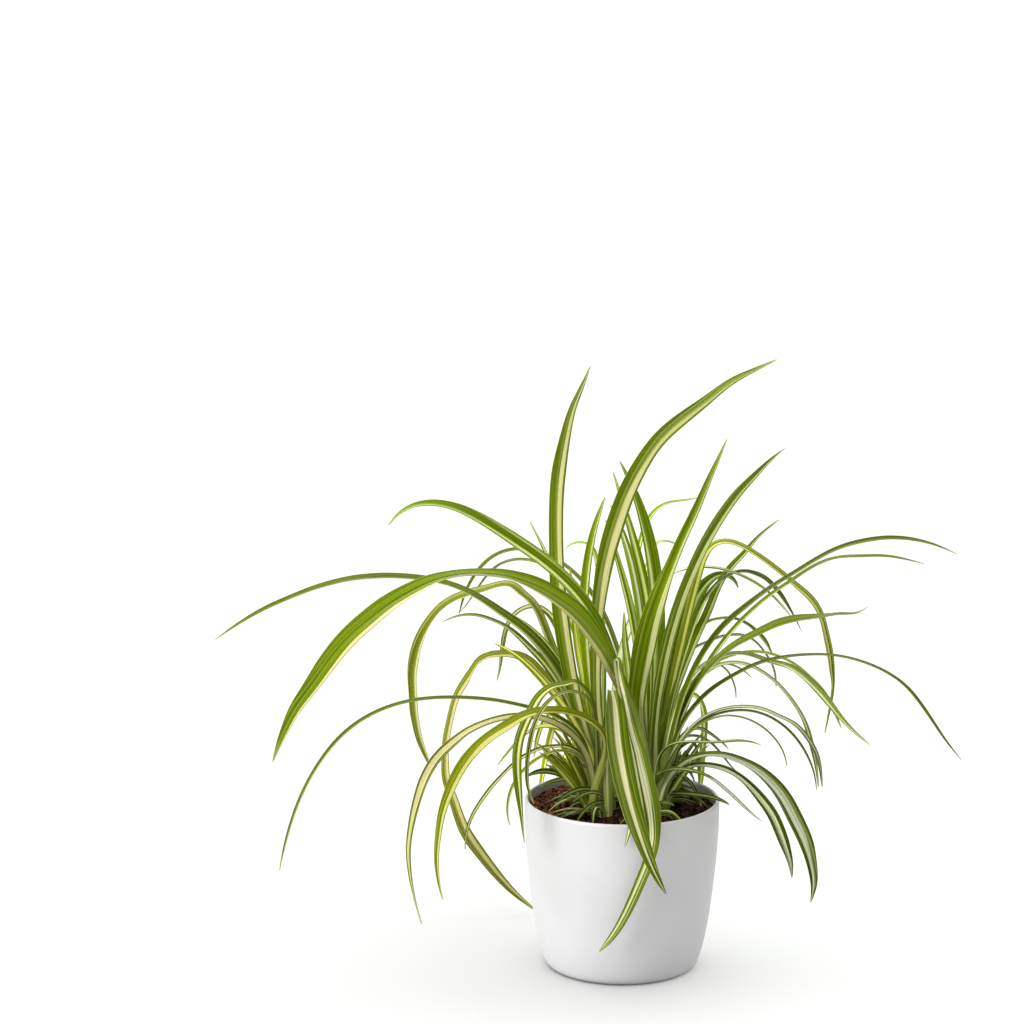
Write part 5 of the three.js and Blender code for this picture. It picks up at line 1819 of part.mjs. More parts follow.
// ---- soil: coarse and uneven, a little higher at the back left, level under the crowns
const CROWNS = {
  left: { x: -13, y: 1.5, rx: 9.5, ry: 26.5 },
  right: { x: 21, y: 1, rx: 9.5, ry: 27 },
};
function soilHeight(x, y, z) {
  const lumps =
    0.42 * Math.sin(0.29 * x + 1.3) * Math.cos(0.26 * y + 0.4) +
    0.34 * Math.sin(0.47 * x - 0.41 * y + 2.1) +
    0.22 * Math.cos(0.83 * x + 0.21 * y);
  const slope = -0.006 * x + 0.004 * y;
  let h = z + lumps + slope;
  for (const c of Object.values(CROWNS)) {
    const d = Math.hypot((x - c.x) / (c.rx + 3), (y - c.y) / (c.ry + 3));
    const k = Math.min(1, Math.max(0, (1.5 - d) / 0.5));
    h = h * (1 - k) + Math.min(h, CROWN_BOTTOM - 0.5) * k;
  }
  return h;
}
const soilProfile = [
  [0, FLOOR_TOP + SOIL_GAP],
  [43.6, FLOOR_TOP + SOIL_GAP],
  [48.1, 6.9],
  [51.4, 13.2],
  [54.6 - SOIL_GAP - 0.1, 25],
  [57 - SOIL_GAP - 0.1, 40],
  [59.4 - SOIL_GAP - 0.1, 60],
  [61.2 - SOIL_GAP - 0.1, 84],
  [62.2 - SOIL_GAP - 0.1, 104],
  [61.6, SOIL_LEVEL - 0.6],
  [57, SOIL_LEVEL],
  [51, SOIL_LEVEL],
  [44.5, SOIL_LEVEL],
  [38, SOIL_LEVEL],
  [31, SOIL_LEVEL],
  [24, SOIL_LEVEL],
  [16, SOIL_LEVEL],
  [8, SOIL_LEVEL],
  [0, SOIL_LEVEL],
];

// ---- crowns: low mounds of packed leaf bases that rest on the soil
function crown({ x, y, rx, ry }) {
  const g = turned(
    [
      [0, CROWN_BOTTOM],
      [0.9, CROWN_BOTTOM],
      [1, CROWN_BOTTOM + 1.1],
      [0.93, CROWN_TOP - 0.6],
      [0.7, CROWN_TOP - 0.1],
      [0, CROWN_TOP],
    ],
    28,
  );
  g.applyMatrix4(new THREE.Matrix4().makeScale(rx, ry, 1).setPosition(x, y, 0));
  return g;
}

const group = new THREE.Group();
function add(name, geometry, color, roughness) {
  const mesh = new THREE.Mesh(geometry, material(color, roughness));
  mesh.name = name;
  group.add(mesh);
}

add("pot", turned(potProfile, POT_SEGMENTS), 0xe9ebe8, 0.55);
add("soil", turned(soilProfile, SOIL_SEGMENTS, soilHeight, 9), 0x4a3428, 0.95);
add("crown_left", joined([crown(CROWNS.left), ...SMALL_LEFT.map(ribbon)]), 0x8a8a5c, 0.6);
add("crown_right", joined([crown(CROWNS.right), ...SMALL_RIGHT.map(ribbon)]), 0x7f8a66, 0.6);
for (const [name, colour, blades] of LEAVES)
  add(
    name,
    blades.length === 1 ? ribbon(blades[0]) : joined(blades.map(ribbon)),
    LEAF_COLOURS[colour],
    0.5,
  );

export default group;
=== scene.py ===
import math

import bpy
import numpy as np
from mathutils import Matrix, Vector


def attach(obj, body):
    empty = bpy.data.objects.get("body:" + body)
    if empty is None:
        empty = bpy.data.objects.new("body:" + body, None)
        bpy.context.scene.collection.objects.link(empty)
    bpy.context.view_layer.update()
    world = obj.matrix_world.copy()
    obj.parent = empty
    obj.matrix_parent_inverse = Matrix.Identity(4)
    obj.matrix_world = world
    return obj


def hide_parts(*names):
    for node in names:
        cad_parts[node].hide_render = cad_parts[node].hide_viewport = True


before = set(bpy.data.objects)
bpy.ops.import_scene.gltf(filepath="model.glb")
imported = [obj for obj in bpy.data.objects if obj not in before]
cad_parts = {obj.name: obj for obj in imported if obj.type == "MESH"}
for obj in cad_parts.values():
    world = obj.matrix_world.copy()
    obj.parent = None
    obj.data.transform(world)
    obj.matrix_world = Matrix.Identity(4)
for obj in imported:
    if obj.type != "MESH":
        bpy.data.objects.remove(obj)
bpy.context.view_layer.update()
RNG = np.random.default_rng(20611)


# ------------------------------------------------------------------ helpers
def srgb(r, g, b):
    """Screen colour 0-255 to linear."""
    out = []
    for v in (r, g, b):
        v = v / 255.0
        out.append(v / 12.92 if v <= 0.04045 else ((v + 0.055) / 1.055) ** 2.4)
    return tuple(out)


def mesh_object(name, verts, faces, material, attrs=None, smooth=True):
    """A mesh object from arrays. faces is an int array of quads or a list of arrays of one size each."""
    me = bpy.data.meshes.new(name)
    groups = faces if isinstance(faces, list) else [faces]
    verts = np.asarray(verts, np.float32)
    sizes = np.concatenate([np.full(len(g), g.shape[1], np.int32) for g in groups])
    flat = np.concatenate([g.reshape(-1) for g in groups]).astype(np.int32)
    me.vertices.add(len(verts))
    me.vertices.foreach_set("co", verts.reshape(-1))
    me.loops.add(len(flat))
    me.loops.foreach_set("vertex_index", flat)
    me.polygons.add(len(sizes))
    starts = np.concatenate([[0], np.cumsum(sizes)[:-1]]).astype(np.int32)
    me.polygons.foreach_set("loop_start", starts)
    me.polygons.foreach_set("loop_total", sizes)
    me.update(calc_edges=True)
    me.validate()
    if smooth:
        me.polygons.foreach_set("use_smooth", np.ones(len(me.polygons), bool))
    for key, val in (attrs or {}).items():
        val = np.asarray(val, np.float32)
        if val.ndim == 1:
            a = me.attributes.new(key, "FLOAT", "POINT")
            a.data.foreach_set("value", val)
        elif val.shape[1] == 3:
            a = me.attributes.new(key, "FLOAT_VECTOR", "POINT")
            a.data.foreach_set("vector", val.reshape(-1))
        else:
            a = me.attributes.new(key, "FLOAT_COLOR", "POINT")
            a.data.foreach_set("color", val.reshape(-1))
    me.materials.append(material)
    ob = bpy.data.objects.new(name, me)
    bpy.context.scene.collection.objects.link(ob)
    return ob


class Nodes:
    """Small builder for a node material."""

    def __init__(self, name):
        self.mat = bpy.data.materials.new(name)
        self.mat.use_nodes = True
        self.t = self.mat.node_tree
        self.bsdf = next(n for n in self.t.nodes if n.type == "BSDF_PRINCIPLED")

    def new(self, kind, **props):
        n = self.t.nodes.new(kind)
        for k, v in props.items():
            setattr(n, k, v)
        return n

    def link(self, a, b):
        self.t.links.new(a, b)

    def put(self, socket, value):
        if isinstance(value, bpy.types.NodeSocket):
            self.link(value, socket)
        else:
            socket.default_value = value

    def math(self, op, a, b=None, c=None, clamp=False):
        n = self.new("ShaderNodeMath", operation=op, use_clamp=clamp)
        self.put(n.inputs[0], a)
        if b is not None:
            self.put(n.inputs[1], b)
        if c is not None:
            self.put(n.inputs[2], c)
        return n.outputs[0]

    def smooth(self, x, lo, hi, a=0.0, b=1.0):
        n = self.new("ShaderNodeMapRange", interpolation_type="SMOOTHSTEP")
        self.put(n.inputs["Value"], x)
        self.put(n.inputs["From Min"], lo)
        self.put(n.inputs["From Max"], hi)
        self.put(n.inputs["To Min"], a)
        self.put(n.inputs["To Max"], b)
        return n.outputs["Result"]

    def mix(self, f, a, b, blend="MIX"):
        n = self.new("ShaderNodeMix", data_type="RGBA", blend_type=blend, clamp_factor=True)
        self.put(n.inputs[0], f)
        self.put(n.inputs[6], a if isinstance(a, bpy.types.NodeSocket) else (*a, 1.0))
        self.put(n.inputs[7], b if isinstance(b, bpy.types.NodeSocket) else (*b, 1.0))
        return n.outputs[2]

    def combine(self, x, y, z):
        n = self.new("ShaderNodeCombineXYZ")
        for s, v in zip(n.inputs, (x, y, z)):
            self.put(s, v)
        return n.outputs[0]

    def noise(self, vec, scale, detail=3.0, rough=0.55, dist=0.0):
        n = self.new("ShaderNodeTexNoise")
        self.put(n.inputs["Vector"], vec)
        n.inputs["Scale"].default_value = scale
        n.inputs["Detail"].default_value = detail
        n.inputs["Roughness"].default_value = rough
        n.inputs["Distortion"].default_value = dist
        return n.outputs["Fac"]

    def attr(self, name, out="Fac"):
        n = self.new("ShaderNodeAttribute", attribute_name=name)
        return n.outputs[out]

    def bump(self, height, strength, distance):
        n = self.new("ShaderNodeBump")
        self.put(n.inputs["Height"], height)
        n.inputs["Strength"].default_value = strength
        n.inputs["Distance"].default_value = distance
        self.link(n.outputs[0], self.bsdf.inputs["Normal"])


# ------------------------------------------------------------------ materials
def leaf_material(name, roughness):
    m = Nodes(name)
    across = m.attr("across")  # -1 left margin, 0 midrib, 1 right margin
    along = m.attr("along")  # metres from the base
    t = m.attr("share")  # 0 base, 1 tip
    par = m.new("ShaderNodeSeparateXYZ")
    m.link(m.attr("stripe", "Vector"), par.inputs[0])  # stripe offset, stripe half width, seed
    off, half, seed = par.outputs
    par2 = m.new("ShaderNodeSeparateXYZ")
    m.link(m.attr("habit", "Vector"), par2.inputs[0])  # side streaks, tip dryness, half width in cm
    streaks, dry, wide = par2.outputs
    edge_col = m.attr("margin_colour", "Color")
    mid_col = m.attr("stripe_colour", "Color")
    side = m.math("ABSOLUTE", across)
    width_pos = m.math("MULTIPLY", across, wide)  # centimetres from the midrib

    def lines(per_cm, along_scale, shift, detail=2.0, rough=0.5):
        vec = m.combine(m.math("MULTIPLY", width_pos, per_cm), m.math("MULTIPLY", along, along_scale), m.math("ADD", seed, shift))
        return m.noise(vec, 1.0, detail, rough)

    # the pale stripe wanders slowly and has a ragged, fibrous edge
    wander = m.noise(m.combine(m.math("MULTIPLY", along, 12.0), seed, 0.0), 1.0, 1.0)
    swell = m.noise(m.combine(m.math("MULTIPLY", along, 17.0), seed, 5.0), 1.0, 1.0)
    fibre = lines(13.0, 4.0, 0.0, 3.0, 0.6)
    broad = lines(6.5, 3.0, 7.3)
    hair = lines(30.0, 3.0, 13.1)
    a = m.math("SUBTRACT", across, off)
    a = m.math("ADD", a, m.math("MULTIPLY", m.math("SUBTRACT", wander, 0.5), 0.36))
    aa = m.math("ADD", m.math("ABSOLUTE", a), m.math("MULTIPLY", m.math("SUBTRACT", fibre, 0.5), 0.30))
    grown = m.math("MULTIPLY", half, m.math("ADD", 0.62, m.math("MULTIPLY", swell, 0.76)))
    grown = m.math("MULTIPLY", grown, m.smooth(t, 0.60, 0.97, 1.0, 0.62))
    stripe = m.smooth(aa, m.math("SUBTRACT", grown, 0.055), m.math("ADD", grown, 0.055), 1.0, 0.0)
    # thinner streaks beside it
    thin = m.smooth(broad, 0.57, 0.62, 0.0, 1.0)
    stripe = m.math("MAXIMUM", stripe, m.math("MULTIPLY", thin, streaks))
    # green veins inside the stripe, and both colours deeper towards the tip
    deeper_to_tip = m.smooth(t, 0.45, 0.95, 0.0, 0.42)
    edge_col = m.mix(deeper_to_tip, edge_col, m.mix(0.55, edge_col, srgb(30, 44, 2)))
    mid_col = m.mix(deeper_to_tip, mid_col, m.mix(0.5, mid_col, srgb(120, 132, 74)))
    vein = m.math("MAXIMUM", m.smooth(fibre, 0.52, 0.62, 0.0, 0.85), m.smooth(hair, 0.54, 0.64, 0.0, 0.60))
    col = m.mix(stripe, edge_col, m.mix(vein, mid_col, m.mix(0.56, mid_col, edge_col)))
    # green part: long light and dark lines
    deep = m.mix(0.62, edge_col, srgb(22, 36, 0), "MIX")
    light = m.mix(0.38, edge_col, srgb(160, 178, 24))
    green = m.math("SUBTRACT", 1.0, stripe)
    col = m.mix(m.math("MULTIPLY", m.smooth(broad, 0.50, 0.38, 0.0, 0.85), green), col, deep)
    col = m.mix(m.math("MULTIPLY", m.smooth(fibre, 0.53, 0.64, 0.0, 0.62), green), col, light)
    col = m.mix(m.math("MULTIPLY", m.smooth(hair, 0.50, 0.42, 0.0, 0.50), green), col, deep)
    # slow patches of tone along the blade
    tone = m.noise(m.combine(m.math("MULTIPLY", width_pos, 1.0), m.math("MULTIPLY", along, 20.0), m.math("ADD", seed, 3.1)), 1.0, 2.0)
    col = m.mix(m.smooth(tone, 0.42, 0.70, 0.0, 0.28), col, m.mix(0.5, col, srgb(128, 138, 14)))
    # margins: a deeper rim, then a hair-thin pale edge, partly the leaf's own pale margin and partly a painted rim
    # highlight
    rim = m.math("MULTIPLY", m.smooth(side, 0.72, 0.90, 0.0, 0.72), m.math("SUBTRACT", 1.0, m.math("MULTIPLY", stripe, 0.35)))
    col = m.mix(rim, col, deep)
    col = m.mix(m.smooth(side, 0.95, 0.985, 0.0, 0.45), col, srgb(180, 186, 110))
    # paler, greyer foot; dry tip
    foot = m.smooth(t, 0.02, 0.24, 0.46, 0.0)
    col = m.mix(foot, col, srgb(182, 196, 104))
    fleck = m.noise(m.combine(m.math("MULTIPLY", width_pos, 6.0), m.math("MULTIPLY", along, 160.0), seed), 1.0, 4.0)
    tip = m.smooth(m.math("ADD", t, m.math("MULTIPLY", m.math("SUBTRACT", fleck, 0.5), 0.03)), 0.960, 0.996)
    col = m.mix(m.math("MULTIPLY", tip, dry), col, srgb(156, 142, 104))
    m.link(col, m.bsdf.inputs["Base Color"])
    rough = m.smooth(fibre, 0.25, 0.8, roughness - 0.06, roughness + 0.10)
    m.link(rough, m.bsdf.inputs["Roughness"])
    m.bsdf.inputs["Specular IOR Level"].default_value = 0.05
    m.bsdf.inputs["Subsurface Weight"].default_value = 0.25
    m.bsdf.inputs["Subsurface Radius"].default_value = (0.9, 1.0, 0.12)
    m.bsdf.inputs["Subsurface Scale"].default_value = 0.0010
    height = m.math("ADD", m.math("MULTIPLY", hair, 0.6), m.math("MULTIPLY", fibre, 0.4))
    m.bump(height, 0.45, 0.0006)
    return m.mat


def pot_material():
    m = Nodes("pot_white")
    geo = m.new("ShaderNodeNewGeometry")
    cloud = m.noise(geo.outputs["Position"], 22.0, 3.0)
    fine = m.noise(geo.outputs["Position"], 2600.0, 2.0)
    col = m.mix(m.smooth(cloud, 0.3, 0.7), srgb(189, 188, 189), srgb(193, 192, 193))
    m.link(col, m.bsdf.inputs["Base Color"])
    m.link(m.smooth(cloud, 0.25, 0.75, 0.40, 0.50), m.bsdf.inputs["Roughness"])
    m.bsdf.inputs["Specular IOR Level"].default_value = 0.45
    m.bump(fine, 0.12, 0.00012)
    return m.mat


def soil_material():
    m = Nodes("peat_soil")
    geo = m.new("ShaderNodeNewGeometry")
    pos = geo.outputs["Position"]
    big = m.noise(pos, 60.0, 3.0)
    mid = m.noise(pos, 480.0, 2.0, 0.55)
    fine = m.noise(pos, 1700.0, 3.0, 0.7)
    sep = m.new("ShaderNodeSeparateXYZ")
    m.link(pos, sep.inputs[0])
    # painted light: the soil is made redder and lighter towards the back left, where the light reaches it
    side = m.math("ADD", m.math("MULTIPLY", sep.outputs[0], -9.0), m.math("MULTIPLY", sep.outputs[1], 4.0))
    side = m.math("ADD", side, m.math("MULTIPLY", m.math("SUBTRACT", big, 0.5), 1.2))
    painted_light_back_left = m.smooth(side, -0.05, 0.85)
    dark = m.mix(m.smooth(mid, 0.42, 0.60), srgb(8, 5, 3), srgb(78, 49, 32))
    painted_lit_soil = m.mix(m.smooth(mid, 0.41, 0.60), srgb(18, 10, 6), srgb(146, 88, 58))
    col = m.mix(painted_light_back_left, dark, painted_lit_soil)
    piece = m.attr("piece")
    # pale crumbs: the soil's own pale crumbs, with most of them put on the back left as painted light
    pale = m.math("MULTIPLY", m.smooth(piece, 0.60, 1.0, 0.0, 0.8), m.math("ADD", 0.30, m.math("MULTIPLY", painted_light_back_left, 0.70)))
    col = m.mix(pale, col, srgb(206, 136, 92))
    col = m.mix(m.smooth(piece, 0.0, 0.40, 0.8, 0.0), col, srgb(8, 5, 3))
    col = m.mix(m.smooth(fine, 0.64, 0.74, 0.0, 0.5), col, srgb(186, 132, 92))
    m.link(col, m.bsdf.inputs["Base Color"])
    m.link(m.smooth(fine, 0.3, 0.7, 0.82, 0.98), m.bsdf.inputs["Roughness"])
    m.bsdf.inputs["Specular IOR Level"].default_value = 0.04
    m.bump(m.math("ADD", mid, fine), 0.9, 0.0011)
    return m.mat


def husk_material():
    m = Nodes("crown_husk")
    geo = m.new("ShaderNodeNewGeometry")
    pos = geo.outputs["Position"]
    stretched = m.new("ShaderNodeMapping")
    m.link(pos, stretched.inputs["Vector"])
    stretched.inputs["Scale"].default_value = (1.0, 1.0, 0.18)
    n = m.noise(stretched.outputs[0], 900.0, 4.0, 0.6)
    big = m.noise(pos, 120.0, 2.0)
    col = m.mix(m.smooth(n, 0.3, 0.7), srgb(74, 62, 34), srgb(150, 146, 88))
    col = m.mix(m.smooth(big, 0.4, 0.65, 0.0, 0.6), col, srgb(96, 74, 48))
    m.link(col, m.bsdf.inputs["Base Color"])
    m.link(m.smooth(n, 0.3, 0.7, 0.55, 0.8), m.bsdf.inputs["Roughness"])
    m.bump(n, 0.6, 0.0008)
    return m.mat


def floor_material():
    m = Nodes("studio_floor")
    geo = m.new("ShaderNodeNewGeometry")
    n = m.noise(geo.outputs["Position"], 3.0, 2.0)
    col = m.mix(m.smooth(n, 0.3, 0.7), srgb(249, 250, 248), srgb(251, 251, 250))
    m.link(col, m.bsdf.inputs["Base Color"])
    m.link(m.smooth(n, 0.3, 0.7, 0.88, 0.94), m.bsdf.inputs["Roughness"])
    m.bsdf.inputs["Specular IOR Level"].default_value = 0.1
    return m.mat


LEAF_FRESH = leaf_material("leaf_satin", 0.44)
LEAF_LOW = leaf_material("leaf_low_satin", 0.52)
POT = pot_material()
SOIL = soil_material()
HUSK = husk_material()

# ------------------------------------------------------------------ leaf colours
# margin colour, stripe colour
PALETTES = {
    "olive": (srgb(98, 118, 0), srgb(192, 191, 134)),
    "olive_deep": (srgb(84, 106, 2), srgb(172, 182, 110)),
    "fresh": (srgb(96, 116, 10), srgb(182, 192, 124)),
    "bright": (srgb(118, 130, 8), srgb(196, 194, 96)),
    "dark": (srgb(68, 88, 6), srgb(158, 170, 94)),
    "forest": (srgb(62, 78, 16), srgb(206, 214, 176)),
    "grey": (srgb(96, 112, 48), srgb(178, 186, 130)),
    # painted shade: the darker colours of the low leaves under the plant stand in for the shade they lie in
    "painted_shade": (srgb(54, 70, 14), srgb(132, 146, 84)),
    "yellow": (srgb(134, 142, 14), srgb(212, 206, 122)),
    "cream": (srgb(96, 110, 10), srgb(204, 204, 134)),
    "straw": (srgb(134, 142, 30), srgb(218, 212, 142)),
    "ivory": (srgb(76, 92, 8), srgb(196, 196, 156)),
}


# Each leaf as stations from base to tip: place in mm, width in mm, direction across the blade.
# The first tuple of each blade: palette, stripe offset, stripe half width, streaks, tip dryness, brightness factor and
# tint; the factor and tint paint in light and shade leaf by leaf.
LEAVES = [
    ("leaf_upright_1", "leaf_olive", [
        (('olive', 0.32, 0.34, 0.3, 0.3, 0.67, (0.86, 0.82, 0.8)), [(-11.8, 2.3, 109.8, 3.02, 0.98, 0.09, 0.18), (-13.2, 4.1, 118.0, 3.68, 0.97, 0.10, 0.23), (-21.3, 6.5, 145.4, 6.89, 0.96, -0.09, 0.28), (-28.1, 6.0, 170.3, 8.53, 0.91, -0.33, 0.27), (-33.4, 8.6, 192.9, 10.40, 0.90, -0.35, 0.24), (-36.8, 11.0, 210.4, 11.23, 0.90, -0.37, 0.22), (-39.8, 14.0, 229.6, 11.86, 0.90, -0.39, 0.18), (-42.9, 19.2, 259.6, 11.79, 0.90, -0.42, 0.14), (-43.7, 22.8, 278.9, 11.02, 0.89, -0.44, 0.10), (-44.0, 27.0, 299.8, 10.86, 0.90, -0.44, 0.06), (-43.7, 30.4, 315.4, 10.63, 0.91, -0.41, 0.01), (-42.5, 34.1, 331.3, 10.01, 0.95, -0.29, -0.08), (-38.8, 39.0, 352.2, 7.39, 0.95, -0.28, -0.15), (-34.1, 43.2, 370.6, 5.05, 0.94, -0.25, -0.24), (-27.9, 45.7, 385.2, 3.25, 0.88, -0.39, -0.28), (-22.7, 46.8, 398.4, 0.88, 0.68, -0.69, -0.23)]),
    ]),
    ("leaf_upright_2", "leaf_olive", [
        (('olive', 0.26, 0.38, 0.3, 0.3, 0.69, (0.86, 0.81, 0.8)), [(-7.7, -5.2, 109.8, 3.34, 0.99, 0.06, 0.16), (-11.8, -5.9, 135.7, 7.00, 0.99, 0.07, 0.14), (-15.6, -6.4, 168.0, 8.37, 0.93, -0.36, 0.07), (-17.1, -7.2, 196.9, 8.46, 0.86, -0.51, 0.00), (-16.8, -8.0, 225.8, 9.20, 0.84, -0.54, -0.06), (-15.1, -9.1, 249.1, 10.80, 0.81, -0.57, -0.13), (-11.5, -11.2, 274.0, 13.79, 0.77, -0.60, -0.21), (-7.6, -13.3, 291.4, 15.31, 0.72, -0.63, -0.28), (-3.1, -15.6, 306.7, 15.64, 0.67, -0.66, -0.35), (3.8, -19.5, 326.4, 15.11, 0.58, -0.70, -0.42), (13.4, -23.9, 346.0, 14.02, 0.48, -0.73, -0.48), (24.7, -29.2, 363.5, 12.66, 0.40, -0.74, -0.53), (39.4, -35.2, 378.4, 11.10, 0.33, -0.75, -0.58), (54.7, -41.5, 391.9, 9.24, 0.20, -0.80, -0.57), (68.4, -46.8, 404.0, 7.16, 0.13, -0.83, -0.55), (83.3, -50.4, 412.8, 4.61, 0.09, -0.88, -0.47), (96.7, -51.9, 420.0, 0.95, 0.14, -0.84, -0.52)]),
    ]),
    ("leaf_upright_3", "leaf_olive", [
        (('olive', 0.4, 0.24, 0.3, 0.4, 2.04, (1.03, 1.02, 1.0)), [(-10.3, 8.2, 109.8, 2.35, 0.99, 0.05, 0.14), (-14.8, 10.4, 139.7, 4.91, 0.97, -0.15, 0.16), (-20.1, 14.6, 171.6, 5.47, 0.91, -0.37, 0.19), (-23.8, 20.6, 201.4, 6.24, 0.91, -0.39, 0.17), (-25.6, 28.3, 232.8, 7.03, 0.90, -0.42, 0.12), (-24.8, 34.2, 255.3, 7.01, 0.89, -0.46, 0.04), (-22.0, 39.3, 276.1, 6.06, 0.87, -0.50, -0.05), (-17.5, 42.8, 295.0, 4.18, 0.82, -0.54, -0.16), (-12.4, 44.0, 310.4, 0.94, 0.79, -0.57, -0.21)]),
    ]),
    ("leaf_upright_4", "leaf_olive", [
        (('olive_deep', -0.45, 0.24, 0.4, 0.3, 1.85, (1.03, 0.97, 1.15)), [(18.5, 10.5, 109.8, 3.03, 1.00, -0.02, -0.05), (19.7, 11.6, 134.7, 6.94, 1.00, 0.06, -0.05), (20.8, 11.2, 153.3, 7.71, 0.96, 0.28, -0.06), (21.9, 12.3, 173.3, 8.37, 0.91, 0.41, -0.08), (22.7, 14.7, 192.9, 9.24, 0.90, 0.42, -0.08), (23.0, 17.6, 214.3, 10.03, 0.90, 0.44, -0.05), (22.6, 20.0, 232.1, 10.54, 0.89, 0.45, -0.02), (21.4, 22.3, 249.9, 10.83, 0.88, 0.47, 0.03), (18.0, 25.3, 274.7, 10.36, 0.86, 0.51, 0.09), (13.3, 27.5, 295.7, 8.45, 0.82, 0.54, 0.17), (6.0, 29.3, 317.9, 5.39, 0.77, 0.58, 0.26), (-3.0, 29.8, 337.7, 0.95, 0.73, 0.61, 0.30)]),
    ]),
    ("leaves_back_centre_upright", "leaf_olive", [
        (('olive_deep', 0.0, 0.26, 0.4, 0.3, 2.09, (1.03, 1.02, 1.0)), [(17.5, 12.5, 109.8, 2.69, 1.00, -0.01, -0.02), (18.0, 13.6, 135.5, 5.56, 0.99, 0.11, -0.03), (18.7, 16.3, 157.0, 5.85, 0.94, 0.33, -0.08), (19.1, 20.2, 178.2, 6.44, 0.90, 0.43, -0.10), (19.0, 24.0, 199.4, 6.92, 0.89, 0.44, -0.08), (18.0, 27.3, 218.9, 7.31, 0.89, 0.46, -0.03), (16.2, 31.4, 236.2, 7.85, 0.87, 0.49, 0.03), (12.8, 36.0, 255.1, 7.66, 0.85, 0.52, 0.10), (7.8, 39.5, 275.7, 6.63, 0.83, 0.54, 0.15), (-0.0, 43.1, 303.1, 4.18, 0.81, 0.56, 0.19), (-7.3, 45.4, 327.0, 0.93, 0.80, 0.56, 0.21)]),
        (('olive', 0.15, 0.28, 0.4, 0.3, 2.7, (1.03, 0.97, 1.15)), [(17.9, 12.5, 109.8, 1.68, 1.00, 0.01, 0.06), (16.0, 13.0, 144.1, 4.28, 0.95, 0.32, 0.03), (15.2, 14.6, 165.9, 4.72, 0.86, 0.50, -0.04), (14.2, 20.1, 195.9, 5.88, 0.86, 0.50, -0.07), (13.2, 23.9, 211.6, 6.48, 0.86, 0.51, -0.07), (11.7, 28.6, 228.8, 7.31, 0.85, 0.52, -0.06), (8.7, 35.6, 248.8, 7.72, 0.85, 0.53, -0.04), (4.1, 43.6, 268.2, 7.28, 0.83, 0.56, 0.01), (-2.3, 50.3, 287.3, 4.45, 0.79, 0.60, 0.12), (-5.6, 52.0, 295.2, 2.90, 0.74, 0.64, 0.21), (-9.2, 52.8, 303.1, 0.93, 0.72, 0.65, 0.25)]),
    ]),
    ("leaf_upright_5", "leaf_dark", [
        (('olive_deep', -0.45, 0.3, 0.4, 0.3, 2.7, (1.03, 1.03, 1.0)), [(17.4, 8.1, 109.8, 2.69, 1.00, 0.02, 0.08), (15.6, 9.4, 132.8, 5.06, 0.98, 0.19, 0.07), (13.9, 8.0, 155.2, 4.86, 0.89, 0.46, 0.07), (12.9, 8.2, 169.8, 4.88, 0.85, 0.52, 0.03), (10.3, 11.5, 201.9, 5.55, 0.84, 0.54, 0.03), (6.7, 14.7, 228.4, 6.35, 0.82, 0.56, 0.07), (4.0, 16.3, 242.4, 6.43, 0.81, 0.58, 0.12), (-0.4, 18.0, 259.8, 5.62, 0.79, 0.60, 0.16), (-6.3, 19.6, 280.5, 3.69, 0.77, 0.61, 0.19), (-12.1, 20.1, 299.6, 0.90, 0.76, 0.61, 0.21)]),
    ]),
    ("leaf_upright_6", "leaf_fresh", [
        (('olive', 0.55, 0.28, 0.25, 0.3, 1.04, (0.8, 0.81, 0.8)), [(21.2, -12.1, 109.8, 3.00, 0.99, 0.04, 0.13), (19.5, -13.0, 123.2, 4.30, 0.99, 0.06, 0.16), (17.2, -12.2, 135.2, 5.37, 0.98, 0.04, 0.17), (14.8, -11.5, 150.5, 6.60, 0.99, -0.07, 0.12), (9.9, -12.8, 175.0, 10.23, 0.98, -0.17, 0.02), (10.9, -16.4, 199.8, 13.07, 0.96, -0.24, -0.11), (15.1, -21.5, 226.2, 16.18, 0.92, -0.32, -0.24), (21.5, -27.9, 251.8, 13.68, 0.86, -0.37, -0.34), (30.9, -36.0, 279.8, 9.14, 0.66, -0.61, -0.44), (39.6, -45.0, 303.8, 7.54, 0.62, -0.62, -0.48), (48.0, -54.5, 325.1, 6.68, 0.59, -0.64, -0.49), (55.6, -63.4, 346.4, 4.88, 0.58, -0.67, -0.46), (60.6, -67.6, 359.6, 3.04, 0.60, -0.71, -0.38), (65.2, -69.4, 371.8, 0.85, 0.60, -0.73, -0.32)]),
    ]),
    ("leaf_upright_7", "leaf_fresh", [
        (('fresh', 0.35, 0.4, 0.6, 0.3, 0.71, (1.03, 0.97, 1.0)), [(21.6, 6.5, 109.8, 3.02, 1.00, 0.00, 0.02), (21.0, 8.8, 134.5, 5.90, 1.00, -0.09, -0.01), (21.7, 4.2, 159.4, 6.13, 0.88, -0.46, -0.09), (23.6, 2.3, 181.7, 7.38, 0.84, -0.53, -0.09), (26.2, 2.8, 199.6, 8.26, 0.82, -0.56, -0.10), (29.8, 4.4, 217.1, 8.92, 0.80, -0.59, -0.13), (33.8, 6.3, 232.6, 9.21, 0.78, -0.61, -0.16), (39.3, 8.7, 249.5, 9.30, 0.75, -0.64, -0.19), (45.9, 11.4, 265.9, 9.35, 0.71, -0.67, -0.21), (52.5, 13.9, 280.4, 9.29, 0.65, -0.72, -0.22), (61.0, 16.7, 295.8, 9.33, 0.60, -0.76, -0.24), (67.6, 18.6, 306.1, 8.92, 0.58, -0.77, -0.27), (77.1, 21.0, 318.8, 7.74, 0.56, -0.77, -0.32), (86.9, 22.9, 329.4, 5.95, 0.49, -0.81, -0.33), (97.1, 24.3, 339.8, 3.86, 0.36, -0.89, -0.29), (106.5, 24.8, 348.2, 0.89, 0.20, -0.97, -0.16)]),
    ]),
    ("leaf_upright_8", "leaf_yellow", [
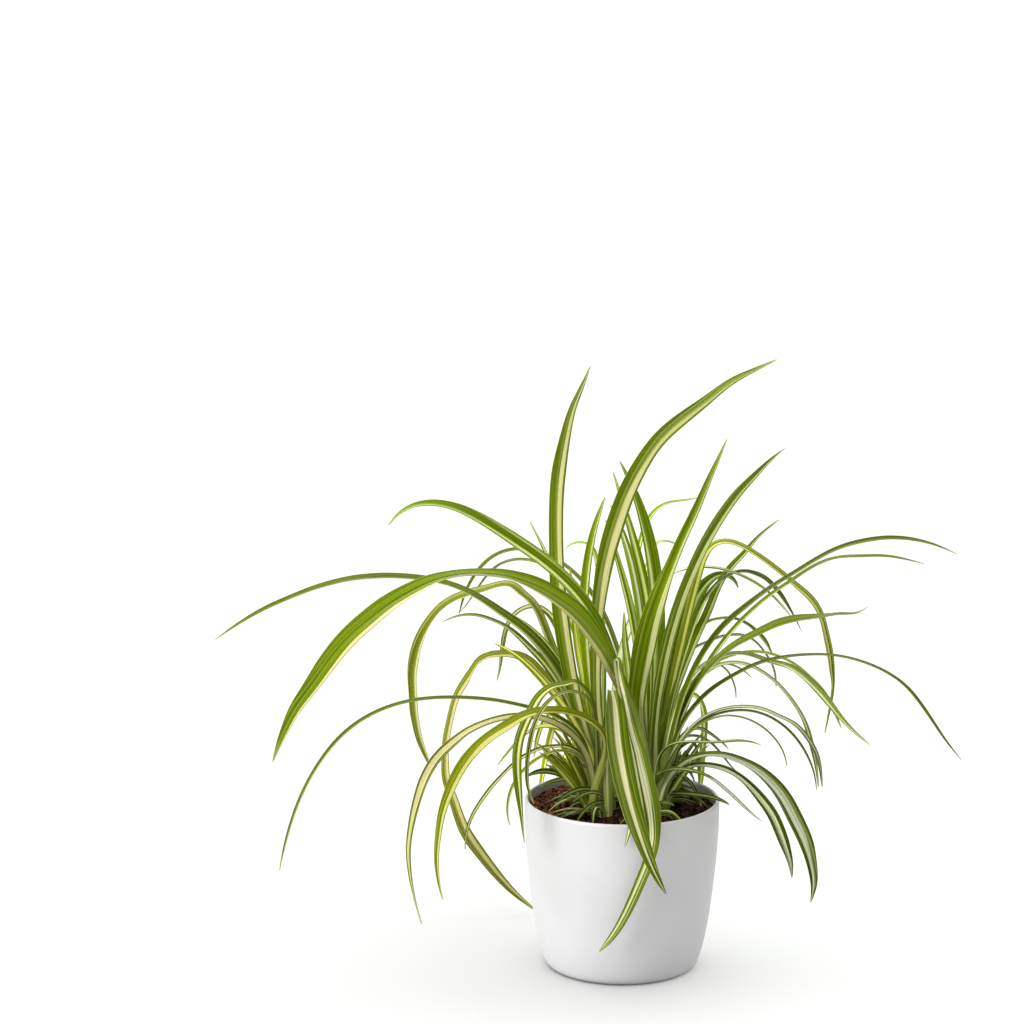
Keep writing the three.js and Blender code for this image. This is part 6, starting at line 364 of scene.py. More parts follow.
        (('bright', 0.1, 0.34, 0.6, 0.3, 0.9, (0.95, 0.97, 1.15)), [(25.3, 17.0, 109.8, 2.70, 1.00, -0.00, -0.01), (25.9, 17.9, 132.8, 5.15, 1.00, -0.04, -0.05), (29.6, 21.2, 164.8, 5.57, 0.88, -0.47, -0.05), (33.1, 25.2, 183.7, 6.17, 0.78, -0.62, -0.01), (38.8, 32.2, 208.8, 7.27, 0.74, -0.67, -0.01), (43.7, 36.2, 229.3, 7.44, 0.71, -0.70, -0.06), (46.7, 37.4, 241.5, 7.49, 0.68, -0.72, -0.12), (51.6, 37.9, 260.8, 7.08, 0.65, -0.75, -0.14), (55.0, 38.8, 270.8, 7.49, 0.53, -0.84, -0.15), (58.8, 39.7, 276.4, 7.93, 0.38, -0.91, -0.18), (61.2, 40.2, 278.3, 7.71, 0.28, -0.94, -0.20), (65.5, 41.0, 279.8, 7.76, 0.20, -0.96, -0.21), (72.0, 42.3, 279.2, 8.67, 0.14, -0.96, -0.23), (78.2, 43.6, 276.7, 8.68, 0.08, -0.96, -0.25), (87.1, 45.6, 271.2, 8.57, 0.03, -0.96, -0.27), (98.3, 48.2, 262.8, 8.46, -0.02, -0.96, -0.29), (107.4, 50.5, 255.1, 8.36, -0.08, -0.95, -0.30), (116.6, 52.8, 246.9, 8.24, -0.17, -0.93, -0.32), (126.0, 55.2, 237.9, 8.11, -0.30, -0.89, -0.35), (132.5, 57.2, 227.2, 7.59, -0.42, -0.84, -0.35), (136.2, 58.9, 214.9, 7.12, -0.54, -0.78, -0.33), (138.7, 60.2, 204.3, 6.71, -0.63, -0.72, -0.29), (140.4, 61.3, 195.6, 6.21, -0.69, -0.69, -0.22), (141.5, 62.1, 186.7, 5.17, -0.72, -0.68, -0.14), (142.4, 62.8, 177.4, 3.29, -0.67, -0.74, -0.04), (141.9, 63.5, 168.8, 2.65, -0.80, -0.60, 0.07), (137.8, 64.0, 142.7, 0.80, -0.87, -0.47, 0.12)]),
    ]),
    ("leaf_upright_9", "leaf_dark", [
        (('dark', 0.35, 0.36, 0.5, 0.3, 1.58, (1.03, 0.97, 1.15)), [(22.7, 13.2, 109.8, 2.36, 1.00, -0.01, -0.05), (24.0, 14.1, 133.4, 4.51, 0.97, -0.22, -0.09), (26.3, 14.2, 148.0, 4.58, 0.86, -0.50, -0.12), (29.0, 14.8, 160.6, 5.15, 0.81, -0.58, -0.13), (35.6, 18.5, 182.8, 6.09, 0.78, -0.62, -0.11), (45.4, 28.1, 208.2, 6.94, 0.78, -0.62, -0.08), (50.2, 34.5, 218.5, 7.11, 0.79, -0.61, -0.06), (57.7, 46.0, 232.2, 7.10, 0.77, -0.63, -0.06), (65.3, 55.9, 248.0, 6.25, 0.72, -0.69, -0.05), (73.2, 60.6, 259.1, 5.68, 0.71, -0.69, -0.13), (81.3, 64.3, 267.3, 4.51, 0.69, -0.68, -0.25), (89.0, 68.1, 276.0, 3.21, 0.58, -0.77, -0.28), (97.3, 70.6, 283.6, 2.00, 0.53, -0.75, -0.40), (105.1, 71.8, 289.7, 0.85, 0.53, -0.68, -0.52)]),
    ]),
    ("leaf_upright_10", "leaf_dark", [
        (('dark', 0.1, 0.3, 0.3, 0.3, 1.15, (0.95, 1.03, 1.15)), [(21.3, 18.6, 109.8, 3.04, 1.00, -0.04, -0.09), (23.1, 20.3, 130.0, 5.64, 0.98, -0.14, -0.10), (24.9, 21.3, 142.6, 6.55, 0.96, -0.26, -0.12), (27.7, 23.3, 158.6, 7.33, 0.93, -0.36, -0.11), (30.9, 27.2, 173.8, 8.86, 0.92, -0.37, -0.09), (35.1, 34.3, 191.5, 10.11, 0.93, -0.36, -0.06), (40.0, 44.5, 211.8, 11.11, 0.93, -0.36, -0.06), (43.9, 52.2, 225.2, 11.70, 0.91, -0.40, -0.10), (48.3, 58.3, 235.0, 12.02, 0.87, -0.47, -0.17), (52.4, 62.5, 241.5, 12.38, 0.81, -0.53, -0.25), (56.4, 65.6, 246.2, 11.97, 0.73, -0.60, -0.32), (59.9, 67.8, 249.0, 11.26, 0.62, -0.67, -0.41), (63.8, 69.6, 250.8, 9.94, 0.43, -0.74, -0.51), (68.0, 71.2, 250.9, 7.88, 0.18, -0.79, -0.59), (72.0, 72.6, 249.4, 5.52, -0.13, -0.78, -0.61), (75.3, 73.5, 246.5, 3.35, -0.47, -0.71, -0.52), (78.0, 74.2, 241.3, 1.08, -0.69, -0.57, -0.44)]),
    ]),
    ("leaf_upright_11", "leaf_cream", [
        (('cream', -0.2, 0.6, 0.8, 0.3, 2.7, (1.03, 0.97, 1.15)), [(-6.0, 14.2, 109.8, 2.36, 1.00, 0.02, 0.05), (-6.1, 14.7, 134.6, 4.59, 1.00, -0.05, 0.05), (-6.2, 15.5, 149.2, 4.39, 0.95, -0.32, 0.07), (-5.5, 18.9, 174.0, 4.64, 0.86, -0.51, 0.07), (-2.8, 26.1, 195.7, 5.48, 0.79, -0.61, 0.02), (2.3, 32.2, 215.4, 6.67, 0.70, -0.71, -0.03), (9.1, 37.1, 230.9, 9.11, 0.59, -0.80, -0.08), (15.7, 39.9, 241.0, 10.79, 0.44, -0.89, -0.14), (23.5, 41.6, 249.7, 10.70, 0.23, -0.97, -0.09), (30.9, 42.9, 256.6, 9.39, 0.10, -0.99, -0.00), (42.5, 44.0, 261.0, 7.62, 0.05, -0.99, 0.09), (52.9, 44.4, 262.2, 7.69, 0.06, -0.99, 0.12), (64.8, 43.4, 261.3, 7.68, 0.09, -0.99, 0.11), (80.1, 41.1, 256.6, 7.65, 0.14, -0.99, 0.06), (95.3, 40.1, 247.6, 6.56, 0.15, -0.99, 0.01), (105.3, 38.8, 238.2, 4.83, 0.02, -1.00, -0.08), (114.2, 36.5, 227.9, 1.19, -0.24, -0.93, -0.27)]),
    ]),
    ("leaf_upright_12", "leaf_dark", [
        (('dark', 0.0, 0.3, 0.3, 0.4, 1.2, (1.03, 1.03, 1.0)), [(23.8, 11.1, 109.8, 2.36, 1.00, -0.03, -0.08), (26.1, 11.2, 136.0, 4.60, 0.95, -0.30, -0.10), (29.8, 11.2, 159.7, 3.69, 0.57, -0.82, -0.04), (34.8, 10.9, 183.2, 4.76, 0.47, -0.88, 0.03), (40.9, 15.6, 204.9, 5.61, 0.44, -0.89, 0.10), (47.2, 24.7, 223.4, 5.97, 0.44, -0.88, 0.17), (52.8, 31.9, 236.8, 6.57, 0.45, -0.86, 0.26), (59.8, 40.1, 247.2, 8.04, 0.44, -0.85, 0.30), (68.4, 47.3, 254.1, 8.61, 0.41, -0.86, 0.30), (75.9, 51.8, 256.9, 10.12, 0.40, -0.88, 0.27), (82.3, 54.9, 256.8, 11.55, 0.42, -0.89, 0.19), (88.0, 57.7, 254.7, 12.04, 0.43, -0.90, 0.01), (94.5, 61.4, 250.8, 11.28, 0.35, -0.92, -0.18), (100.7, 65.6, 244.4, 9.49, 0.15, -0.93, -0.34), (108.3, 70.7, 234.0, 7.30, -0.01, -0.93, -0.37), (116.6, 75.4, 220.5, 3.93, 0.09, -0.98, -0.19), (122.0, 77.2, 209.7, 0.80, 0.01, -0.99, -0.16)]),
    ]),
    ("leaves_back_right_arching", "leaf_dark", [
        (('olive_deep', 0.1, 0.3, 0.4, 0.4, 2.65, (1.03, 0.97, 1.0)), [(18.5, 24.1, 109.8, 1.35, 0.99, 0.05, 0.13), (15.5, 23.4, 133.2, 3.03, 0.99, 0.04, 0.11), (14.1, 23.8, 147.8, 3.26, 0.96, -0.27, 0.10), (12.9, 26.0, 163.9, 3.33, 0.90, -0.42, 0.14), (12.2, 30.1, 179.5, 3.39, 0.85, -0.49, 0.19), (11.4, 38.1, 201.3, 3.71, 0.84, -0.48, 0.23), (10.3, 48.7, 224.1, 3.86, 0.85, -0.46, 0.27), (9.2, 62.4, 249.3, 3.96, 0.83, -0.48, 0.27), (10.4, 72.5, 266.1, 4.21, 0.80, -0.55, 0.22), (12.4, 78.2, 274.9, 4.51, 0.77, -0.61, 0.17), (15.0, 82.8, 281.9, 4.75, 0.72, -0.68, 0.12), (18.9, 87.4, 288.3, 4.93, 0.65, -0.76, 0.07), (23.1, 90.8, 292.3, 4.77, 0.56, -0.83, 0.01), (28.4, 93.9, 294.9, 4.52, 0.47, -0.88, -0.04), (34.4, 96.6, 296.1, 4.19, 0.37, -0.93, -0.07), (45.0, 100.0, 297.1, 2.83, 0.25, -0.96, -0.09), (52.0, 101.1, 298.7, 1.03, 0.19, -0.98, -0.09)]),
        (('olive_deep', -0.1, 0.3, 0.4, 0.4, 2.7, (1.03, 0.99, 1.0)), [(18.1, 24.0, 109.8, 1.35, 1.00, 0.01, 0.03), (17.5, 25.0, 131.0, 2.95, 1.00, -0.07, 0.03), (17.3, 26.9, 145.4, 3.36, 0.93, -0.37, 0.08), (17.1, 30.3, 159.3, 3.32, 0.85, -0.51, 0.17), (17.1, 36.0, 174.2, 3.25, 0.81, -0.54, 0.25), (16.8, 45.1, 191.5, 3.22, 0.81, -0.50, 0.32), (16.1, 56.8, 209.4, 3.21, 0.81, -0.46, 0.36), (14.6, 75.2, 233.5, 3.27, 0.81, -0.46, 0.37), (15.6, 87.7, 248.4, 3.54, 0.78, -0.54, 0.31), (19.6, 98.5, 261.1, 3.95, 0.72, -0.66, 0.22), (21.8, 101.5, 264.4, 4.40, 0.65, -0.75, 0.13), (25.0, 104.1, 266.3, 4.32, 0.57, -0.82, 0.05), (28.8, 106.5, 266.5, 4.21, 0.49, -0.87, -0.04), (33.9, 109.1, 264.7, 3.56, 0.35, -0.92, -0.16), (38.3, 110.9, 261.6, 2.45, 0.14, -0.96, -0.24), (41.6, 111.9, 257.7, 1.02, -0.04, -0.96, -0.28)]),
    ]),
    ("leaves_back_left_rising", "leaf_olive", [
        (('olive', -0.2, 0.42, 0.5, 0.4, 2.7, (1.03, 0.97, 1.0)), [(-12.6, 14.0, 109.8, 1.35, 1.00, 0.01, 0.01), (-12.7, 15.6, 119.3, 1.72, 1.00, 0.01, 0.01), (-12.8, 17.5, 133.6, 2.96, 0.98, 0.18, -0.01), (-12.8, 19.3, 142.3, 3.14, 0.95, 0.30, -0.07), (-12.8, 23.8, 155.9, 3.27, 0.90, 0.41, -0.15), (-12.8, 29.8, 170.9, 3.45, 0.86, 0.45, -0.22), (-13.0, 39.9, 191.6, 3.90, 0.86, 0.44, -0.25), (-13.8, 53.4, 212.5, 4.17, 0.86, 0.44, -0.26), (-16.0, 73.3, 237.8, 4.27, 0.85, 0.46, -0.26), (-19.4, 90.9, 259.3, 3.71, 0.81, 0.55, -0.20), (-20.9, 93.7, 262.9, 4.02, 0.73, 0.68, -0.08), (-22.7, 95.4, 264.8, 4.28, 0.60, 0.80, 0.03), (-27.8, 98.3, 266.4, 4.24, 0.46, 0.88, 0.11), (-31.9, 100.1, 266.2, 3.86, 0.33, 0.93, 0.19), (-35.8, 101.4, 264.8, 3.05, 0.17, 0.95, 0.26), (-38.9, 102.2, 262.3, 1.93, -0.06, 0.95, 0.30), (-40.2, 102.5, 260.1, 1.01, -0.21, 0.94, 0.28)]),
        (('olive', 0.25, 0.3, 0.4, 0.4, 2.7, (1.03, 0.98, 1.0)), [(-12.2, 14.0, 109.8, 1.35, 1.00, 0.04, 0.08), (-14.4, 17.4, 134.7, 3.19, 0.97, 0.24, 0.08), (-17.2, 20.9, 154.1, 3.67, 0.88, 0.47, 0.05), (-21.1, 26.0, 174.5, 4.11, 0.82, 0.57, 0.01), (-25.4, 32.5, 192.4, 4.48, 0.82, 0.57, -0.02), (-30.0, 40.0, 207.8, 4.56, 0.82, 0.56, -0.04), (-35.5, 49.5, 224.0, 4.61, 0.83, 0.56, -0.05), (-41.6, 59.9, 239.5, 4.48, 0.82, 0.57, -0.04), (-50.8, 73.8, 259.7, 3.70, 0.79, 0.61, 0.01), (-57.6, 81.0, 273.0, 2.29, 0.72, 0.68, 0.11), (-64.1, 84.1, 285.0, 0.85, 0.66, 0.73, 0.17)]),
        (('olive', -0.35, 0.3, 0.5, 0.5, 0.83, (1.03, 0.99, 1.0)), [(-12.2, 14.0, 109.8, 1.35, 0.99, 0.04, 0.09), (-13.4, 14.1, 123.1, 2.05, 0.99, 0.07, 0.11), (-15.3, 17.6, 136.8, 3.09, 0.97, 0.21, 0.11), (-18.5, 21.1, 157.9, 3.34, 0.84, 0.54, 0.04), (-20.8, 24.2, 171.8, 3.49, 0.76, 0.65, -0.04), (-23.4, 29.1, 186.9, 3.50, 0.71, 0.69, -0.13), (-28.5, 40.8, 214.7, 3.52, 0.71, 0.68, -0.16), (-33.0, 50.3, 233.5, 3.83, 0.67, 0.73, -0.16), (-38.5, 57.0, 244.8, 4.47, 0.59, 0.79, -0.13), (-42.4, 60.5, 249.6, 4.93, 0.55, 0.83, -0.11), (-47.1, 64.1, 253.6, 5.11, 0.51, 0.85, -0.09), (-55.5, 69.5, 257.7, 5.41, 0.50, 0.87, -0.07), (-64.6, 74.9, 259.2, 5.72, 0.49, 0.87, -0.01), (-73.8, 80.4, 258.2, 6.04, 0.49, 0.87, 0.07), (-82.2, 85.8, 254.6, 6.33, 0.45, 0.87, 0.19), (-88.2, 90.2, 249.9, 6.26, 0.36, 0.88, 0.31), (-93.2, 94.3, 243.9, 5.22, 0.23, 0.90, 0.38), (-99.2, 99.5, 234.8, 3.77, 0.08, 0.91, 0.41), (-104.8, 103.6, 225.6, 2.56, 0.01, 0.93, 0.36), (-108.9, 105.6, 219.6, 1.84, -0.00, 0.96, 0.27), (-113.7, 106.7, 214.6, 1.01, 0.00, 0.98, 0.21)]),
    ]),
    ("leaf_right_1", "leaf_fresh", [
        (('fresh', 0.4, 0.3, 0.4, 0.4, 0.57, (1.03, 0.97, 1.0)), [(28.8, -7.5, 109.8, 2.34, 1.00, -0.02, -0.04), (29.5, -12.8, 133.7, 4.43, 0.99, -0.06, -0.08), (31.5, -16.1, 152.1, 4.51, 0.88, -0.44, -0.18), (36.0, -16.4, 174.2, 5.05, 0.60, -0.76, -0.24), (42.8, -16.8, 195.6, 7.05, 0.40, -0.88, -0.25), (49.9, -17.6, 211.4, 8.80, 0.23, -0.94, -0.23), (58.5, -20.0, 226.6, 9.99, 0.07, -0.97, -0.23), (68.0, -23.2, 239.4, 10.58, -0.04, -0.98, -0.21), (80.6, -27.1, 251.9, 10.85, -0.12, -0.98, -0.17), (93.6, -30.9, 263.7, 10.98, -0.19, -0.98, -0.10), (111.9, -35.9, 277.3, 9.72, -0.18, -0.97, -0.14), (133.3, -42.0, 292.0, 8.42, -0.17, -0.97, -0.19), (142.6, -44.7, 296.6, 8.44, -0.19, -0.96, -0.19), (152.2, -47.6, 300.0, 8.28, -0.21, -0.96, -0.17), (167.4, -51.7, 303.5, 7.20, -0.23, -0.96, -0.14), (182.9, -55.6, 304.0, 5.90, -0.23, -0.97, -0.13), (198.3, -58.7, 301.5, 3.45, -0.18, -0.97, -0.13), (213.2, -60.3, 295.9, 0.97, -0.16, -0.97, -0.15)]),
    ]),
    ("leaf_right_2", "leaf_fresh", [
        (('fresh', 0.2, 0.34, 0.5, 0.4, 1.09, (1.03, 0.97, 1.15)), [(28.7, -3.3, 109.8, 1.34, 1.00, -0.03, -0.03), (29.2, -2.6, 118.6, 1.68, 1.00, -0.04, -0.05), (30.5, -0.0, 130.0, 3.10, 0.99, -0.07, -0.10), (32.2, 0.3, 140.3, 3.79, 0.93, -0.34, -0.16), (37.7, -0.1, 162.7, 4.09, 0.64, -0.75, -0.18), (44.9, 0.1, 182.8, 5.08, 0.48, -0.86, -0.17), (53.4, 0.9, 200.3, 6.35, 0.35, -0.92, -0.14), (62.7, 1.6, 215.5, 6.59, 0.28, -0.95, -0.13), (73.4, 2.4, 229.6, 6.74, 0.22, -0.97, -0.11), (85.7, 3.5, 242.5, 6.91, 0.17, -0.98, -0.08), (99.3, 4.7, 253.9, 7.07, 0.13, -0.99, -0.06), (111.9, 5.8, 262.6, 7.20, 0.11, -0.99, -0.04), (125.4, 7.4, 271.4, 7.34, 0.08, -1.00, 0.01), (140.7, 8.8, 277.2, 7.35, 0.06, -0.99, 0.10), (156.6, 9.8, 278.1, 6.18, 0.07, -1.00, 0.01), (170.9, 10.8, 278.2, 5.28, 0.06, -1.00, 0.00), (181.5, 11.4, 276.9, 4.08, 0.04, -1.00, -0.01), (198.8, 12.0, 273.0, 1.02, 0.03, -1.00, -0.02)]),
    ]),
    ("leaf_right_3", "leaf_fresh", [
        (('fresh', 0.55, 0.34, 0.4, 0.4, 0.81, (1.03, 0.97, 1.15)), [(24.7, -8.9, 109.8, 2.34, 0.99, -0.05, -0.09), (25.6, -8.9, 120.0, 3.04, 0.99, -0.08, -0.13), (29.2, -11.2, 141.3, 4.94, 0.85, -0.48, -0.21), (34.4, -14.5, 162.0, 5.60, 0.59, -0.76, -0.26), (39.9, -16.2, 178.2, 7.80, 0.39, -0.87, -0.30), (45.4, -18.9, 190.9, 9.02, 0.22, -0.92, -0.32), (51.2, -21.9, 201.5, 10.07, 0.09, -0.94, -0.31), (57.1, -24.8, 210.0, 10.90, -0.01, -0.96, -0.29), (64.9, -28.0, 218.9, 11.68, -0.08, -0.97, -0.25), (73.7, -31.1, 226.7, 12.64, -0.14, -0.97, -0.20), (82.0, -33.9, 232.1, 13.08, -0.17, -0.96, -0.20), (91.9, -37.3, 238.0, 13.19, -0.19, -0.95, -0.23), (100.5, -40.4, 242.8, 12.89, -0.21, -0.94, -0.26), (114.6, -45.3, 248.0, 11.66, -0.28, -0.95, -0.13), (129.0, -49.9, 251.5, 9.35, -0.28, -0.96, 0.06), (138.8, -52.1, 253.8, 6.75, -0.23, -0.97, 0.12), (148.8, -54.0, 254.8, 3.11, -0.14, -0.98, -0.11), (153.4, -54.4, 256.6, 1.83, -0.02, -0.98, -0.20), (157.4, -54.6, 259.5, 0.97, 0.07, -0.96, -0.26)]),
    ]),
    ("leaf_right_4", "leaf_fresh", [
        (('grey', 0.0, 0.34, 0.5, 0.4, 2.17, (1.03, 0.97, 1.15)), [(25.2, -4.7, 109.8, 2.34, 0.99, -0.04, -0.08), (26.6, -4.1, 122.6, 3.43, 0.99, -0.07, -0.09), (28.2, -1.5, 135.4, 4.57, 0.95, -0.31, -0.08), (29.0, -1.3, 142.2, 4.35, 0.86, -0.49, -0.16), (32.6, -4.3, 164.9, 5.22, 0.55, -0.80, -0.25), (37.5, -5.0, 181.5, 7.12, 0.32, -0.91, -0.26), (43.2, -6.1, 194.2, 7.57, 0.11, -0.96, -0.24), (49.1, -7.5, 203.0, 8.02, -0.06, -0.98, -0.19), (56.9, -9.2, 210.2, 8.37, -0.18, -0.98, -0.08), (64.6, -11.0, 214.4, 8.47, -0.22, -0.98, 0.00), (74.2, -13.4, 217.1, 8.90, -0.22, -0.97, 0.09), (84.0, -16.3, 216.6, 9.55, -0.20, -0.97, 0.11), (95.5, -19.9, 213.3, 10.10, -0.21, -0.97, 0.09), (107.6, -23.2, 210.5, 10.60, -0.27, -0.96, 0.00), (119.3, -28.4, 203.7, 11.05, -0.34, -0.94, -0.06), (129.4, -34.2, 194.8, 10.17, -0.40, -0.91, -0.14), (148.5, -41.9, 174.5, 5.68, -0.29, -0.95, -0.11), (161.2, -43.5, 164.5, 0.94, -0.32, -0.92, -0.24)]),
    ]),
    ("leaf_right_5", "leaf_fresh", [
        (('fresh', 0.4, 0.3, 0.3, 0.4, 2.34, (1.03, 0.97, 1.15)), [(26.3, 3.4, 109.8, 1.34, 1.00, -0.05, -0.08), (26.9, 3.3, 117.3, 1.58, 0.99, -0.07, -0.10), (28.8, 2.3, 132.2, 3.23, 0.95, -0.27, -0.14), (30.2, 2.6, 141.2, 3.62, 0.84, -0.53, -0.13), (34.7, 4.4, 160.4, 4.07, 0.59, -0.81, -0.09), (40.8, 6.5, 177.3, 5.21, 0.43, -0.90, -0.07), (47.5, 8.3, 189.9, 5.72, 0.32, -0.95, -0.05), (54.2, 9.9, 198.2, 5.96, 0.23, -0.97, -0.02), (62.6, 11.6, 204.7, 6.22, 0.17, -0.98, 0.02), (72.4, 13.4, 208.9, 6.42, 0.16, -0.98, 0.05), (84.6, 15.6, 211.0, 6.60, 0.18, -0.98, 0.06), (97.0, 17.8, 209.5, 7.27, 0.20, -0.98, 0.05), (107.0, 19.8, 205.6, 7.72, 0.22, -0.98, 0.02), (115.9, 21.8, 200.0, 7.64, 0.19, -0.98, -0.06), (124.7, 24.1, 191.8, 7.44, 0.12, -0.98, -0.14), (132.7, 26.4, 182.7, 6.41, -0.10, -0.96, -0.26), (140.6, 28.6, 169.3, 3.84, -0.53, -0.77, -0.36), (146.9, 29.8, 155.6, 0.86, -0.56, -0.78, -0.29)]),
    ]),
    ("leaf_right_6", "leaf_dark", [
        (('dark', 0.55, 0.26, 0.3, 0.5, 0.55, (1.03, 1.01, 1.0)), [(27.6, -17.2, 109.8, 1.33, 0.99, -0.05, -0.11), (30.2, -20.4, 136.7, 3.03, 0.98, -0.14, -0.15), (34.0, -21.9, 157.3, 3.69, 0.82, -0.52, -0.26), (38.7, -21.9, 170.0, 4.23, 0.58, -0.72, -0.38), (45.8, -23.6, 181.8, 4.84, 0.32, -0.85, -0.43), (57.1, -26.9, 194.8, 6.10, 0.04, -0.93, -0.36), (70.6, -31.5, 205.6, 6.56, -0.18, -0.96, -0.22), (88.5, -37.8, 216.7, 6.63, -0.29, -0.95, -0.11), (105.5, -44.4, 223.0, 5.67, -0.35, -0.94, -0.03), (121.8, -50.9, 226.4, 5.59, -0.39, -0.92, 0.07), (138.1, -57.9, 227.5, 5.45, -0.40, -0.91, 0.11), (154.5, -65.4, 225.2, 5.28, -0.43, -0.90, 0.10), (168.1, -72.6, 220.8, 5.07, -0.46, -0.88, 0.11), (180.6, -80.1, 213.3, 4.86, -0.50, -0.86, 0.11), (190.4, -87.8, 203.0, 3.93, -0.56, -0.82, 0.06), (197.7, -93.8, 193.4, 3.26, -0.57, -0.82, 0.01), (204.3, -98.2, 184.3, 2.71, -0.50, -0.86, -0.03), (209.6, -100.3, 177.8, 2.13, -0.38, -0.92, -0.09), (215.5, -101.5, 171.0, 0.88, -0.32, -0.94, -0.12)]),
    ]),
    ("leaf_right_7", "leaf_fresh", [
        (('dark', 0.2, 0.3, 0.4, 0.4, 2.34, (0.99, 1.0, 1.1)), [(23.4, 19.9, 109.8, 1.35, 0.99, -0.04, -0.10), (24.3, 21.4, 130.7, 2.69, 0.96, -0.26, -0.11), (26.5, 23.9, 147.2, 3.07, 0.76, -0.65, -0.07), (29.1, 26.1, 161.6, 3.41, 0.70, -0.71, -0.00), (32.6, 30.1, 177.0, 3.75, 0.70, -0.71, 0.07), (36.6, 37.0, 193.1, 3.87, 0.70, -0.71, 0.11), (41.2, 43.4, 205.0, 4.25, 0.65, -0.75, 0.11), (47.3, 49.5, 214.1, 4.86, 0.59, -0.80, 0.09), (54.8, 54.9, 220.4, 5.08, 0.55, -0.83, 0.07), (63.0, 59.2, 222.7, 5.38, 0.52, -0.85, 0.03), (69.5, 62.5, 222.7, 5.72, 0.51, -0.86, -0.03), (75.7, 65.9, 221.5, 6.09, 0.48, -0.87, -0.14), (81.0, 69.2, 218.8, 6.29, 0.40, -0.88, -0.27), (85.8, 72.3, 215.1, 6.31, 0.26, -0.89, -0.38), (90.1, 75.2, 210.7, 6.01, 0.04, -0.89, -0.45), (99.2, 80.8, 198.8, 3.39, -0.31, -0.79, -0.53), (101.7, 81.8, 193.9, 2.08, -0.18, -0.89, -0.41), (104.7, 82.3, 191.2, 1.01, -0.12, -0.93, -0.35)]),
    ]),
    ("leaves_back_right_short", "leaf_fresh", [
        (('fresh', 0.0, 0.3, 0.4, 0.4, 0.65, (1.02, 0.97, 1.15)), [(22.9, 21.4, 109.8, 1.35, 0.98, -0.07, -0.16), (25.2, 23.0, 131.7, 2.79, 0.94, -0.32, -0.15), (27.9, 25.6, 145.9, 3.04, 0.75, -0.67, -0.02), (31.9, 31.3, 162.5, 3.35, 0.67, -0.73, 0.11), (37.2, 40.7, 182.9, 3.64, 0.66, -0.73, 0.17), (40.3, 46.3, 193.4, 3.92, 0.62, -0.76, 0.18), (43.9, 50.5, 200.1, 4.60, 0.57, -0.81, 0.17), (50.3, 54.9, 204.7, 5.03, 0.53, -0.83, 0.15), (58.4, 59.3, 207.2, 5.25, 0.53, -0.84, 0.14), (67.1, 65.0, 209.3, 5.53, 0.55, -0.83, 0.10), (75.5, 70.9, 209.1, 5.88, 0.57, -0.82, 0.02), (82.3, 75.9, 207.4, 5.86, 0.55, -0.82, -0.14), (90.6, 82.5, 201.4, 5.45, 0.43, -0.84, -0.34), (96.3, 88.8, 193.5, 5.17, 0.28, -0.86, -0.43), (101.2, 94.3, 184.7, 3.76, -0.02, -0.87, -0.49), (104.5, 98.6, 175.6, 2.54, -0.46, -0.80, -0.38), (105.8, 101.0, 165.2, 0.80, -0.78, -0.58, -0.24)]),
        (('dark', 0.0, 0.24, 0.3, 0.4, 2.7, (1.03, 0.97, 1.06)), [(22.2, 21.4, 109.8, 1.02, 0.94, -0.16, -0.30), (27.1, 22.4, 124.5, 1.79, 0.89, -0.38, -0.25), (30.3, 23.9, 134.7, 2.46, 0.78, -0.61, -0.11), (33.1, 26.3, 144.5, 2.54, 0.68, -0.73, 0.02), (36.4, 30.3, 155.4, 2.61, 0.66, -0.74, 0.09), (39.7, 34.5, 164.2, 2.68, 0.66, -0.74, 0.13), (42.8, 38.8, 170.9, 2.78, 0.67, -0.72, 0.16), (47.2, 44.7, 178.2, 2.92, 0.67, -0.72, 0.17), (52.4, 51.1, 184.7, 3.18, 0.66, -0.73, 0.16), (56.6, 55.5, 188.2, 3.35, 0.65, -0.75, 0.13), (60.0, 58.7, 189.9, 3.48, 0.64, -0.77, 0.09), (63.7, 61.8, 190.8, 3.70, 0.62, -0.79, 0.04), (68.9, 65.7, 190.3, 4.00, 0.57, -0.82, -0.06), (73.9, 69.2, 188.6, 4.13, 0.49, -0.86, -0.14), (78.6, 72.1, 186.0, 3.66, 0.38, -0.90, -0.20), (83.8, 74.7, 182.1, 2.61, 0.19, -0.95, -0.24), (88.2, 76.0, 177.8, 1.03, 0.05, -0.96, -0.26)]),
        (('dark', 0.0, 0.24, 0.3, 0.4, 2.7, (1.03, 0.97, 1.15)), [(22.5, 21.4, 109.8, 1.01, 0.98, -0.09, -0.17), (24.8, 22.6, 122.8, 1.59, 0.97, -0.14, -0.18), (27.6, 25.1, 134.8, 2.39, 0.85, -0.53, -0.07), (30.2, 28.6, 144.4, 2.52, 0.74, -0.67, 0.06), (33.3, 33.2, 153.2, 2.60, 0.69, -0.70, 0.16), (37.9, 40.6, 163.9, 2.72, 0.70, -0.69, 0.19), (44.1, 50.2, 174.5, 2.86, 0.70, -0.68, 0.20), (49.7, 58.1, 181.8, 3.14, 0.69, -0.70, 0.19), (55.8, 65.1, 186.4, 3.42, 0.68, -0.72, 0.13), (60.5, 69.6, 187.9, 3.65, 0.68, -0.74, 0.04), (64.2, 72.9, 187.6, 4.04, 0.67, -0.74, -0.08), (67.3, 76.2, 185.9, 4.61, 0.61, -0.75, -0.23), (69.9, 79.2, 183.2, 4.76, 0.47, -0.79, -0.39), (72.8, 83.0, 178.7, 4.04, 0.19, -0.84, -0.51), (75.4, 86.9, 172.5, 2.80, -0.17, -0.84, -0.52), (77.2, 89.8, 166.3, 1.81, -0.51, -0.77, -0.38), (78.0, 91.6, 159.7, 0.80, -0.73, -0.63, -0.27)]),
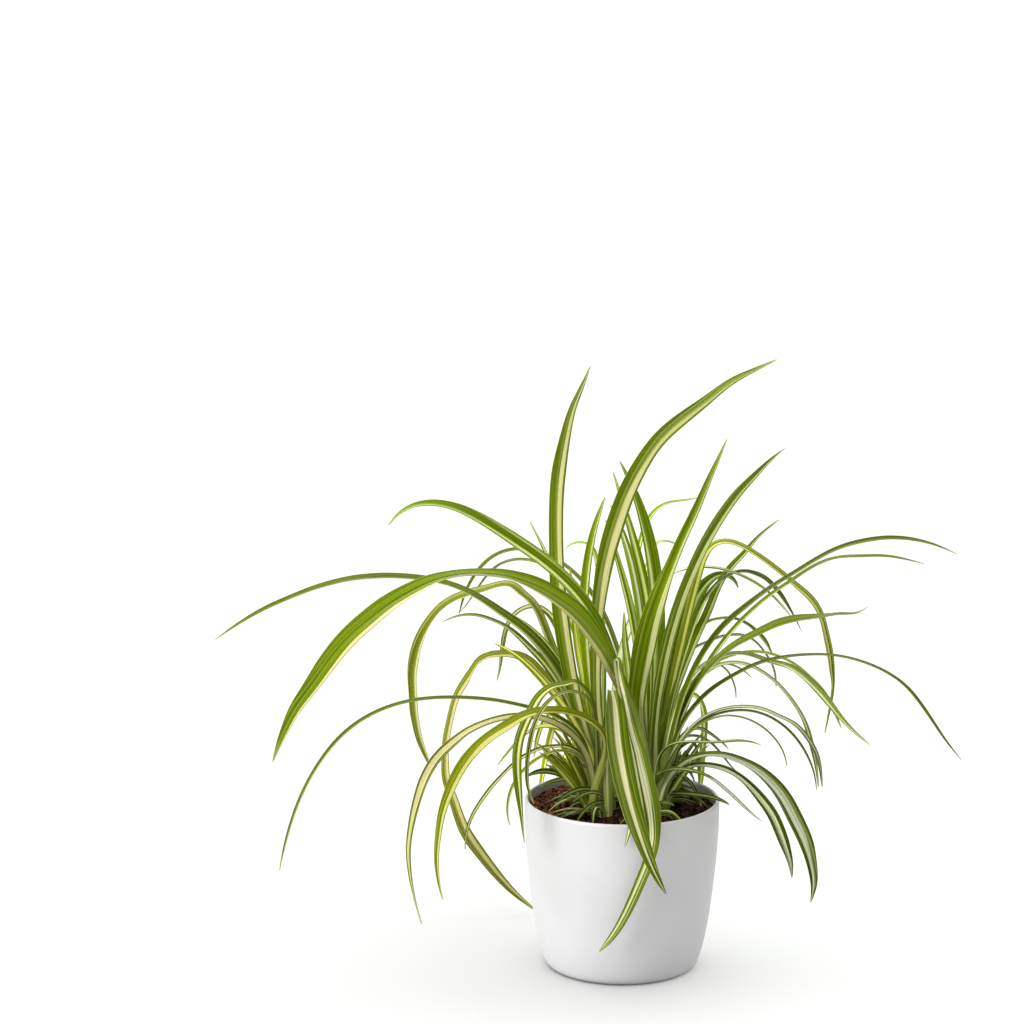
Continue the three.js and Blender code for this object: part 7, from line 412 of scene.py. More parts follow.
        (('dark', 0.0, 0.24, 0.3, 0.4, 0.55, (0.95, 1.03, 1.0)), [(22.3, 21.3, 109.8, 1.36, 0.89, -0.23, -0.40), (25.9, 22.2, 117.4, 1.60, 0.91, -0.26, -0.33), (29.0, 24.0, 126.5, 2.25, 0.81, -0.57, -0.13), (30.9, 25.8, 132.4, 2.63, 0.73, -0.69, -0.01), (33.2, 28.4, 137.8, 3.13, 0.64, -0.76, 0.11), (35.5, 31.0, 141.2, 3.69, 0.65, -0.75, 0.15), (38.3, 34.1, 143.7, 4.13, 0.68, -0.72, 0.15), (44.3, 40.4, 145.6, 4.56, 0.72, -0.69, 0.05), (48.1, 44.5, 145.0, 4.95, 0.73, -0.68, -0.05), (53.0, 50.2, 142.6, 6.17, 0.69, -0.69, -0.20), (56.3, 54.4, 139.9, 6.84, 0.64, -0.71, -0.29), (60.3, 59.7, 135.8, 6.94, 0.54, -0.75, -0.39), (64.6, 65.5, 130.0, 6.62, 0.39, -0.81, -0.44), (70.0, 71.8, 121.8, 5.01, 0.22, -0.88, -0.42), (74.7, 75.2, 115.3, 2.88, 0.11, -0.94, -0.31), (79.5, 76.6, 110.6, 1.01, 0.06, -0.97, -0.23)]),
    ]),
    ("leaf_right_8", "leaf_fresh", [
        (('grey', -0.1, 0.34, 0.4, 0.4, 1.38, (1.03, 0.97, 1.15)), [(25.1, 5.1, 109.8, 1.34, 0.99, -0.06, -0.13), (27.9, 4.0, 131.2, 2.88, 0.97, -0.18, -0.15), (29.9, 4.7, 141.8, 3.24, 0.89, -0.43, -0.15), (35.6, 8.8, 162.0, 3.32, 0.71, -0.69, -0.10), (43.2, 12.8, 179.7, 3.85, 0.58, -0.81, -0.11), (49.7, 15.5, 190.1, 4.77, 0.46, -0.88, -0.12), (56.0, 17.5, 196.2, 5.20, 0.36, -0.93, -0.12), (63.6, 19.5, 200.3, 5.44, 0.29, -0.95, -0.11), (72.2, 21.7, 201.8, 5.67, 0.25, -0.96, -0.13), (77.3, 23.0, 201.4, 5.78, 0.23, -0.96, -0.16), (82.3, 24.4, 200.1, 5.86, 0.20, -0.96, -0.19), (93.0, 27.6, 194.2, 5.85, 0.13, -0.95, -0.28), (103.5, 31.5, 185.1, 5.73, 0.03, -0.94, -0.34), (113.1, 35.9, 172.9, 5.51, -0.12, -0.91, -0.39), (121.7, 40.9, 157.8, 5.22, -0.38, -0.82, -0.43), (126.8, 45.2, 143.3, 3.88, -0.83, -0.41, -0.38), (131.4, 49.9, 123.9, 2.17, -0.95, -0.21, -0.22), (133.5, 51.8, 108.2, 0.83, -0.99, -0.07, -0.14)]),
    ]),
    ("leaf_right_9", "leaf_fresh", [
        (('grey', -0.3, 0.36, 0.3, 0.5, 0.57, (0.99, 0.97, 1.15)), [(25.0, -18.0, 109.8, 1.33, 1.00, -0.04, -0.07), (26.2, -19.1, 123.2, 2.02, 0.99, -0.08, -0.13), (29.0, -21.7, 137.8, 3.30, 0.75, -0.59, -0.30), (33.0, -25.2, 150.4, 4.19, 0.37, -0.84, -0.39), (38.7, -29.8, 162.6, 5.13, 0.03, -0.93, -0.37), (45.3, -33.9, 172.2, 5.57, -0.18, -0.94, -0.28), (53.6, -37.5, 180.2, 6.63, -0.29, -0.94, -0.17), (62.0, -40.6, 185.3, 6.65, -0.34, -0.94, -0.08), (71.1, -44.3, 188.6, 6.57, -0.35, -0.94, -0.01), (82.6, -48.7, 190.2, 6.42, -0.35, -0.94, 0.00), (92.3, -52.4, 189.2, 6.23, -0.35, -0.94, 0.01), (101.5, -55.9, 186.0, 6.00, -0.36, -0.93, 0.01), (110.9, -58.9, 181.9, 5.79, -0.41, -0.91, -0.02), (119.5, -62.5, 173.3, 5.57, -0.50, -0.86, -0.08), (125.1, -65.1, 164.0, 4.53, -0.59, -0.80, -0.10), (127.9, -67.1, 153.7, 2.77, -0.76, -0.63, -0.13), (129.3, -68.0, 142.8, 0.80, -0.87, -0.48, -0.11)]),
    ]),
    ("leaf_right_10", "leaf_fresh", [
        (('dark', 0.3, 0.3, 0.3, 0.5, 0.55, (0.95, 1.03, 1.0)), [(24.4, -6.5, 109.8, 1.34, 0.99, -0.07, -0.13), (26.1, -5.4, 122.8, 1.93, 0.97, -0.13, -0.19), (30.2, -3.9, 137.4, 2.80, 0.73, -0.62, -0.27), (34.3, -5.4, 147.3, 3.71, 0.38, -0.84, -0.38), (40.5, -8.6, 158.4, 4.41, -0.04, -0.95, -0.29), (47.5, -11.2, 166.6, 4.63, -0.16, -0.97, -0.19), (54.4, -13.5, 172.1, 4.68, -0.20, -0.97, -0.11), (63.8, -16.0, 177.0, 4.72, -0.22, -0.97, -0.04), (74.0, -18.3, 179.7, 4.68, -0.22, -0.97, 0.01), (84.4, -20.6, 180.1, 4.61, -0.22, -0.98, 0.04), (93.0, -22.6, 178.3, 4.51, -0.22, -0.97, 0.04), (100.9, -24.5, 174.7, 4.38, -0.24, -0.97, 0.01), (109.3, -27.0, 168.5, 4.22, -0.29, -0.96, -0.02), (116.3, -29.5, 160.7, 3.70, -0.36, -0.93, -0.05), (121.8, -31.6, 151.7, 2.83, -0.46, -0.89, -0.08), (125.7, -33.2, 141.7, 1.79, -0.58, -0.81, -0.08), (127.6, -34.2, 130.9, 0.80, -0.69, -0.72, -0.08)]),
    ]),
    ("leaves_front_right_low", "leaf_dark", [
        (('grey', 0.3, 0.36, 0.3, 0.5, 0.55, (1.01, 0.97, 1.15)), [(19.9, -25.2, 109.8, 1.00, 0.97, -0.10, -0.20), (22.4, -25.6, 122.8, 1.46, 0.95, -0.16, -0.26), (26.5, -27.5, 135.2, 2.57, 0.76, -0.53, -0.38), (29.4, -30.1, 143.3, 2.93, 0.54, -0.68, -0.49), (32.7, -34.7, 151.8, 3.37, 0.19, -0.79, -0.58), (38.5, -44.0, 164.5, 4.00, -0.18, -0.82, -0.54), (45.0, -52.6, 174.8, 4.14, -0.35, -0.81, -0.47), (50.8, -59.0, 181.5, 4.01, -0.45, -0.80, -0.39), (58.7, -66.7, 187.6, 2.99, -0.55, -0.79, -0.28), (66.3, -73.3, 191.1, 2.83, -0.60, -0.78, -0.19), (72.9, -78.9, 192.3, 2.70, -0.63, -0.77, -0.12), (80.9, -85.5, 191.9, 2.56, -0.64, -0.77, -0.05), (88.4, -91.7, 189.4, 2.45, -0.64, -0.77, -0.01), (95.0, -97.2, 185.1, 2.03, -0.63, -0.78, -0.01), (99.7, -100.8, 180.0, 1.67, -0.64, -0.77, -0.03), (103.1, -103.4, 173.6, 1.19, -0.69, -0.72, -0.07), (104.7, -104.5, 167.1, 0.80, -0.74, -0.67, -0.07)]),
        (('dark', -0.5, 0.24, 0.3, 0.5, 0.58, (1.0, 0.97, 1.15)), [(22.7, -25.2, 109.8, 1.00, 1.00, 0.01, 0.04), (22.1, -27.1, 126.6, 1.59, 0.97, -0.22, -0.03), (22.1, -32.0, 140.8, 2.25, 0.74, -0.61, -0.30), (23.0, -35.4, 147.9, 3.07, 0.38, -0.78, -0.49), (25.0, -39.5, 154.7, 4.49, -0.13, -0.85, -0.51), (26.9, -42.2, 158.4, 5.12, -0.37, -0.83, -0.42), (29.3, -45.0, 161.7, 5.21, -0.51, -0.80, -0.31), (33.4, -49.0, 165.1, 5.02, -0.60, -0.78, -0.17), (39.5, -54.3, 167.9, 5.28, -0.63, -0.78, -0.05), (57.9, -69.2, 172.0, 5.62, -0.61, -0.79, -0.01), (69.4, -77.7, 175.3, 5.47, -0.55, -0.83, -0.01), (74.4, -80.8, 176.5, 4.83, -0.47, -0.88, 0.01), (79.5, -83.2, 177.0, 3.68, -0.35, -0.93, 0.04), (85.0, -85.0, 176.5, 2.13, -0.21, -0.98, 0.04), (89.6, -85.7, 175.0, 0.95, -0.14, -0.99, 0.02)]),
    ]),
    ("leaf_right_11", "leaf_yellow", [
        (('dark', -0.3, 0.3, 0.3, 0.5, 0.55, (0.98, 1.03, 1.0)), [(20.8, 15.2, 109.8, 1.35, 0.94, -0.17, -0.31), (27.2, 14.6, 129.3, 3.27, 0.64, -0.74, -0.21), (30.8, 15.4, 137.1, 3.76, 0.60, -0.80, -0.06), (33.3, 17.5, 141.2, 3.80, 0.67, -0.74, 0.04), (37.9, 22.8, 147.0, 4.04, 0.68, -0.73, 0.06), (42.3, 27.2, 151.0, 4.72, 0.64, -0.77, 0.02), (46.2, 30.2, 152.9, 5.48, 0.57, -0.82, -0.05), (48.9, 32.0, 153.3, 6.33, 0.51, -0.85, -0.10), (51.7, 33.6, 152.9, 6.99, 0.44, -0.89, -0.15), (56.8, 36.5, 150.1, 7.24, 0.29, -0.92, -0.26), (63.8, 39.7, 144.5, 5.72, 0.10, -0.95, -0.31), (69.0, 41.2, 140.0, 3.10, -0.07, -0.95, -0.29), (72.1, 41.6, 136.6, 1.22, -0.16, -0.95, -0.27)]),
    ]),
    ("leaf_right_12", "leaf_cream", [
        (('forest', 0.0, 0.48, 0.35, 0.3, 0.58, (1.01, 0.98, 1.13)), [(23.8, -19.5, 109.8, 1.66, 0.98, -0.09, -0.17), (25.6, -20.6, 121.4, 2.40, 0.95, -0.16, -0.28), (29.6, -23.5, 132.3, 4.18, 0.66, -0.58, -0.48), (35.0, -26.6, 140.6, 5.91, 0.23, -0.84, -0.49), (40.8, -29.4, 146.5, 7.03, -0.04, -0.92, -0.39), (49.2, -32.8, 151.7, 8.15, -0.24, -0.94, -0.24), (57.0, -35.9, 154.0, 9.21, -0.33, -0.93, -0.12), (65.2, -39.1, 154.3, 10.57, -0.38, -0.92, -0.06), (74.9, -43.1, 152.3, 11.85, -0.42, -0.91, -0.03), (85.3, -47.8, 148.5, 12.29, -0.50, -0.86, -0.07), (95.9, -53.6, 141.3, 12.71, -0.61, -0.78, -0.12), (103.6, -58.9, 133.1, 12.56, -0.72, -0.68, -0.12), (111.1, -66.0, 121.1, 11.85, -0.83, -0.54, -0.12), (117.8, -72.7, 108.5, 10.73, -0.90, -0.44, -0.07), (122.4, -78.8, 94.1, 8.76, -0.90, -0.43, -0.01), (124.1, -82.2, 82.3, 5.59, -0.96, -0.28, -0.02), (122.3, -84.0, 69.9, 0.81, -0.82, -0.56, 0.04)]),
    ]),
    ("leaf_right_13", "leaf_cream", [
        (('forest', -0.05, 0.38, 0.4, 0.3, 0.83, (1.03, 1.0, 1.0)), [(22.6, -14.4, 109.8, 1.33, 0.98, -0.10, -0.18), (24.3, -14.8, 119.1, 1.71, 0.94, -0.18, -0.28), (27.3, -16.8, 127.3, 2.77, 0.70, -0.55, -0.46), (32.4, -18.3, 134.1, 4.11, 0.27, -0.85, -0.46), (37.6, -19.7, 138.3, 4.98, 0.01, -0.93, -0.37), (45.2, -22.3, 142.1, 5.91, -0.15, -0.96, -0.24), (51.8, -24.5, 143.7, 6.56, -0.23, -0.96, -0.17), (60.3, -26.4, 143.4, 7.20, -0.27, -0.95, -0.13), (68.5, -27.2, 141.1, 7.74, -0.32, -0.94, -0.11), (76.2, -28.6, 137.2, 8.27, -0.37, -0.92, -0.10), (84.0, -31.7, 131.1, 8.76, -0.49, -0.85, -0.17), (91.0, -34.7, 123.8, 9.12, -0.63, -0.74, -0.22), (98.3, -38.0, 114.4, 8.78, -0.75, -0.62, -0.24), (103.7, -41.1, 103.5, 8.16, -0.85, -0.47, -0.24), (107.6, -43.2, 93.6, 6.91, -0.88, -0.45, -0.18), (110.7, -44.6, 83.2, 4.34, -0.89, -0.45, -0.10), (111.9, -45.2, 74.2, 0.96, -0.91, -0.42, -0.07)]),
    ]),
    ("leaf_right_14", "leaf_cream", [
        (('forest', -0.25, 0.44, 0.3, 0.6, 2.34, (1.03, 0.97, 1.15)), [(21.1, -1.8, 109.8, 1.01, 0.92, -0.19, -0.33), (24.9, -7.7, 122.1, 1.69, 0.68, -0.58, -0.45), (30.8, -6.6, 128.2, 2.89, 0.19, -0.91, -0.36), (35.2, -5.4, 130.7, 3.32, 0.01, -0.97, -0.23), (40.1, -4.4, 132.4, 3.74, -0.09, -0.98, -0.16), (48.7, -5.1, 133.6, 3.73, -0.17, -0.98, -0.12), (55.5, -6.3, 131.9, 4.28, -0.26, -0.96, -0.11), (63.0, -7.6, 127.4, 4.37, -0.32, -0.94, -0.12), (79.1, -12.1, 114.0, 3.90, -0.32, -0.94, -0.15), (87.2, -13.8, 107.2, 2.67, -0.24, -0.96, -0.17), (93.0, -14.3, 103.0, 0.95, -0.20, -0.96, -0.17)]),
    ]),
    ("leaf_right_15", "leaf_dark", [
        (('fresh', 0.0, 0.3, 0.4, 0.5, 2.7, (1.03, 0.97, 1.15)), [(22.4, 27.3, 109.8, 1.36, 0.98, -0.10, -0.19), (23.5, 30.0, 122.6, 2.22, 0.96, -0.15, -0.21), (25.7, 34.3, 133.3, 3.34, 0.90, -0.43, -0.09), (29.1, 41.9, 145.9, 3.79, 0.85, -0.52, 0.05), (33.1, 52.8, 160.3, 4.65, 0.83, -0.56, 0.05), (35.9, 56.9, 164.4, 5.38, 0.77, -0.64, -0.04), (39.9, 60.9, 167.2, 5.89, 0.69, -0.71, -0.14), (44.6, 64.8, 168.2, 6.41, 0.59, -0.75, -0.29), (48.1, 67.6, 167.2, 7.90, 0.42, -0.80, -0.43), (50.9, 70.3, 164.3, 8.10, 0.11, -0.83, -0.55), (53.0, 72.8, 160.2, 7.20, -0.26, -0.79, -0.55), (54.9, 75.8, 154.1, 6.12, -0.64, -0.65, -0.42), (55.9, 79.0, 145.6, 5.05, -0.89, -0.43, -0.17), (56.0, 82.3, 135.6, 4.34, -0.98, -0.20, 0.04), (55.2, 85.2, 123.7, 4.51, -0.99, -0.06, 0.13), (54.5, 87.8, 101.9, 3.45, -0.99, -0.02, 0.15), (52.0, 88.4, 87.8, 0.99, -0.98, 0.01, 0.17)]),
    ]),
    ("leaf_front_1", "leaf_deep", [
        (('ivory', 0.0, 0.25, 0.35, 0.15, 1.04, (0.86, 0.79, 0.8)), [(-8.8, -22.5, 109.8, 2.99, -1.00, 0.00, -0.04), (-9.8, -24.6, 137.5, 6.98, -1.00, 0.06, -0.02), (-10.0, -24.8, 155.0, 7.62, -0.99, 0.12, 0.02), (-9.7, -25.6, 163.7, 7.77, -0.99, 0.14, 0.07), (-9.2, -27.0, 170.7, 7.75, -0.98, 0.14, 0.11), (-8.8, -28.8, 175.8, 7.70, -0.98, 0.13, 0.14), (-8.3, -31.8, 181.2, 7.00, -0.98, 0.11, 0.15), (-7.4, -44.3, 196.2, 5.60, -0.99, 0.07, 0.11), (-7.2, -45.7, 199.0, 5.00, -1.00, 0.03, 0.09), (-7.0, -46.9, 200.3, 4.90, -1.00, -0.03, 0.05), (-6.7, -48.3, 200.2, 5.60, -1.00, -0.08, 0.01), (-6.3, -49.3, 198.5, 7.20, -0.99, -0.14, -0.02), (-5.0, -50.6, 189.5, 13.50, -0.98, -0.20, -0.06), (-2.4, -56.2, 165.1, 15.60, -0.98, -0.21, -0.05), (-1.3, -58.6, 158.9, 15.80, -0.97, -0.23, -0.06), (1.6, -67.1, 145.8, 15.40, -0.96, -0.26, -0.10), (7.5, -78.3, 125.5, 13.60, -0.95, -0.28, -0.16), (11.8, -84.7, 113.8, 10.90, -0.93, -0.30, -0.22), (17.4, -90.8, 100.3, 7.76, -0.91, -0.29, -0.30), (22.6, -94.0, 89.5, 5.01, -0.88, -0.26, -0.40), (28.7, -95.8, 78.5, 0.95, -0.87, -0.22, -0.45)]),
    ]),
    ("leaf_front_2", "leaf_cream", [
        (('ivory', 0.35, 0.38, 0.5, 0.2, 1.39, (1.03, 1.0, 1.0)), [(14.3, -22.3, 109.8, 2.33, -0.99, -0.00, -0.14), (13.4, -22.0, 120.9, 3.08, -0.98, -0.01, -0.19), (10.1, -21.4, 138.4, 5.17, -0.97, -0.07, -0.23), (7.0, -22.3, 152.6, 4.79, -0.91, -0.33, -0.25), (2.7, -24.9, 172.3, 3.93, -0.78, -0.56, -0.28), (-0.5, -28.2, 188.1, 3.75, -0.76, -0.59, -0.28), (-3.3, -32.7, 205.4, 3.71, -0.75, -0.62, -0.25), (-4.5, -34.6, 215.0, 4.10, -0.68, -0.71, -0.20), (-4.6, -35.3, 217.9, 3.90, -0.70, -0.70, -0.14), (-4.2, -36.1, 219.2, 3.70, -0.70, -0.70, -0.14), (-3.2, -37.0, 218.9, 3.60, -0.70, -0.70, -0.14), (-2.7, -37.6, 217.0, 3.60, -0.70, -0.70, -0.14), (-1.2, -38.5, 208.0, 3.90, -0.95, -0.10, -0.30), (1.4, -39.7, 197.5, 4.15, -0.77, 0.54, -0.33), (3.1, -41.6, 191.1, 4.27, -0.81, 0.47, -0.35), (6.0, -47.4, 178.8, 5.43, -0.97, 0.08, -0.22), (8.2, -49.8, 170.7, 6.50, -0.96, -0.06, -0.26), (11.0, -51.4, 162.5, 7.58, -0.94, -0.09, -0.34), (12.7, -53.4, 156.0, 8.36, -0.92, -0.13, -0.37), (16.4, -59.7, 141.7, 10.10, -0.94, -0.13, -0.33), (18.7, -63.3, 132.0, 10.80, -0.96, -0.08, -0.25), (20.4, -66.1, 121.6, 10.36, -0.99, 0.03, -0.15), (21.2, -68.2, 111.1, 9.52, -0.94, 0.33, -0.05), (20.6, -69.3, 102.7, 8.64, -0.90, 0.43, 0.10), (18.1, -70.2, 92.9, 7.93, -0.86, 0.46, 0.23), (12.0, -70.9, 76.8, 7.25, -0.84, 0.44, 0.32), (5.1, -71.0, 60.4, 6.55, -0.82, 0.43, 0.37), (0.4, -70.9, 50.8, 5.82, -0.79, 0.43, 0.44), (-5.1, -70.8, 41.7, 4.76, -0.75, 0.43, 0.51), (-9.4, -70.8, 36.0, 3.49, -0.70, 0.43, 0.57), (-14.1, -70.8, 30.6, 0.82, -0.67, 0.43, 0.60)]),
    ]),
    ("leaf_front_3", "leaf_deep", [
        (('ivory', 0.2, 0.4, 0.4, 0.2, 2.12, (0.85, 0.76, 0.86)), [(1.7, -23.1, 109.8, 1.33, -0.98, 0.01, -0.18), (-0.2, -25.1, 120.8, 1.71, -0.95, -0.10, -0.28), (-1.3, -26.4, 123.7, 1.89, -0.94, -0.17, -0.28), (-1.5, -28.6, 127.7, 2.39, -0.92, -0.36, -0.13), (-0.4, -31.3, 130.9, 3.76, -0.85, -0.53, -0.09), (0.8, -33.3, 132.5, 3.40, -0.80, -0.59, -0.11), (2.9, -36.3, 134.2, 2.80, -0.78, -0.57, -0.26), (4.2, -38.5, 134.4, 3.30, -0.83, -0.41, -0.37), (5.3, -40.8, 133.9, 3.58, -0.90, -0.17, -0.40), (6.4, -45.5, 131.7, 3.49, -0.92, 0.05, -0.39), (7.2, -56.2, 126.2, 3.56, -0.92, 0.19, -0.33), (7.0, -61.5, 121.9, 3.66, -0.92, 0.34, -0.17), (5.5, -66.2, 113.2, 3.61, -0.90, 0.42, 0.06), (2.2, -68.5, 101.4, 0.80, -0.90, 0.41, 0.17)]),
    ]),
    ("leaf_left_1", "leaf_dark", [
        (('olive_deep', -0.15, 0.22, 0.5, 0.4, 1.81, (1.03, 0.97, 1.15)), [(15.1, -14.8, 109.8, 2.67, 0.99, 0.03, 0.10), (12.6, -13.9, 133.6, 5.15, 0.99, 0.07, 0.14), (8.7, -13.5, 155.7, 5.72, 0.93, 0.32, 0.20), (3.6, -15.7, 177.9, 6.40, 0.83, 0.49, 0.27), (-2.6, -18.6, 199.9, 7.27, 0.69, 0.64, 0.33), (-9.2, -22.5, 220.1, 8.81, 0.58, 0.71, 0.39), (-18.1, -27.5, 241.2, 11.31, 0.44, 0.78, 0.44), (-27.2, -31.3, 256.1, 13.22, 0.29, 0.84, 0.46), (-37.0, -35.0, 268.1, 14.66, 0.18, 0.86, 0.47), (-51.7, -40.8, 282.8, 15.61, 0.05, 0.88, 0.48), (-71.5, -50.3, 299.5, 15.50, -0.03, 0.88, 0.48), (-91.7, -60.5, 315.2, 13.06, -0.08, 0.88, 0.46), (-100.0, -64.6, 320.7, 11.49, -0.12, 0.89, 0.45), (-108.8, -68.5, 325.3, 9.78, -0.18, 0.89, 0.42), (-121.4, -73.2, 328.9, 7.90, -0.25, 0.90, 0.37), (-131.1, -76.3, 328.9, 5.64, -0.29, 0.89, 0.34), (-136.0, -77.5, 327.6, 4.56, -0.34, 0.88, 0.33), (-140.5, -78.6, 325.3, 3.58, -0.38, 0.86, 0.33), (-144.7, -79.4, 322.1, 2.55, -0.45, 0.83, 0.33), (-149.4, -80.0, 316.6, 1.06, -0.50, 0.80, 0.34)]),
    ]),
    ("leaf_left_2", "leaf_olive", [
        (('olive', -0.78, 0.4, 0.22, 0.4, 1.09, (0.86, 0.76, 0.86)), [(13.9, -18.6, 109.8, 3.33, 1.00, -0.01, 0.00), (14.1, -17.4, 131.6, 5.66, 1.00, 0.01, 0.04), (13.1, -16.7, 145.4, 6.06, 0.99, 0.08, 0.13), (11.1, -17.0, 157.5, 7.12, 0.95, 0.23, 0.21), (8.3, -18.2, 169.5, 8.00, 0.89, 0.36, 0.29), (4.1, -20.8, 183.2, 8.99, 0.79, 0.48, 0.38), (-0.9, -24.3, 196.7, 10.10, 0.69, 0.56, 0.45), (-6.7, -29.1, 210.1, 11.33, 0.60, 0.61, 0.51), (-14.8, -35.5, 226.3, 13.58, 0.50, 0.68, 0.53), (-21.1, -39.4, 236.9, 15.52, 0.41, 0.74, 0.54), (-28.1, -43.2, 247.0, 17.25, 0.31, 0.78, 0.54), (-33.9, -46.0, 253.3, 17.84, 0.21, 0.81, 0.55), (-41.5, -49.7, 259.8, 18.04, 0.07, 0.86, 0.51), (-49.3, -53.4, 265.8, 18.18, -0.03, 0.89, 0.46), (-57.7, -56.8, 271.0, 18.11, -0.12, 0.91, 0.39), (-66.7, -60.1, 275.4, 17.73, -0.23, 0.93, 0.27), (-75.4, -63.5, 278.8, 17.28, -0.32, 0.94, 0.15), (-86.3, -67.9, 281.3, 16.63, -0.37, 0.93, 0.04), (-96.0, -71.8, 282.5, 16.52, -0.39, 0.92, -0.02), (-108.9, -77.4, 282.3, 17.00, -0.40, 0.92, -0.03), (-120.2, -82.5, 279.9, 17.70, -0.43, 0.90, 0.06), (-131.4, -87.8, 275.5, 18.44, -0.47, 0.87, 0.14), (-141.5, -93.0, 270.7, 19.15, -0.51, 0.84, 0.16), (-149.8, -97.5, 265.9, 19.34, -0.56, 0.81, 0.19), (-159.0, -102.6, 259.5, 19.08, -0.61, 0.76, 0.21), (-170.7, -109.3, 250.5, 18.45, -0.65, 0.73, 0.20), (-179.8, -115.2, 241.4, 17.60, -0.68, 0.71, 0.17), (-188.8, -121.8, 230.2, 16.37, -0.70, 0.69, 0.14), (-196.7, -127.4, 219.7, 14.59, -0.73, 0.67, 0.14), (-204.9, -132.4, 208.7, 12.54, -0.75, 0.64, 0.16), (-211.3, -136.6, 196.6, 9.78, -0.76, 0.62, 0.18), (-215.6, -138.7, 186.9, 6.48, -0.76, 0.62, 0.21), (-219.5, -139.7, 176.7, 1.17, -0.76, 0.61, 0.23)]),
    ]),
    ("leaf_left_3", "leaf_olive", [
        (('fresh', -0.55, 0.36, 0.5, 0.6, 0.66, (1.03, 0.97, 1.0)), [(-20.2, 3.7, 109.8, 2.68, 1.00, 0.01, 0.02), (-22.2, 7.1, 134.2, 5.78, 1.00, 0.05, 0.07), (-25.4, 11.1, 152.8, 6.71, 0.96, 0.24, 0.17), (-31.9, 14.0, 174.5, 7.95, 0.83, 0.50, 0.23), (-41.1, 16.7, 193.3, 9.37, 0.66, 0.70, 0.26), (-52.2, 19.3, 208.7, 11.02, 0.49, 0.84, 0.22), (-65.1, 22.0, 221.9, 11.64, 0.36, 0.92, 0.17), (-82.0, 25.5, 233.8, 11.92, 0.29, 0.95, 0.12), (-98.4, 29.5, 243.8, 11.75, 0.25, 0.97, 0.05), (-116.0, 33.7, 250.8, 11.47, 0.24, 0.97, 0.02), (-136.8, 38.1, 254.0, 11.39, 0.25, 0.97, 0.03), (-149.0, 40.9, 254.3, 10.88, 0.25, 0.97, 0.04), (-160.8, 43.8, 253.8, 10.95, 0.26, 0.96, 0.05), (-172.6, 47.0, 252.4, 11.00, 0.26, 0.96, 0.07), (-184.2, 50.5, 250.2, 10.51, 0.26, 0.96, 0.10), (-197.8, 54.5, 246.2, 9.96, 0.23, 0.95, 0.18), (-212.4, 59.3, 240.6, 9.46, 0.21, 0.95, 0.22), (-226.3, 64.0, 234.1, 9.02, 0.21, 0.95, 0.21), (-239.9, 68.5, 227.1, 8.46, 0.18, 0.96, 0.23), (-250.2, 71.7, 221.2, 7.35, 0.13, 0.96, 0.23), (-261.6, 74.8, 213.9, 5.41, 0.06, 0.97, 0.23), (-271.4, 76.6, 207.2, 3.40, -0.02, 0.97, 0.22), (-279.6, 77.4, 201.2, 1.21, -0.07, 0.97, 0.22)]),
    ]),
    ("leaf_left_4", "leaf_dark", [
        (('olive', 0.0, 0.26, 0.5, 0.4, 0.71, (1.03, 1.03, 1.0)), [(-15.4, 10.4, 109.8, 1.68, 0.99, 0.06, 0.12), (-17.6, 11.2, 119.0, 2.29, 0.98, 0.09, 0.15), (-22.8, 13.7, 137.6, 4.65, 0.91, 0.39, 0.14), (-26.5, 14.0, 149.7, 5.10, 0.84, 0.53, 0.12), (-30.7, 17.2, 160.7, 5.57, 0.80, 0.59, 0.10), (-36.2, 21.9, 172.6, 5.84, 0.77, 0.63, 0.09), (-42.7, 27.9, 183.5, 6.05, 0.74, 0.67, 0.10), (-50.1, 34.4, 193.3, 6.31, 0.70, 0.70, 0.12), (-57.5, 40.2, 200.8, 6.61, 0.65, 0.75, 0.11), (-65.2, 46.2, 207.1, 6.79, 0.57, 0.82, 0.03), (-73.2, 52.6, 213.1, 7.00, 0.52, 0.85, -0.05), (-82.2, 59.0, 217.8, 7.25, 0.48, 0.87, -0.11), (-90.6, 64.2, 220.3, 7.32, 0.47, 0.88, -0.12), (-99.2, 69.1, 221.7, 6.73, 0.43, 0.90, -0.02), (-107.8, 73.1, 221.1, 5.57, 0.34, 0.94, 0.07), (-116.2, 75.9, 218.7, 3.77, 0.21, 0.97, 0.10), (-124.0, 77.3, 215.1, 1.32, 0.12, 0.98, 0.13)]),
    ]),
    ("leaf_left_5", "leaf_olive", [
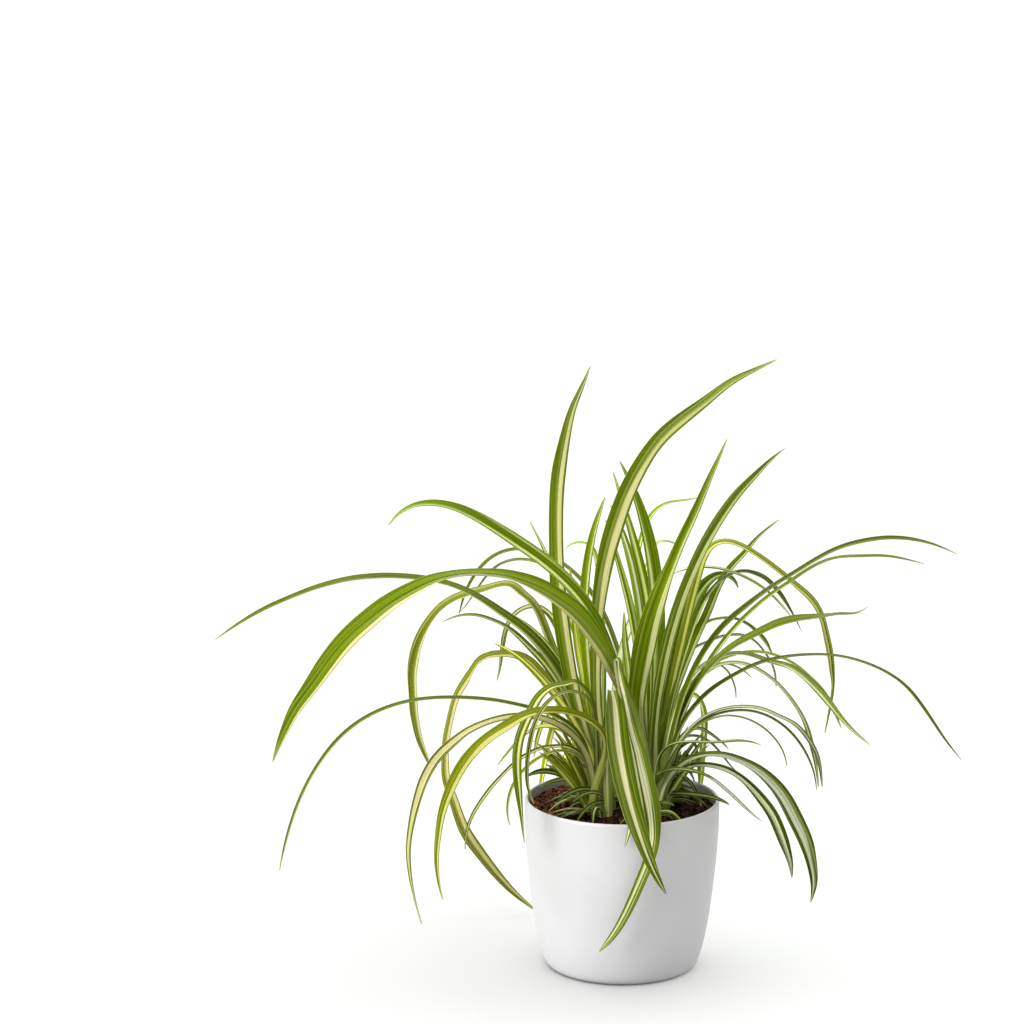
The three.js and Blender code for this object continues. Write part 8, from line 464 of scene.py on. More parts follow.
        (('olive', 0.35, 0.28, 0.5, 0.4, 1.07, (1.03, 1.03, 1.0)), [(-16.0, 25.9, 109.8, 1.35, 1.00, 0.01, 0.02), (-16.3, 26.9, 123.6, 2.44, 1.00, 0.05, 0.07), (-18.1, 29.6, 137.8, 3.90, 0.96, 0.26, 0.12), (-22.9, 33.6, 158.4, 4.58, 0.85, 0.52, 0.12), (-28.1, 37.7, 174.8, 4.92, 0.78, 0.62, 0.06), (-35.1, 45.8, 192.9, 4.95, 0.80, 0.61, 0.02), (-45.5, 59.4, 217.0, 5.13, 0.77, 0.63, 0.02), (-49.7, 63.8, 223.1, 5.73, 0.70, 0.71, 0.08), (-55.7, 68.4, 226.9, 6.26, 0.61, 0.77, 0.17), (-61.2, 72.2, 227.3, 6.94, 0.52, 0.81, 0.28), (-66.5, 76.0, 225.3, 7.53, 0.41, 0.82, 0.39), (-71.1, 79.9, 221.8, 7.73, 0.27, 0.83, 0.49), (-75.7, 84.8, 216.0, 7.41, 0.02, 0.81, 0.59), (-78.3, 88.6, 210.5, 6.52, -0.24, 0.77, 0.59), (-80.2, 92.2, 204.7, 5.57, -0.47, 0.71, 0.53), (-83.3, 102.0, 187.2, 3.37, -0.76, 0.53, 0.38), (-85.1, 107.1, 174.8, 2.14, -0.74, 0.59, 0.32), (-87.1, 109.0, 166.0, 0.87, -0.69, 0.65, 0.30)]),
    ]),
    ("leaf_left_6", "leaf_cream", [
        (('straw', -0.62, 0.44, 0.4, 0.5, 0.73, (0.95, 1.02, 1.15)), [(-19.1, 23.0, 109.8, 2.70, 1.00, 0.03, 0.05), (-21.8, 24.6, 120.1, 3.68, 1.00, 0.04, 0.07), (-24.8, 27.4, 131.8, 5.58, 0.99, 0.07, 0.11), (-28.9, 31.7, 146.8, 6.21, 0.94, 0.32, 0.12), (-33.0, 33.8, 162.1, 6.60, 0.82, 0.57, 0.10), (-37.9, 37.1, 178.7, 7.15, 0.71, 0.71, 0.02), (-44.5, 43.3, 195.9, 8.26, 0.68, 0.74, -0.05), (-55.1, 55.5, 221.0, 9.39, 0.58, 0.81, -0.12), (-58.5, 59.1, 227.5, 10.21, 0.52, 0.85, -0.12), (-62.0, 61.9, 232.0, 11.38, 0.47, 0.87, -0.10), (-65.1, 63.9, 234.8, 11.58, 0.44, 0.89, -0.08), (-69.8, 66.7, 237.9, 11.52, 0.42, 0.91, -0.05), (-74.0, 69.7, 240.9, 11.63, 0.40, 0.92, -0.01), (-78.9, 72.6, 242.2, 11.96, 0.38, 0.92, 0.04), (-86.6, 75.7, 240.5, 12.20, 0.34, 0.93, 0.13), (-94.2, 78.6, 237.2, 12.26, 0.28, 0.94, 0.20), (-106.6, 83.5, 232.4, 12.28, 0.19, 0.94, 0.28), (-117.6, 87.3, 226.8, 12.88, 0.11, 0.94, 0.31), (-125.4, 90.2, 220.2, 12.68, -0.02, 0.93, 0.36), (-131.5, 92.7, 211.9, 12.30, -0.17, 0.90, 0.40), (-136.0, 94.5, 203.9, 11.92, -0.34, 0.85, 0.41), (-140.2, 96.6, 193.9, 11.26, -0.52, 0.77, 0.38), (-143.2, 98.9, 182.1, 10.03, -0.68, 0.66, 0.31), (-144.6, 101.2, 170.6, 8.77, -0.73, 0.65, 0.22), (-144.4, 103.0, 157.8, 7.61, -0.80, 0.59, 0.12), (-144.3, 104.9, 146.3, 6.76, -0.89, 0.46, -0.00), (-143.2, 106.2, 136.2, 5.90, -0.93, 0.33, -0.13), (-140.9, 107.3, 123.9, 4.76, -0.95, 0.13, -0.28), (-137.0, 107.9, 112.3, 3.14, -0.90, -0.16, -0.41), (-133.0, 108.1, 102.6, 0.80, -0.87, 0.19, -0.45)]),
    ]),
    ("leaf_left_7", "leaf_dark", [
        (('olive', -0.7, 0.34, 0.5, 0.5, 0.83, (1.03, 1.03, 1.0)), [(14.6, 25.4, 109.8, 1.69, 0.99, 0.06, 0.15), (10.8, 25.1, 134.8, 3.84, 0.98, 0.09, 0.15), (7.7, 27.0, 154.4, 4.17, 0.88, 0.47, 0.07), (4.0, 32.0, 175.0, 4.41, 0.76, 0.65, -0.04), (-1.2, 40.1, 196.1, 5.04, 0.67, 0.73, -0.12), (-8.3, 50.0, 215.7, 5.42, 0.64, 0.76, -0.13), (-17.9, 60.8, 233.3, 6.14, 0.58, 0.81, -0.11), (-28.9, 69.4, 246.5, 6.70, 0.50, 0.86, -0.08), (-35.0, 73.1, 251.8, 6.88, 0.44, 0.90, -0.06), (-41.9, 76.5, 256.5, 6.97, 0.39, 0.92, -0.04), (-54.1, 81.4, 262.1, 6.50, 0.33, 0.94, -0.03), (-65.8, 85.2, 264.3, 6.78, 0.29, 0.96, 0.00), (-75.9, 88.1, 263.4, 6.97, 0.25, 0.97, 0.05), (-85.5, 90.7, 259.8, 6.98, 0.18, 0.97, 0.13), (-93.7, 92.9, 253.5, 6.73, 0.05, 0.97, 0.22), (-101.3, 95.0, 243.9, 5.92, -0.16, 0.95, 0.26), (-108.5, 96.7, 229.8, 3.60, -0.41, 0.88, 0.24), (-112.7, 97.2, 216.3, 0.82, -0.56, 0.80, 0.21)]),
    ]),
    ("leaf_left_8", "leaf_cream", [
        (('straw', -0.3, 0.46, 0.4, 0.7, 0.67, (0.83, 0.79, 0.8)), [(-19.6, 27.8, 109.8, 2.71, 1.00, 0.02, 0.03), (-20.2, 28.8, 119.8, 3.22, 0.99, 0.05, 0.08), (-22.2, 31.1, 131.9, 4.49, 0.98, 0.11, 0.18), (-25.2, 32.7, 142.2, 5.25, 0.94, 0.21, 0.27), (-28.4, 34.5, 150.3, 5.93, 0.90, 0.32, 0.30), (-32.2, 36.8, 157.9, 6.40, 0.85, 0.42, 0.32), (-37.6, 40.1, 166.6, 6.89, 0.78, 0.52, 0.33), (-49.4, 47.1, 180.7, 7.25, 0.70, 0.64, 0.32), (-56.7, 51.3, 187.4, 7.56, 0.63, 0.69, 0.34), (-63.0, 55.2, 192.8, 7.87, 0.58, 0.73, 0.36), (-70.5, 58.8, 195.9, 8.24, 0.53, 0.76, 0.38), (-78.8, 62.2, 196.3, 8.50, 0.46, 0.80, 0.38), (-85.3, 64.9, 195.3, 8.67, 0.39, 0.83, 0.39), (-90.0, 67.9, 193.9, 8.86, 0.30, 0.85, 0.43), (-93.3, 70.2, 192.0, 8.96, 0.20, 0.86, 0.47), (-97.3, 73.3, 188.9, 8.89, 0.04, 0.85, 0.52), (-101.8, 77.8, 181.9, 8.52, -0.15, 0.83, 0.53), (-106.0, 82.0, 173.9, 8.15, -0.36, 0.79, 0.49), (-112.4, 87.0, 162.4, 7.05, -0.53, 0.74, 0.41), (-116.8, 91.5, 148.2, 6.97, -0.59, 0.74, 0.33), (-119.7, 94.6, 134.6, 7.15, -0.64, 0.73, 0.25), (-121.7, 96.6, 122.2, 6.79, -0.73, 0.67, 0.16), (-122.1, 97.7, 111.3, 6.60, -0.84, 0.55, 0.03), (-121.8, 98.6, 99.3, 6.58, -0.92, 0.37, -0.13), (-117.8, 99.1, 85.8, 6.99, -0.94, 0.22, -0.28), (-113.9, 98.9, 73.4, 7.33, -0.92, 0.09, -0.39), (-108.8, 98.5, 60.3, 7.99, -0.88, -0.12, -0.46), (-100.3, 97.8, 46.6, 8.30, -0.75, -0.48, -0.45), (-90.3, 97.0, 33.5, 7.25, -0.69, -0.53, -0.50), (-80.9, 96.1, 22.6, 5.82, -0.61, -0.57, -0.54), (-70.4, 95.4, 12.7, 3.47, -0.53, -0.61, -0.59), (-58.9, 95.0, 3.8, 1.16, -0.48, -0.64, -0.60)]),
    ]),
    ("leaf_left_9", "leaf_dark", [
        (('fresh', -0.5, 0.36, 0.4, 0.5, 0.7, (1.03, 0.97, 1.0)), [(-17.8, -12.5, 109.8, 1.33, 0.99, 0.07, 0.15), (-20.7, -13.0, 128.0, 2.56, 0.99, 0.08, 0.14), (-22.6, -14.6, 143.8, 3.43, 0.94, 0.30, 0.19), (-24.4, -15.7, 152.5, 3.67, 0.79, 0.52, 0.32), (-28.8, -16.7, 162.0, 4.34, 0.51, 0.76, 0.40), (-32.0, -17.2, 166.1, 4.74, 0.33, 0.84, 0.43), (-37.2, -18.1, 170.8, 5.39, 0.14, 0.91, 0.40), (-44.7, -19.5, 175.5, 5.67, -0.01, 0.94, 0.34), (-52.8, -21.3, 179.0, 5.80, -0.10, 0.96, 0.27), (-66.2, -24.5, 183.3, 6.05, -0.18, 0.97, 0.18), (-81.4, -28.5, 187.5, 6.19, -0.23, 0.96, 0.14), (-106.6, -36.2, 191.6, 6.16, -0.28, 0.95, 0.12), (-118.8, -40.0, 192.5, 6.12, -0.31, 0.95, 0.09), (-130.8, -44.1, 192.5, 6.07, -0.33, 0.94, 0.05), (-147.0, -50.2, 190.4, 5.97, -0.36, 0.93, 0.01), (-162.9, -56.8, 185.2, 5.82, -0.41, 0.91, -0.00), (-175.9, -63.2, 177.9, 5.64, -0.47, 0.89, -0.01), (-188.1, -70.7, 167.1, 5.16, -0.53, 0.85, -0.03), (-194.3, -75.4, 159.6, 4.46, -0.58, 0.81, -0.05), (-200.6, -81.0, 150.2, 4.13, -0.63, 0.78, -0.07), (-209.1, -90.3, 132.9, 3.41, -0.68, 0.73, -0.08), (-212.9, -95.3, 122.1, 2.85, -0.69, 0.72, -0.07), (-215.6, -98.8, 112.5, 2.47, -0.70, 0.71, -0.04), (-217.6, -100.9, 104.2, 1.88, -0.70, 0.72, 0.01), (-219.7, -102.2, 93.8, 0.80, -0.70, 0.71, 0.05)]),
    ]),
    ("leaf_left_10", "leaf_cream", [
        (('yellow', -0.35, 0.44, 0.5, 0.6, 1.01, (0.76, 0.76, 0.86)), [(-20.1, -20.7, 109.8, 2.00, 1.00, -0.03, -0.09), (-19.1, -21.6, 121.9, 2.77, 0.99, -0.07, -0.14), (-17.8, -22.8, 128.8, 3.65, 0.96, -0.11, -0.25), (-12.7, -28.9, 147.6, 4.37, 0.97, 0.17, -0.14), (-11.2, -32.6, 159.5, 4.76, 0.85, 0.50, 0.18), (-11.8, -34.3, 164.5, 5.04, 0.66, 0.63, 0.41), (-13.6, -36.2, 169.1, 5.79, 0.41, 0.74, 0.54), (-16.3, -38.0, 173.2, 6.75, 0.18, 0.81, 0.56), (-19.8, -39.9, 176.7, 7.36, 0.01, 0.85, 0.53), (-29.4, -44.0, 182.7, 8.48, -0.18, 0.91, 0.39), (-41.8, -48.4, 186.4, 9.27, -0.27, 0.92, 0.29), (-49.7, -51.4, 187.1, 9.65, -0.32, 0.91, 0.26), (-55.9, -54.0, 186.9, 9.93, -0.42, 0.88, 0.23), (-63.5, -58.4, 185.5, 10.24, -0.54, 0.82, 0.20), (-70.4, -63.9, 182.9, 10.60, -0.63, 0.76, 0.18), (-77.2, -69.6, 179.6, 10.95, -0.67, 0.73, 0.16), (-83.9, -74.9, 176.3, 10.47, -0.70, 0.70, 0.12), (-96.6, -86.1, 166.9, 10.06, -0.74, 0.67, 0.08), (-101.4, -91.2, 161.6, 9.47, -0.79, 0.62, 0.05), (-106.4, -97.3, 154.0, 8.49, -0.84, 0.55, 0.04), (-110.4, -102.8, 145.8, 7.26, -0.88, 0.47, 0.02), (-113.9, -108.6, 136.5, 5.98, -0.90, 0.42, -0.04), (-115.9, -114.6, 126.5, 5.12, -0.90, 0.42, -0.14), (-116.9, -119.8, 117.7, 4.45, -0.90, 0.40, -0.20), (-117.3, -124.5, 108.7, 3.48, -0.93, 0.32, -0.20), (-116.7, -127.6, 101.4, 2.61, -0.92, 0.32, -0.24), (-115.4, -129.9, 93.3, 1.73, -0.93, 0.27, -0.25), (-113.3, -131.0, 84.7, 0.80, -0.94, 0.23, -0.27)]),
    ]),
    ("leaf_left_11", "leaf_dark", [
        (('straw', 0.15, 0.5, 0.4, 0.6, 0.55, (0.99, 0.98, 1.15)), [(-19.3, -14.0, 109.8, 1.67, 1.00, 0.01, 0.01), (-19.4, -14.5, 122.3, 2.51, 1.00, 0.03, 0.04), (-20.0, -15.5, 131.4, 3.93, 0.98, 0.08, 0.15), (-22.6, -17.8, 143.8, 4.94, 0.85, 0.41, 0.33), (-25.1, -19.2, 150.5, 5.26, 0.69, 0.57, 0.44), (-28.5, -20.8, 156.8, 5.77, 0.49, 0.71, 0.51), (-32.8, -22.5, 162.4, 6.57, 0.29, 0.80, 0.52), (-37.9, -24.1, 167.3, 7.22, 0.14, 0.86, 0.49), (-43.6, -25.8, 171.3, 7.43, 0.01, 0.89, 0.45), (-49.8, -27.4, 174.3, 7.63, -0.09, 0.91, 0.40), (-56.3, -29.1, 176.5, 7.81, -0.18, 0.93, 0.34), (-64.7, -31.5, 178.0, 7.91, -0.25, 0.93, 0.28), (-73.2, -34.4, 178.3, 7.85, -0.31, 0.92, 0.25), (-81.6, -37.6, 177.5, 7.75, -0.36, 0.90, 0.23), (-89.8, -41.1, 175.7, 7.64, -0.41, 0.89, 0.21), (-96.1, -44.0, 173.6, 8.10, -0.46, 0.87, 0.20), (-102.1, -47.0, 170.8, 8.24, -0.50, 0.85, 0.18), (-108.8, -50.8, 166.4, 8.08, -0.61, 0.75, 0.25), (-119.8, -57.8, 157.5, 7.14, -0.79, 0.49, 0.37), (-128.4, -66.4, 144.0, 6.97, -0.87, 0.46, 0.19), (-132.8, -74.4, 131.0, 6.12, -0.89, 0.46, 0.01), (-134.9, -80.0, 122.1, 5.51, -0.88, 0.47, -0.13), (-136.4, -85.6, 113.0, 4.88, -0.82, 0.51, -0.26), (-137.0, -90.2, 105.7, 4.41, -0.81, 0.49, -0.32), (-136.5, -95.6, 96.9, 3.52, -0.82, 0.45, -0.35), (-135.1, -100.5, 87.8, 2.60, -0.83, 0.42, -0.37), (-133.0, -104.7, 78.6, 1.71, -0.85, 0.39, -0.36), (-130.5, -107.5, 69.3, 1.01, -0.87, 0.36, -0.34), (-128.0, -108.7, 61.3, 0.80, -0.89, 0.33, -0.32)]),
    ]),
    ("leaf_left_12", "leaf_cream", [
        (('olive', -0.15, 0.28, 0.5, 0.5, 0.93, (1.03, 0.99, 1.0)), [(-15.6, -11.1, 109.8, 2.00, 1.00, 0.02, 0.05), (-16.4, -12.1, 134.8, 4.75, 0.96, 0.28, 0.08), (-17.2, -14.2, 150.5, 4.46, 0.73, 0.66, 0.18), (-18.5, -20.1, 172.0, 4.52, 0.58, 0.76, 0.29), (-20.5, -24.6, 186.0, 6.79, 0.28, 0.89, 0.37), (-23.0, -26.9, 192.6, 8.11, 0.02, 0.93, 0.36), (-26.9, -29.1, 198.2, 8.96, -0.22, 0.95, 0.23), (-31.0, -30.8, 201.1, 9.45, -0.31, 0.94, 0.09), (-37.8, -33.5, 200.2, 9.98, -0.32, 0.95, 0.07), (-41.2, -34.6, 200.0, 9.90, -0.33, 0.94, 0.08), (-46.0, -36.1, 199.0, 9.69, -0.38, 0.92, 0.11), (-50.4, -37.7, 196.5, 9.50, -0.47, 0.87, 0.14), (-54.0, -39.3, 193.0, 9.29, -0.58, 0.80, 0.14), (-59.8, -42.6, 183.0, 8.67, -0.70, 0.71, 0.11), (-65.6, -46.1, 169.9, 7.98, -0.77, 0.64, 0.04), (-68.0, -49.3, 154.5, 7.31, -0.84, 0.53, -0.02), (-66.8, -52.4, 133.0, 5.85, -0.85, 0.52, -0.07), (-65.2, -53.8, 117.1, 3.14, -0.78, 0.61, -0.11), (-63.5, -54.5, 99.1, 0.80, -0.84, 0.53, -0.13)]),
    ]),
    ("leaf_left_13", "leaf_cream", [
        (('cream', -0.5, 0.28, 0.4, 0.5, 0.55, (1.03, 1.03, 1.0)), [(-13.4, -17.9, 109.8, 1.33, 0.99, 0.04, 0.09), (-15.5, -18.4, 133.3, 2.82, 0.96, 0.25, 0.09), (-15.9, -18.8, 142.9, 3.00, 0.91, 0.39, 0.14), (-16.8, -28.4, 167.0, 3.31, 0.71, 0.63, 0.31), (-19.2, -36.6, 184.1, 4.43, 0.43, 0.78, 0.46), (-21.4, -40.3, 190.4, 4.87, 0.11, 0.84, 0.53), (-24.9, -44.0, 195.6, 5.08, -0.21, 0.87, 0.44), (-28.4, -46.7, 198.2, 5.11, -0.36, 0.87, 0.33), (-34.1, -50.2, 200.1, 5.01, -0.43, 0.88, 0.19), (-40.1, -53.6, 199.6, 4.84, -0.46, 0.88, 0.11), (-47.1, -57.5, 195.7, 5.37, -0.50, 0.86, 0.07), (-52.5, -61.0, 189.5, 4.83, -0.55, 0.83, 0.09), (-56.2, -63.3, 182.0, 4.48, -0.60, 0.79, 0.14), (-59.6, -64.1, 168.5, 4.07, -0.70, 0.70, 0.16), (-61.5, -62.8, 149.3, 3.29, -0.82, 0.56, 0.05), (-60.5, -61.2, 137.2, 2.06, -0.91, 0.38, -0.17), (-57.1, -59.8, 127.3, 0.80, -0.92, 0.25, -0.31)]),
    ]),
    ("leaf_left_14", "leaf_cream", [
        (('cream', 0.0, 0.34, 0.4, 0.5, 0.55, (1.02, 1.0, 1.0)), [(-18.0, -4.1, 109.8, 1.34, 1.00, 0.04, 0.08), (-18.9, -2.6, 121.9, 2.00, 0.98, 0.10, 0.14), (-20.7, -1.7, 130.4, 3.00, 0.86, 0.45, 0.24), (-23.2, -1.4, 137.0, 3.83, 0.64, 0.70, 0.32), (-26.9, -1.4, 142.9, 4.82, 0.32, 0.90, 0.31), (-30.9, -1.5, 146.5, 5.04, 0.10, 0.96, 0.24), (-37.3, -1.8, 149.3, 5.25, -0.02, 0.99, 0.15), (-44.3, -2.4, 149.6, 5.32, -0.06, 0.99, 0.14), (-51.4, -3.1, 149.0, 5.30, -0.11, 0.98, 0.17), (-61.2, -4.2, 145.6, 5.22, -0.17, 0.97, 0.19), (-69.9, -5.4, 140.0, 5.12, -0.23, 0.95, 0.19), (-78.4, -6.7, 131.8, 5.76, -0.23, 0.96, 0.12), (-86.6, -7.9, 122.7, 5.69, -0.32, 0.94, 0.14), (-93.9, -9.1, 112.9, 4.44, -0.45, 0.88, 0.16), (-99.3, -9.9, 103.8, 3.50, -0.62, 0.77, 0.17), (-102.9, -10.7, 93.7, 2.09, -0.81, 0.57, 0.15), (-104.2, -11.3, 80.7, 0.80, -0.87, 0.49, 0.11)]),
    ]),
    ("leaf_left_15", "leaf_yellow", [
        (('straw', -0.5, 0.4, 0.4, 0.5, 0.92, (0.97, 0.97, 1.15)), [(-15.6, -5.5, 109.8, 1.34, 1.00, 0.05, 0.08), (-16.4, -5.5, 119.6, 1.78, 0.98, 0.12, 0.15), (-18.0, -5.4, 126.5, 2.59, 0.84, 0.49, 0.26), (-20.6, -5.3, 132.9, 3.64, 0.61, 0.73, 0.31), (-24.3, -5.6, 139.0, 4.87, 0.30, 0.91, 0.29), (-27.7, -6.2, 143.0, 5.15, 0.08, 0.96, 0.28), (-31.8, -7.2, 146.3, 5.32, -0.07, 0.97, 0.23), (-36.6, -8.3, 148.2, 5.33, -0.16, 0.97, 0.18), (-41.8, -9.4, 148.7, 5.29, -0.21, 0.97, 0.14), (-50.2, -11.2, 146.7, 5.17, -0.25, 0.96, 0.13), (-57.9, -12.8, 142.6, 5.04, -0.31, 0.94, 0.14), (-64.6, -14.5, 137.0, 4.22, -0.39, 0.91, 0.15), (-70.0, -16.0, 130.1, 3.81, -0.50, 0.85, 0.15), (-73.2, -17.1, 123.8, 3.26, -0.63, 0.77, 0.11), (-75.4, -18.2, 115.2, 2.15, -0.78, 0.62, 0.04), (-75.6, -18.9, 107.9, 1.42, -0.88, 0.47, -0.10), (-74.3, -19.3, 100.7, 0.80, -0.92, 0.35, -0.18)]),
    ]),
    ("leaf_left_16", "leaf_yellow", [
        (('bright', 0.45, 0.34, 0.4, 0.5, 0.55, (1.03, 1.03, 1.0)), [(-14.9, 13.4, 109.8, 1.69, 0.99, 0.06, 0.10), (-15.8, 13.4, 118.1, 2.09, 0.98, 0.12, 0.15), (-17.8, 14.9, 126.4, 3.10, 0.89, 0.42, 0.17), (-21.0, 17.2, 133.9, 4.15, 0.77, 0.63, 0.12), (-24.2, 19.4, 139.3, 4.84, 0.68, 0.73, 0.06), (-29.2, 22.5, 145.2, 5.74, 0.65, 0.76, 0.02), (-34.0, 26.4, 148.7, 6.52, 0.64, 0.77, 0.04), (-39.3, 31.0, 151.0, 6.79, 0.62, 0.78, 0.09), (-45.1, 35.9, 152.1, 7.02, 0.58, 0.80, 0.15), (-49.5, 39.4, 151.9, 6.94, 0.54, 0.82, 0.21), (-55.3, 44.0, 150.4, 6.45, 0.46, 0.83, 0.30), (-59.3, 47.3, 148.2, 6.04, 0.37, 0.85, 0.37), (-64.2, 51.6, 144.3, 5.36, 0.23, 0.87, 0.43), (-69.8, 57.0, 138.3, 4.51, 0.07, 0.88, 0.46), (-75.6, 61.5, 130.8, 3.64, -0.09, 0.89, 0.45), (-81.0, 63.4, 123.6, 2.45, -0.22, 0.90, 0.39), (-85.5, 63.1, 117.8, 0.92, -0.27, 0.90, 0.35)]),
    ]),
    ("leaves_back_left_short", "leaf_yellow", [
        (('bright', -0.3, 0.36, 0.4, 0.5, 1.74, (1.03, 0.97, 1.15)), [(-13.6, 27.6, 109.8, 1.35, 0.98, 0.07, 0.16), (-15.4, 28.4, 120.7, 2.07, 0.99, 0.06, 0.11), (-16.1, 31.0, 130.4, 3.25, 0.98, 0.18, -0.02), (-16.5, 36.9, 140.6, 3.86, 0.93, 0.34, -0.12), (-18.2, 44.1, 150.2, 4.08, 0.87, 0.48, -0.11), (-21.8, 50.5, 157.5, 4.47, 0.81, 0.59, -0.02), (-26.2, 55.9, 162.5, 5.07, 0.76, 0.64, 0.11), (-30.7, 60.1, 165.0, 5.87, 0.67, 0.69, 0.27), (-35.5, 64.2, 165.0, 6.37, 0.48, 0.72, 0.50), (-38.7, 67.1, 163.2, 6.68, 0.17, 0.76, 0.63), (-42.0, 70.9, 158.9, 6.50, -0.28, 0.72, 0.64), (-45.5, 76.7, 148.7, 5.32, -0.63, 0.62, 0.48), (-49.1, 82.8, 134.0, 5.14, -0.71, 0.60, 0.37), (-52.0, 86.8, 120.2, 5.03, -0.76, 0.59, 0.29), (-54.4, 89.6, 106.2, 4.22, -0.78, 0.58, 0.23), (-57.0, 91.5, 90.4, 2.89, -0.80, 0.58, 0.18), (-59.6, 92.2, 74.5, 0.95, -0.80, 0.58, 0.16)]),
        (('bright', 0.4, 0.34, 0.4, 0.5, 2.34, (1.03, 0.97, 1.0)), [(-13.1, 27.6, 109.8, 1.36, 0.94, 0.14, 0.32), (-15.4, 29.1, 116.1, 1.72, 0.98, 0.08, 0.16), (-15.4, 31.4, 121.9, 2.40, 1.00, -0.02, -0.05), (-14.1, 37.8, 133.4, 3.61, 0.94, 0.27, -0.23), (-14.1, 45.1, 142.8, 3.82, 0.88, 0.41, -0.24), (-15.2, 48.6, 146.1, 4.18, 0.87, 0.48, -0.12), (-17.1, 52.2, 148.4, 4.72, 0.84, 0.55, 0.05), (-19.9, 55.8, 149.4, 5.61, 0.75, 0.60, 0.26), (-22.9, 59.5, 149.1, 6.60, 0.59, 0.64, 0.49), (-25.4, 63.0, 147.3, 6.83, 0.28, 0.68, 0.67), (-28.3, 67.5, 143.3, 6.59, -0.14, 0.69, 0.71), (-32.4, 74.5, 134.4, 5.68, -0.43, 0.67, 0.61), (-37.1, 80.8, 122.4, 5.40, -0.56, 0.66, 0.49), (-40.5, 84.4, 112.4, 4.84, -0.65, 0.65, 0.40), (-43.4, 87.0, 102.0, 4.04, -0.70, 0.64, 0.32), (-46.4, 88.8, 89.8, 2.75, -0.74, 0.62, 0.24), (-49.1, 89.5, 77.6, 0.96, -0.76, 0.61, 0.21)]),
        (('bright', 0.0, 0.28, 0.4, 0.5, 0.88, (1.03, 1.0, 1.0)), [(-13.8, 27.5, 109.8, 1.36, 0.98, 0.09, 0.17), (-15.4, 29.7, 118.3, 1.74, 0.98, 0.10, 0.14), (-17.1, 34.5, 127.6, 2.60, 0.93, 0.36, -0.02), (-19.3, 40.8, 136.6, 3.24, 0.84, 0.52, -0.12), (-22.3, 47.0, 143.9, 3.73, 0.80, 0.60, -0.09), (-26.2, 52.2, 149.4, 4.27, 0.75, 0.66, -0.02), (-30.3, 56.5, 153.2, 4.66, 0.69, 0.72, 0.06), (-35.3, 60.6, 155.8, 4.98, 0.63, 0.76, 0.15), (-39.4, 63.5, 156.6, 5.17, 0.56, 0.79, 0.25), (-43.5, 66.4, 155.8, 5.39, 0.44, 0.82, 0.37), (-47.2, 69.2, 153.7, 5.49, 0.26, 0.84, 0.48), (-50.3, 71.8, 150.5, 5.36, 0.03, 0.84, 0.55), (-52.8, 74.2, 146.7, 5.13, -0.20, 0.81, 0.55), (-55.5, 77.0, 141.0, 4.77, -0.43, 0.76, 0.49), (-57.8, 79.8, 133.6, 4.08, -0.63, 0.68, 0.38), (-59.4, 81.7, 126.1, 2.62, -0.73, 0.63, 0.26), (-60.7, 82.7, 118.3, 0.80, -0.75, 0.62, 0.21)]),
    ]),
    ("leaf_upright_13", "leaf_olive", [
        (('bright', -0.1, 0.34, 0.5, 0.4, 2.7, (1.03, 0.97, 1.0)), [(-10.8, 9.4, 109.8, 3.40, 0.99, 0.11, 0.06), (-12.0, 10.0, 118.8, 4.15, 0.99, 0.12, 0.07), (-12.6, 11.1, 122.8, 4.46, 0.99, 0.12, 0.10), (-15.0, 14.3, 135.3, 5.18, 0.98, 0.13, 0.12), (-18.1, 16.0, 148.4, 5.58, 0.98, 0.14, 0.17), (-20.6, 17.8, 161.1, 5.79, 0.97, 0.14, 0.17), (-23.0, 20.8, 173.5, 5.76, 0.98, 0.14, 0.16), (-25.5, 24.7, 185.9, 5.64, 0.98, 0.14, 0.16), (-28.1, 28.2, 198.3, 5.40, 0.98, 0.14, 0.17), (-30.5, 30.9, 211.0, 4.95, 0.98, 0.13, 0.14), (-32.1, 32.0, 224.1, 4.37, 0.99, 0.12, 0.10), (-33.2, 32.5, 237.4, 3.55, 0.99, 0.12, 0.09), (-34.4, 32.5, 250.7, 2.41, 0.99, 0.12, 0.09), (-35.5, 31.7, 264.2, 0.80, 0.99, 0.12, 0.09)]),
    ]),
    ("leaf_upright_14", "leaf_olive", [
        (('olive_deep', 0.1, 0.26, 0.6, 0.4, 2.7, (1.03, 1.03, 1.0)), [(15.0, 6.3, 109.8, 3.40, 0.98, 0.04, 0.18), (13.9, 6.2, 118.6, 4.15, 0.98, 0.04, 0.18), (13.7, 6.2, 120.6, 4.30, 0.98, 0.04, 0.17), (12.5, 6.0, 131.4, 5.03, 0.98, 0.03, 0.17), (11.4, 5.7, 142.2, 5.53, 0.99, 0.03, 0.16), (9.8, 4.2, 153.0, 5.93, 0.99, 0.03, 0.15), (8.2, 3.1, 163.8, 6.18, 0.99, 0.03, 0.14), (6.7, 3.0, 174.6, 6.20, 0.99, 0.03, 0.14), (5.2, 3.0, 185.5, 6.20, 0.99, 0.02, 0.12), (4.0, 3.2, 196.4, 6.02, 0.99, 0.02, 0.10), (2.9, 3.9, 207.3, 5.45, 0.99, 0.02, 0.10), (1.6, 5.4, 218.1, 4.57, 1.00, 0.02, 0.09), (0.9, 7.2, 228.9, 3.08, 1.00, 0.01, 0.05), (0.6, 9.0, 239.8, 0.80, 1.00, 0.01, 0.03)]),
    ]),
    ("leaf_left_17", "leaf_yellow", [
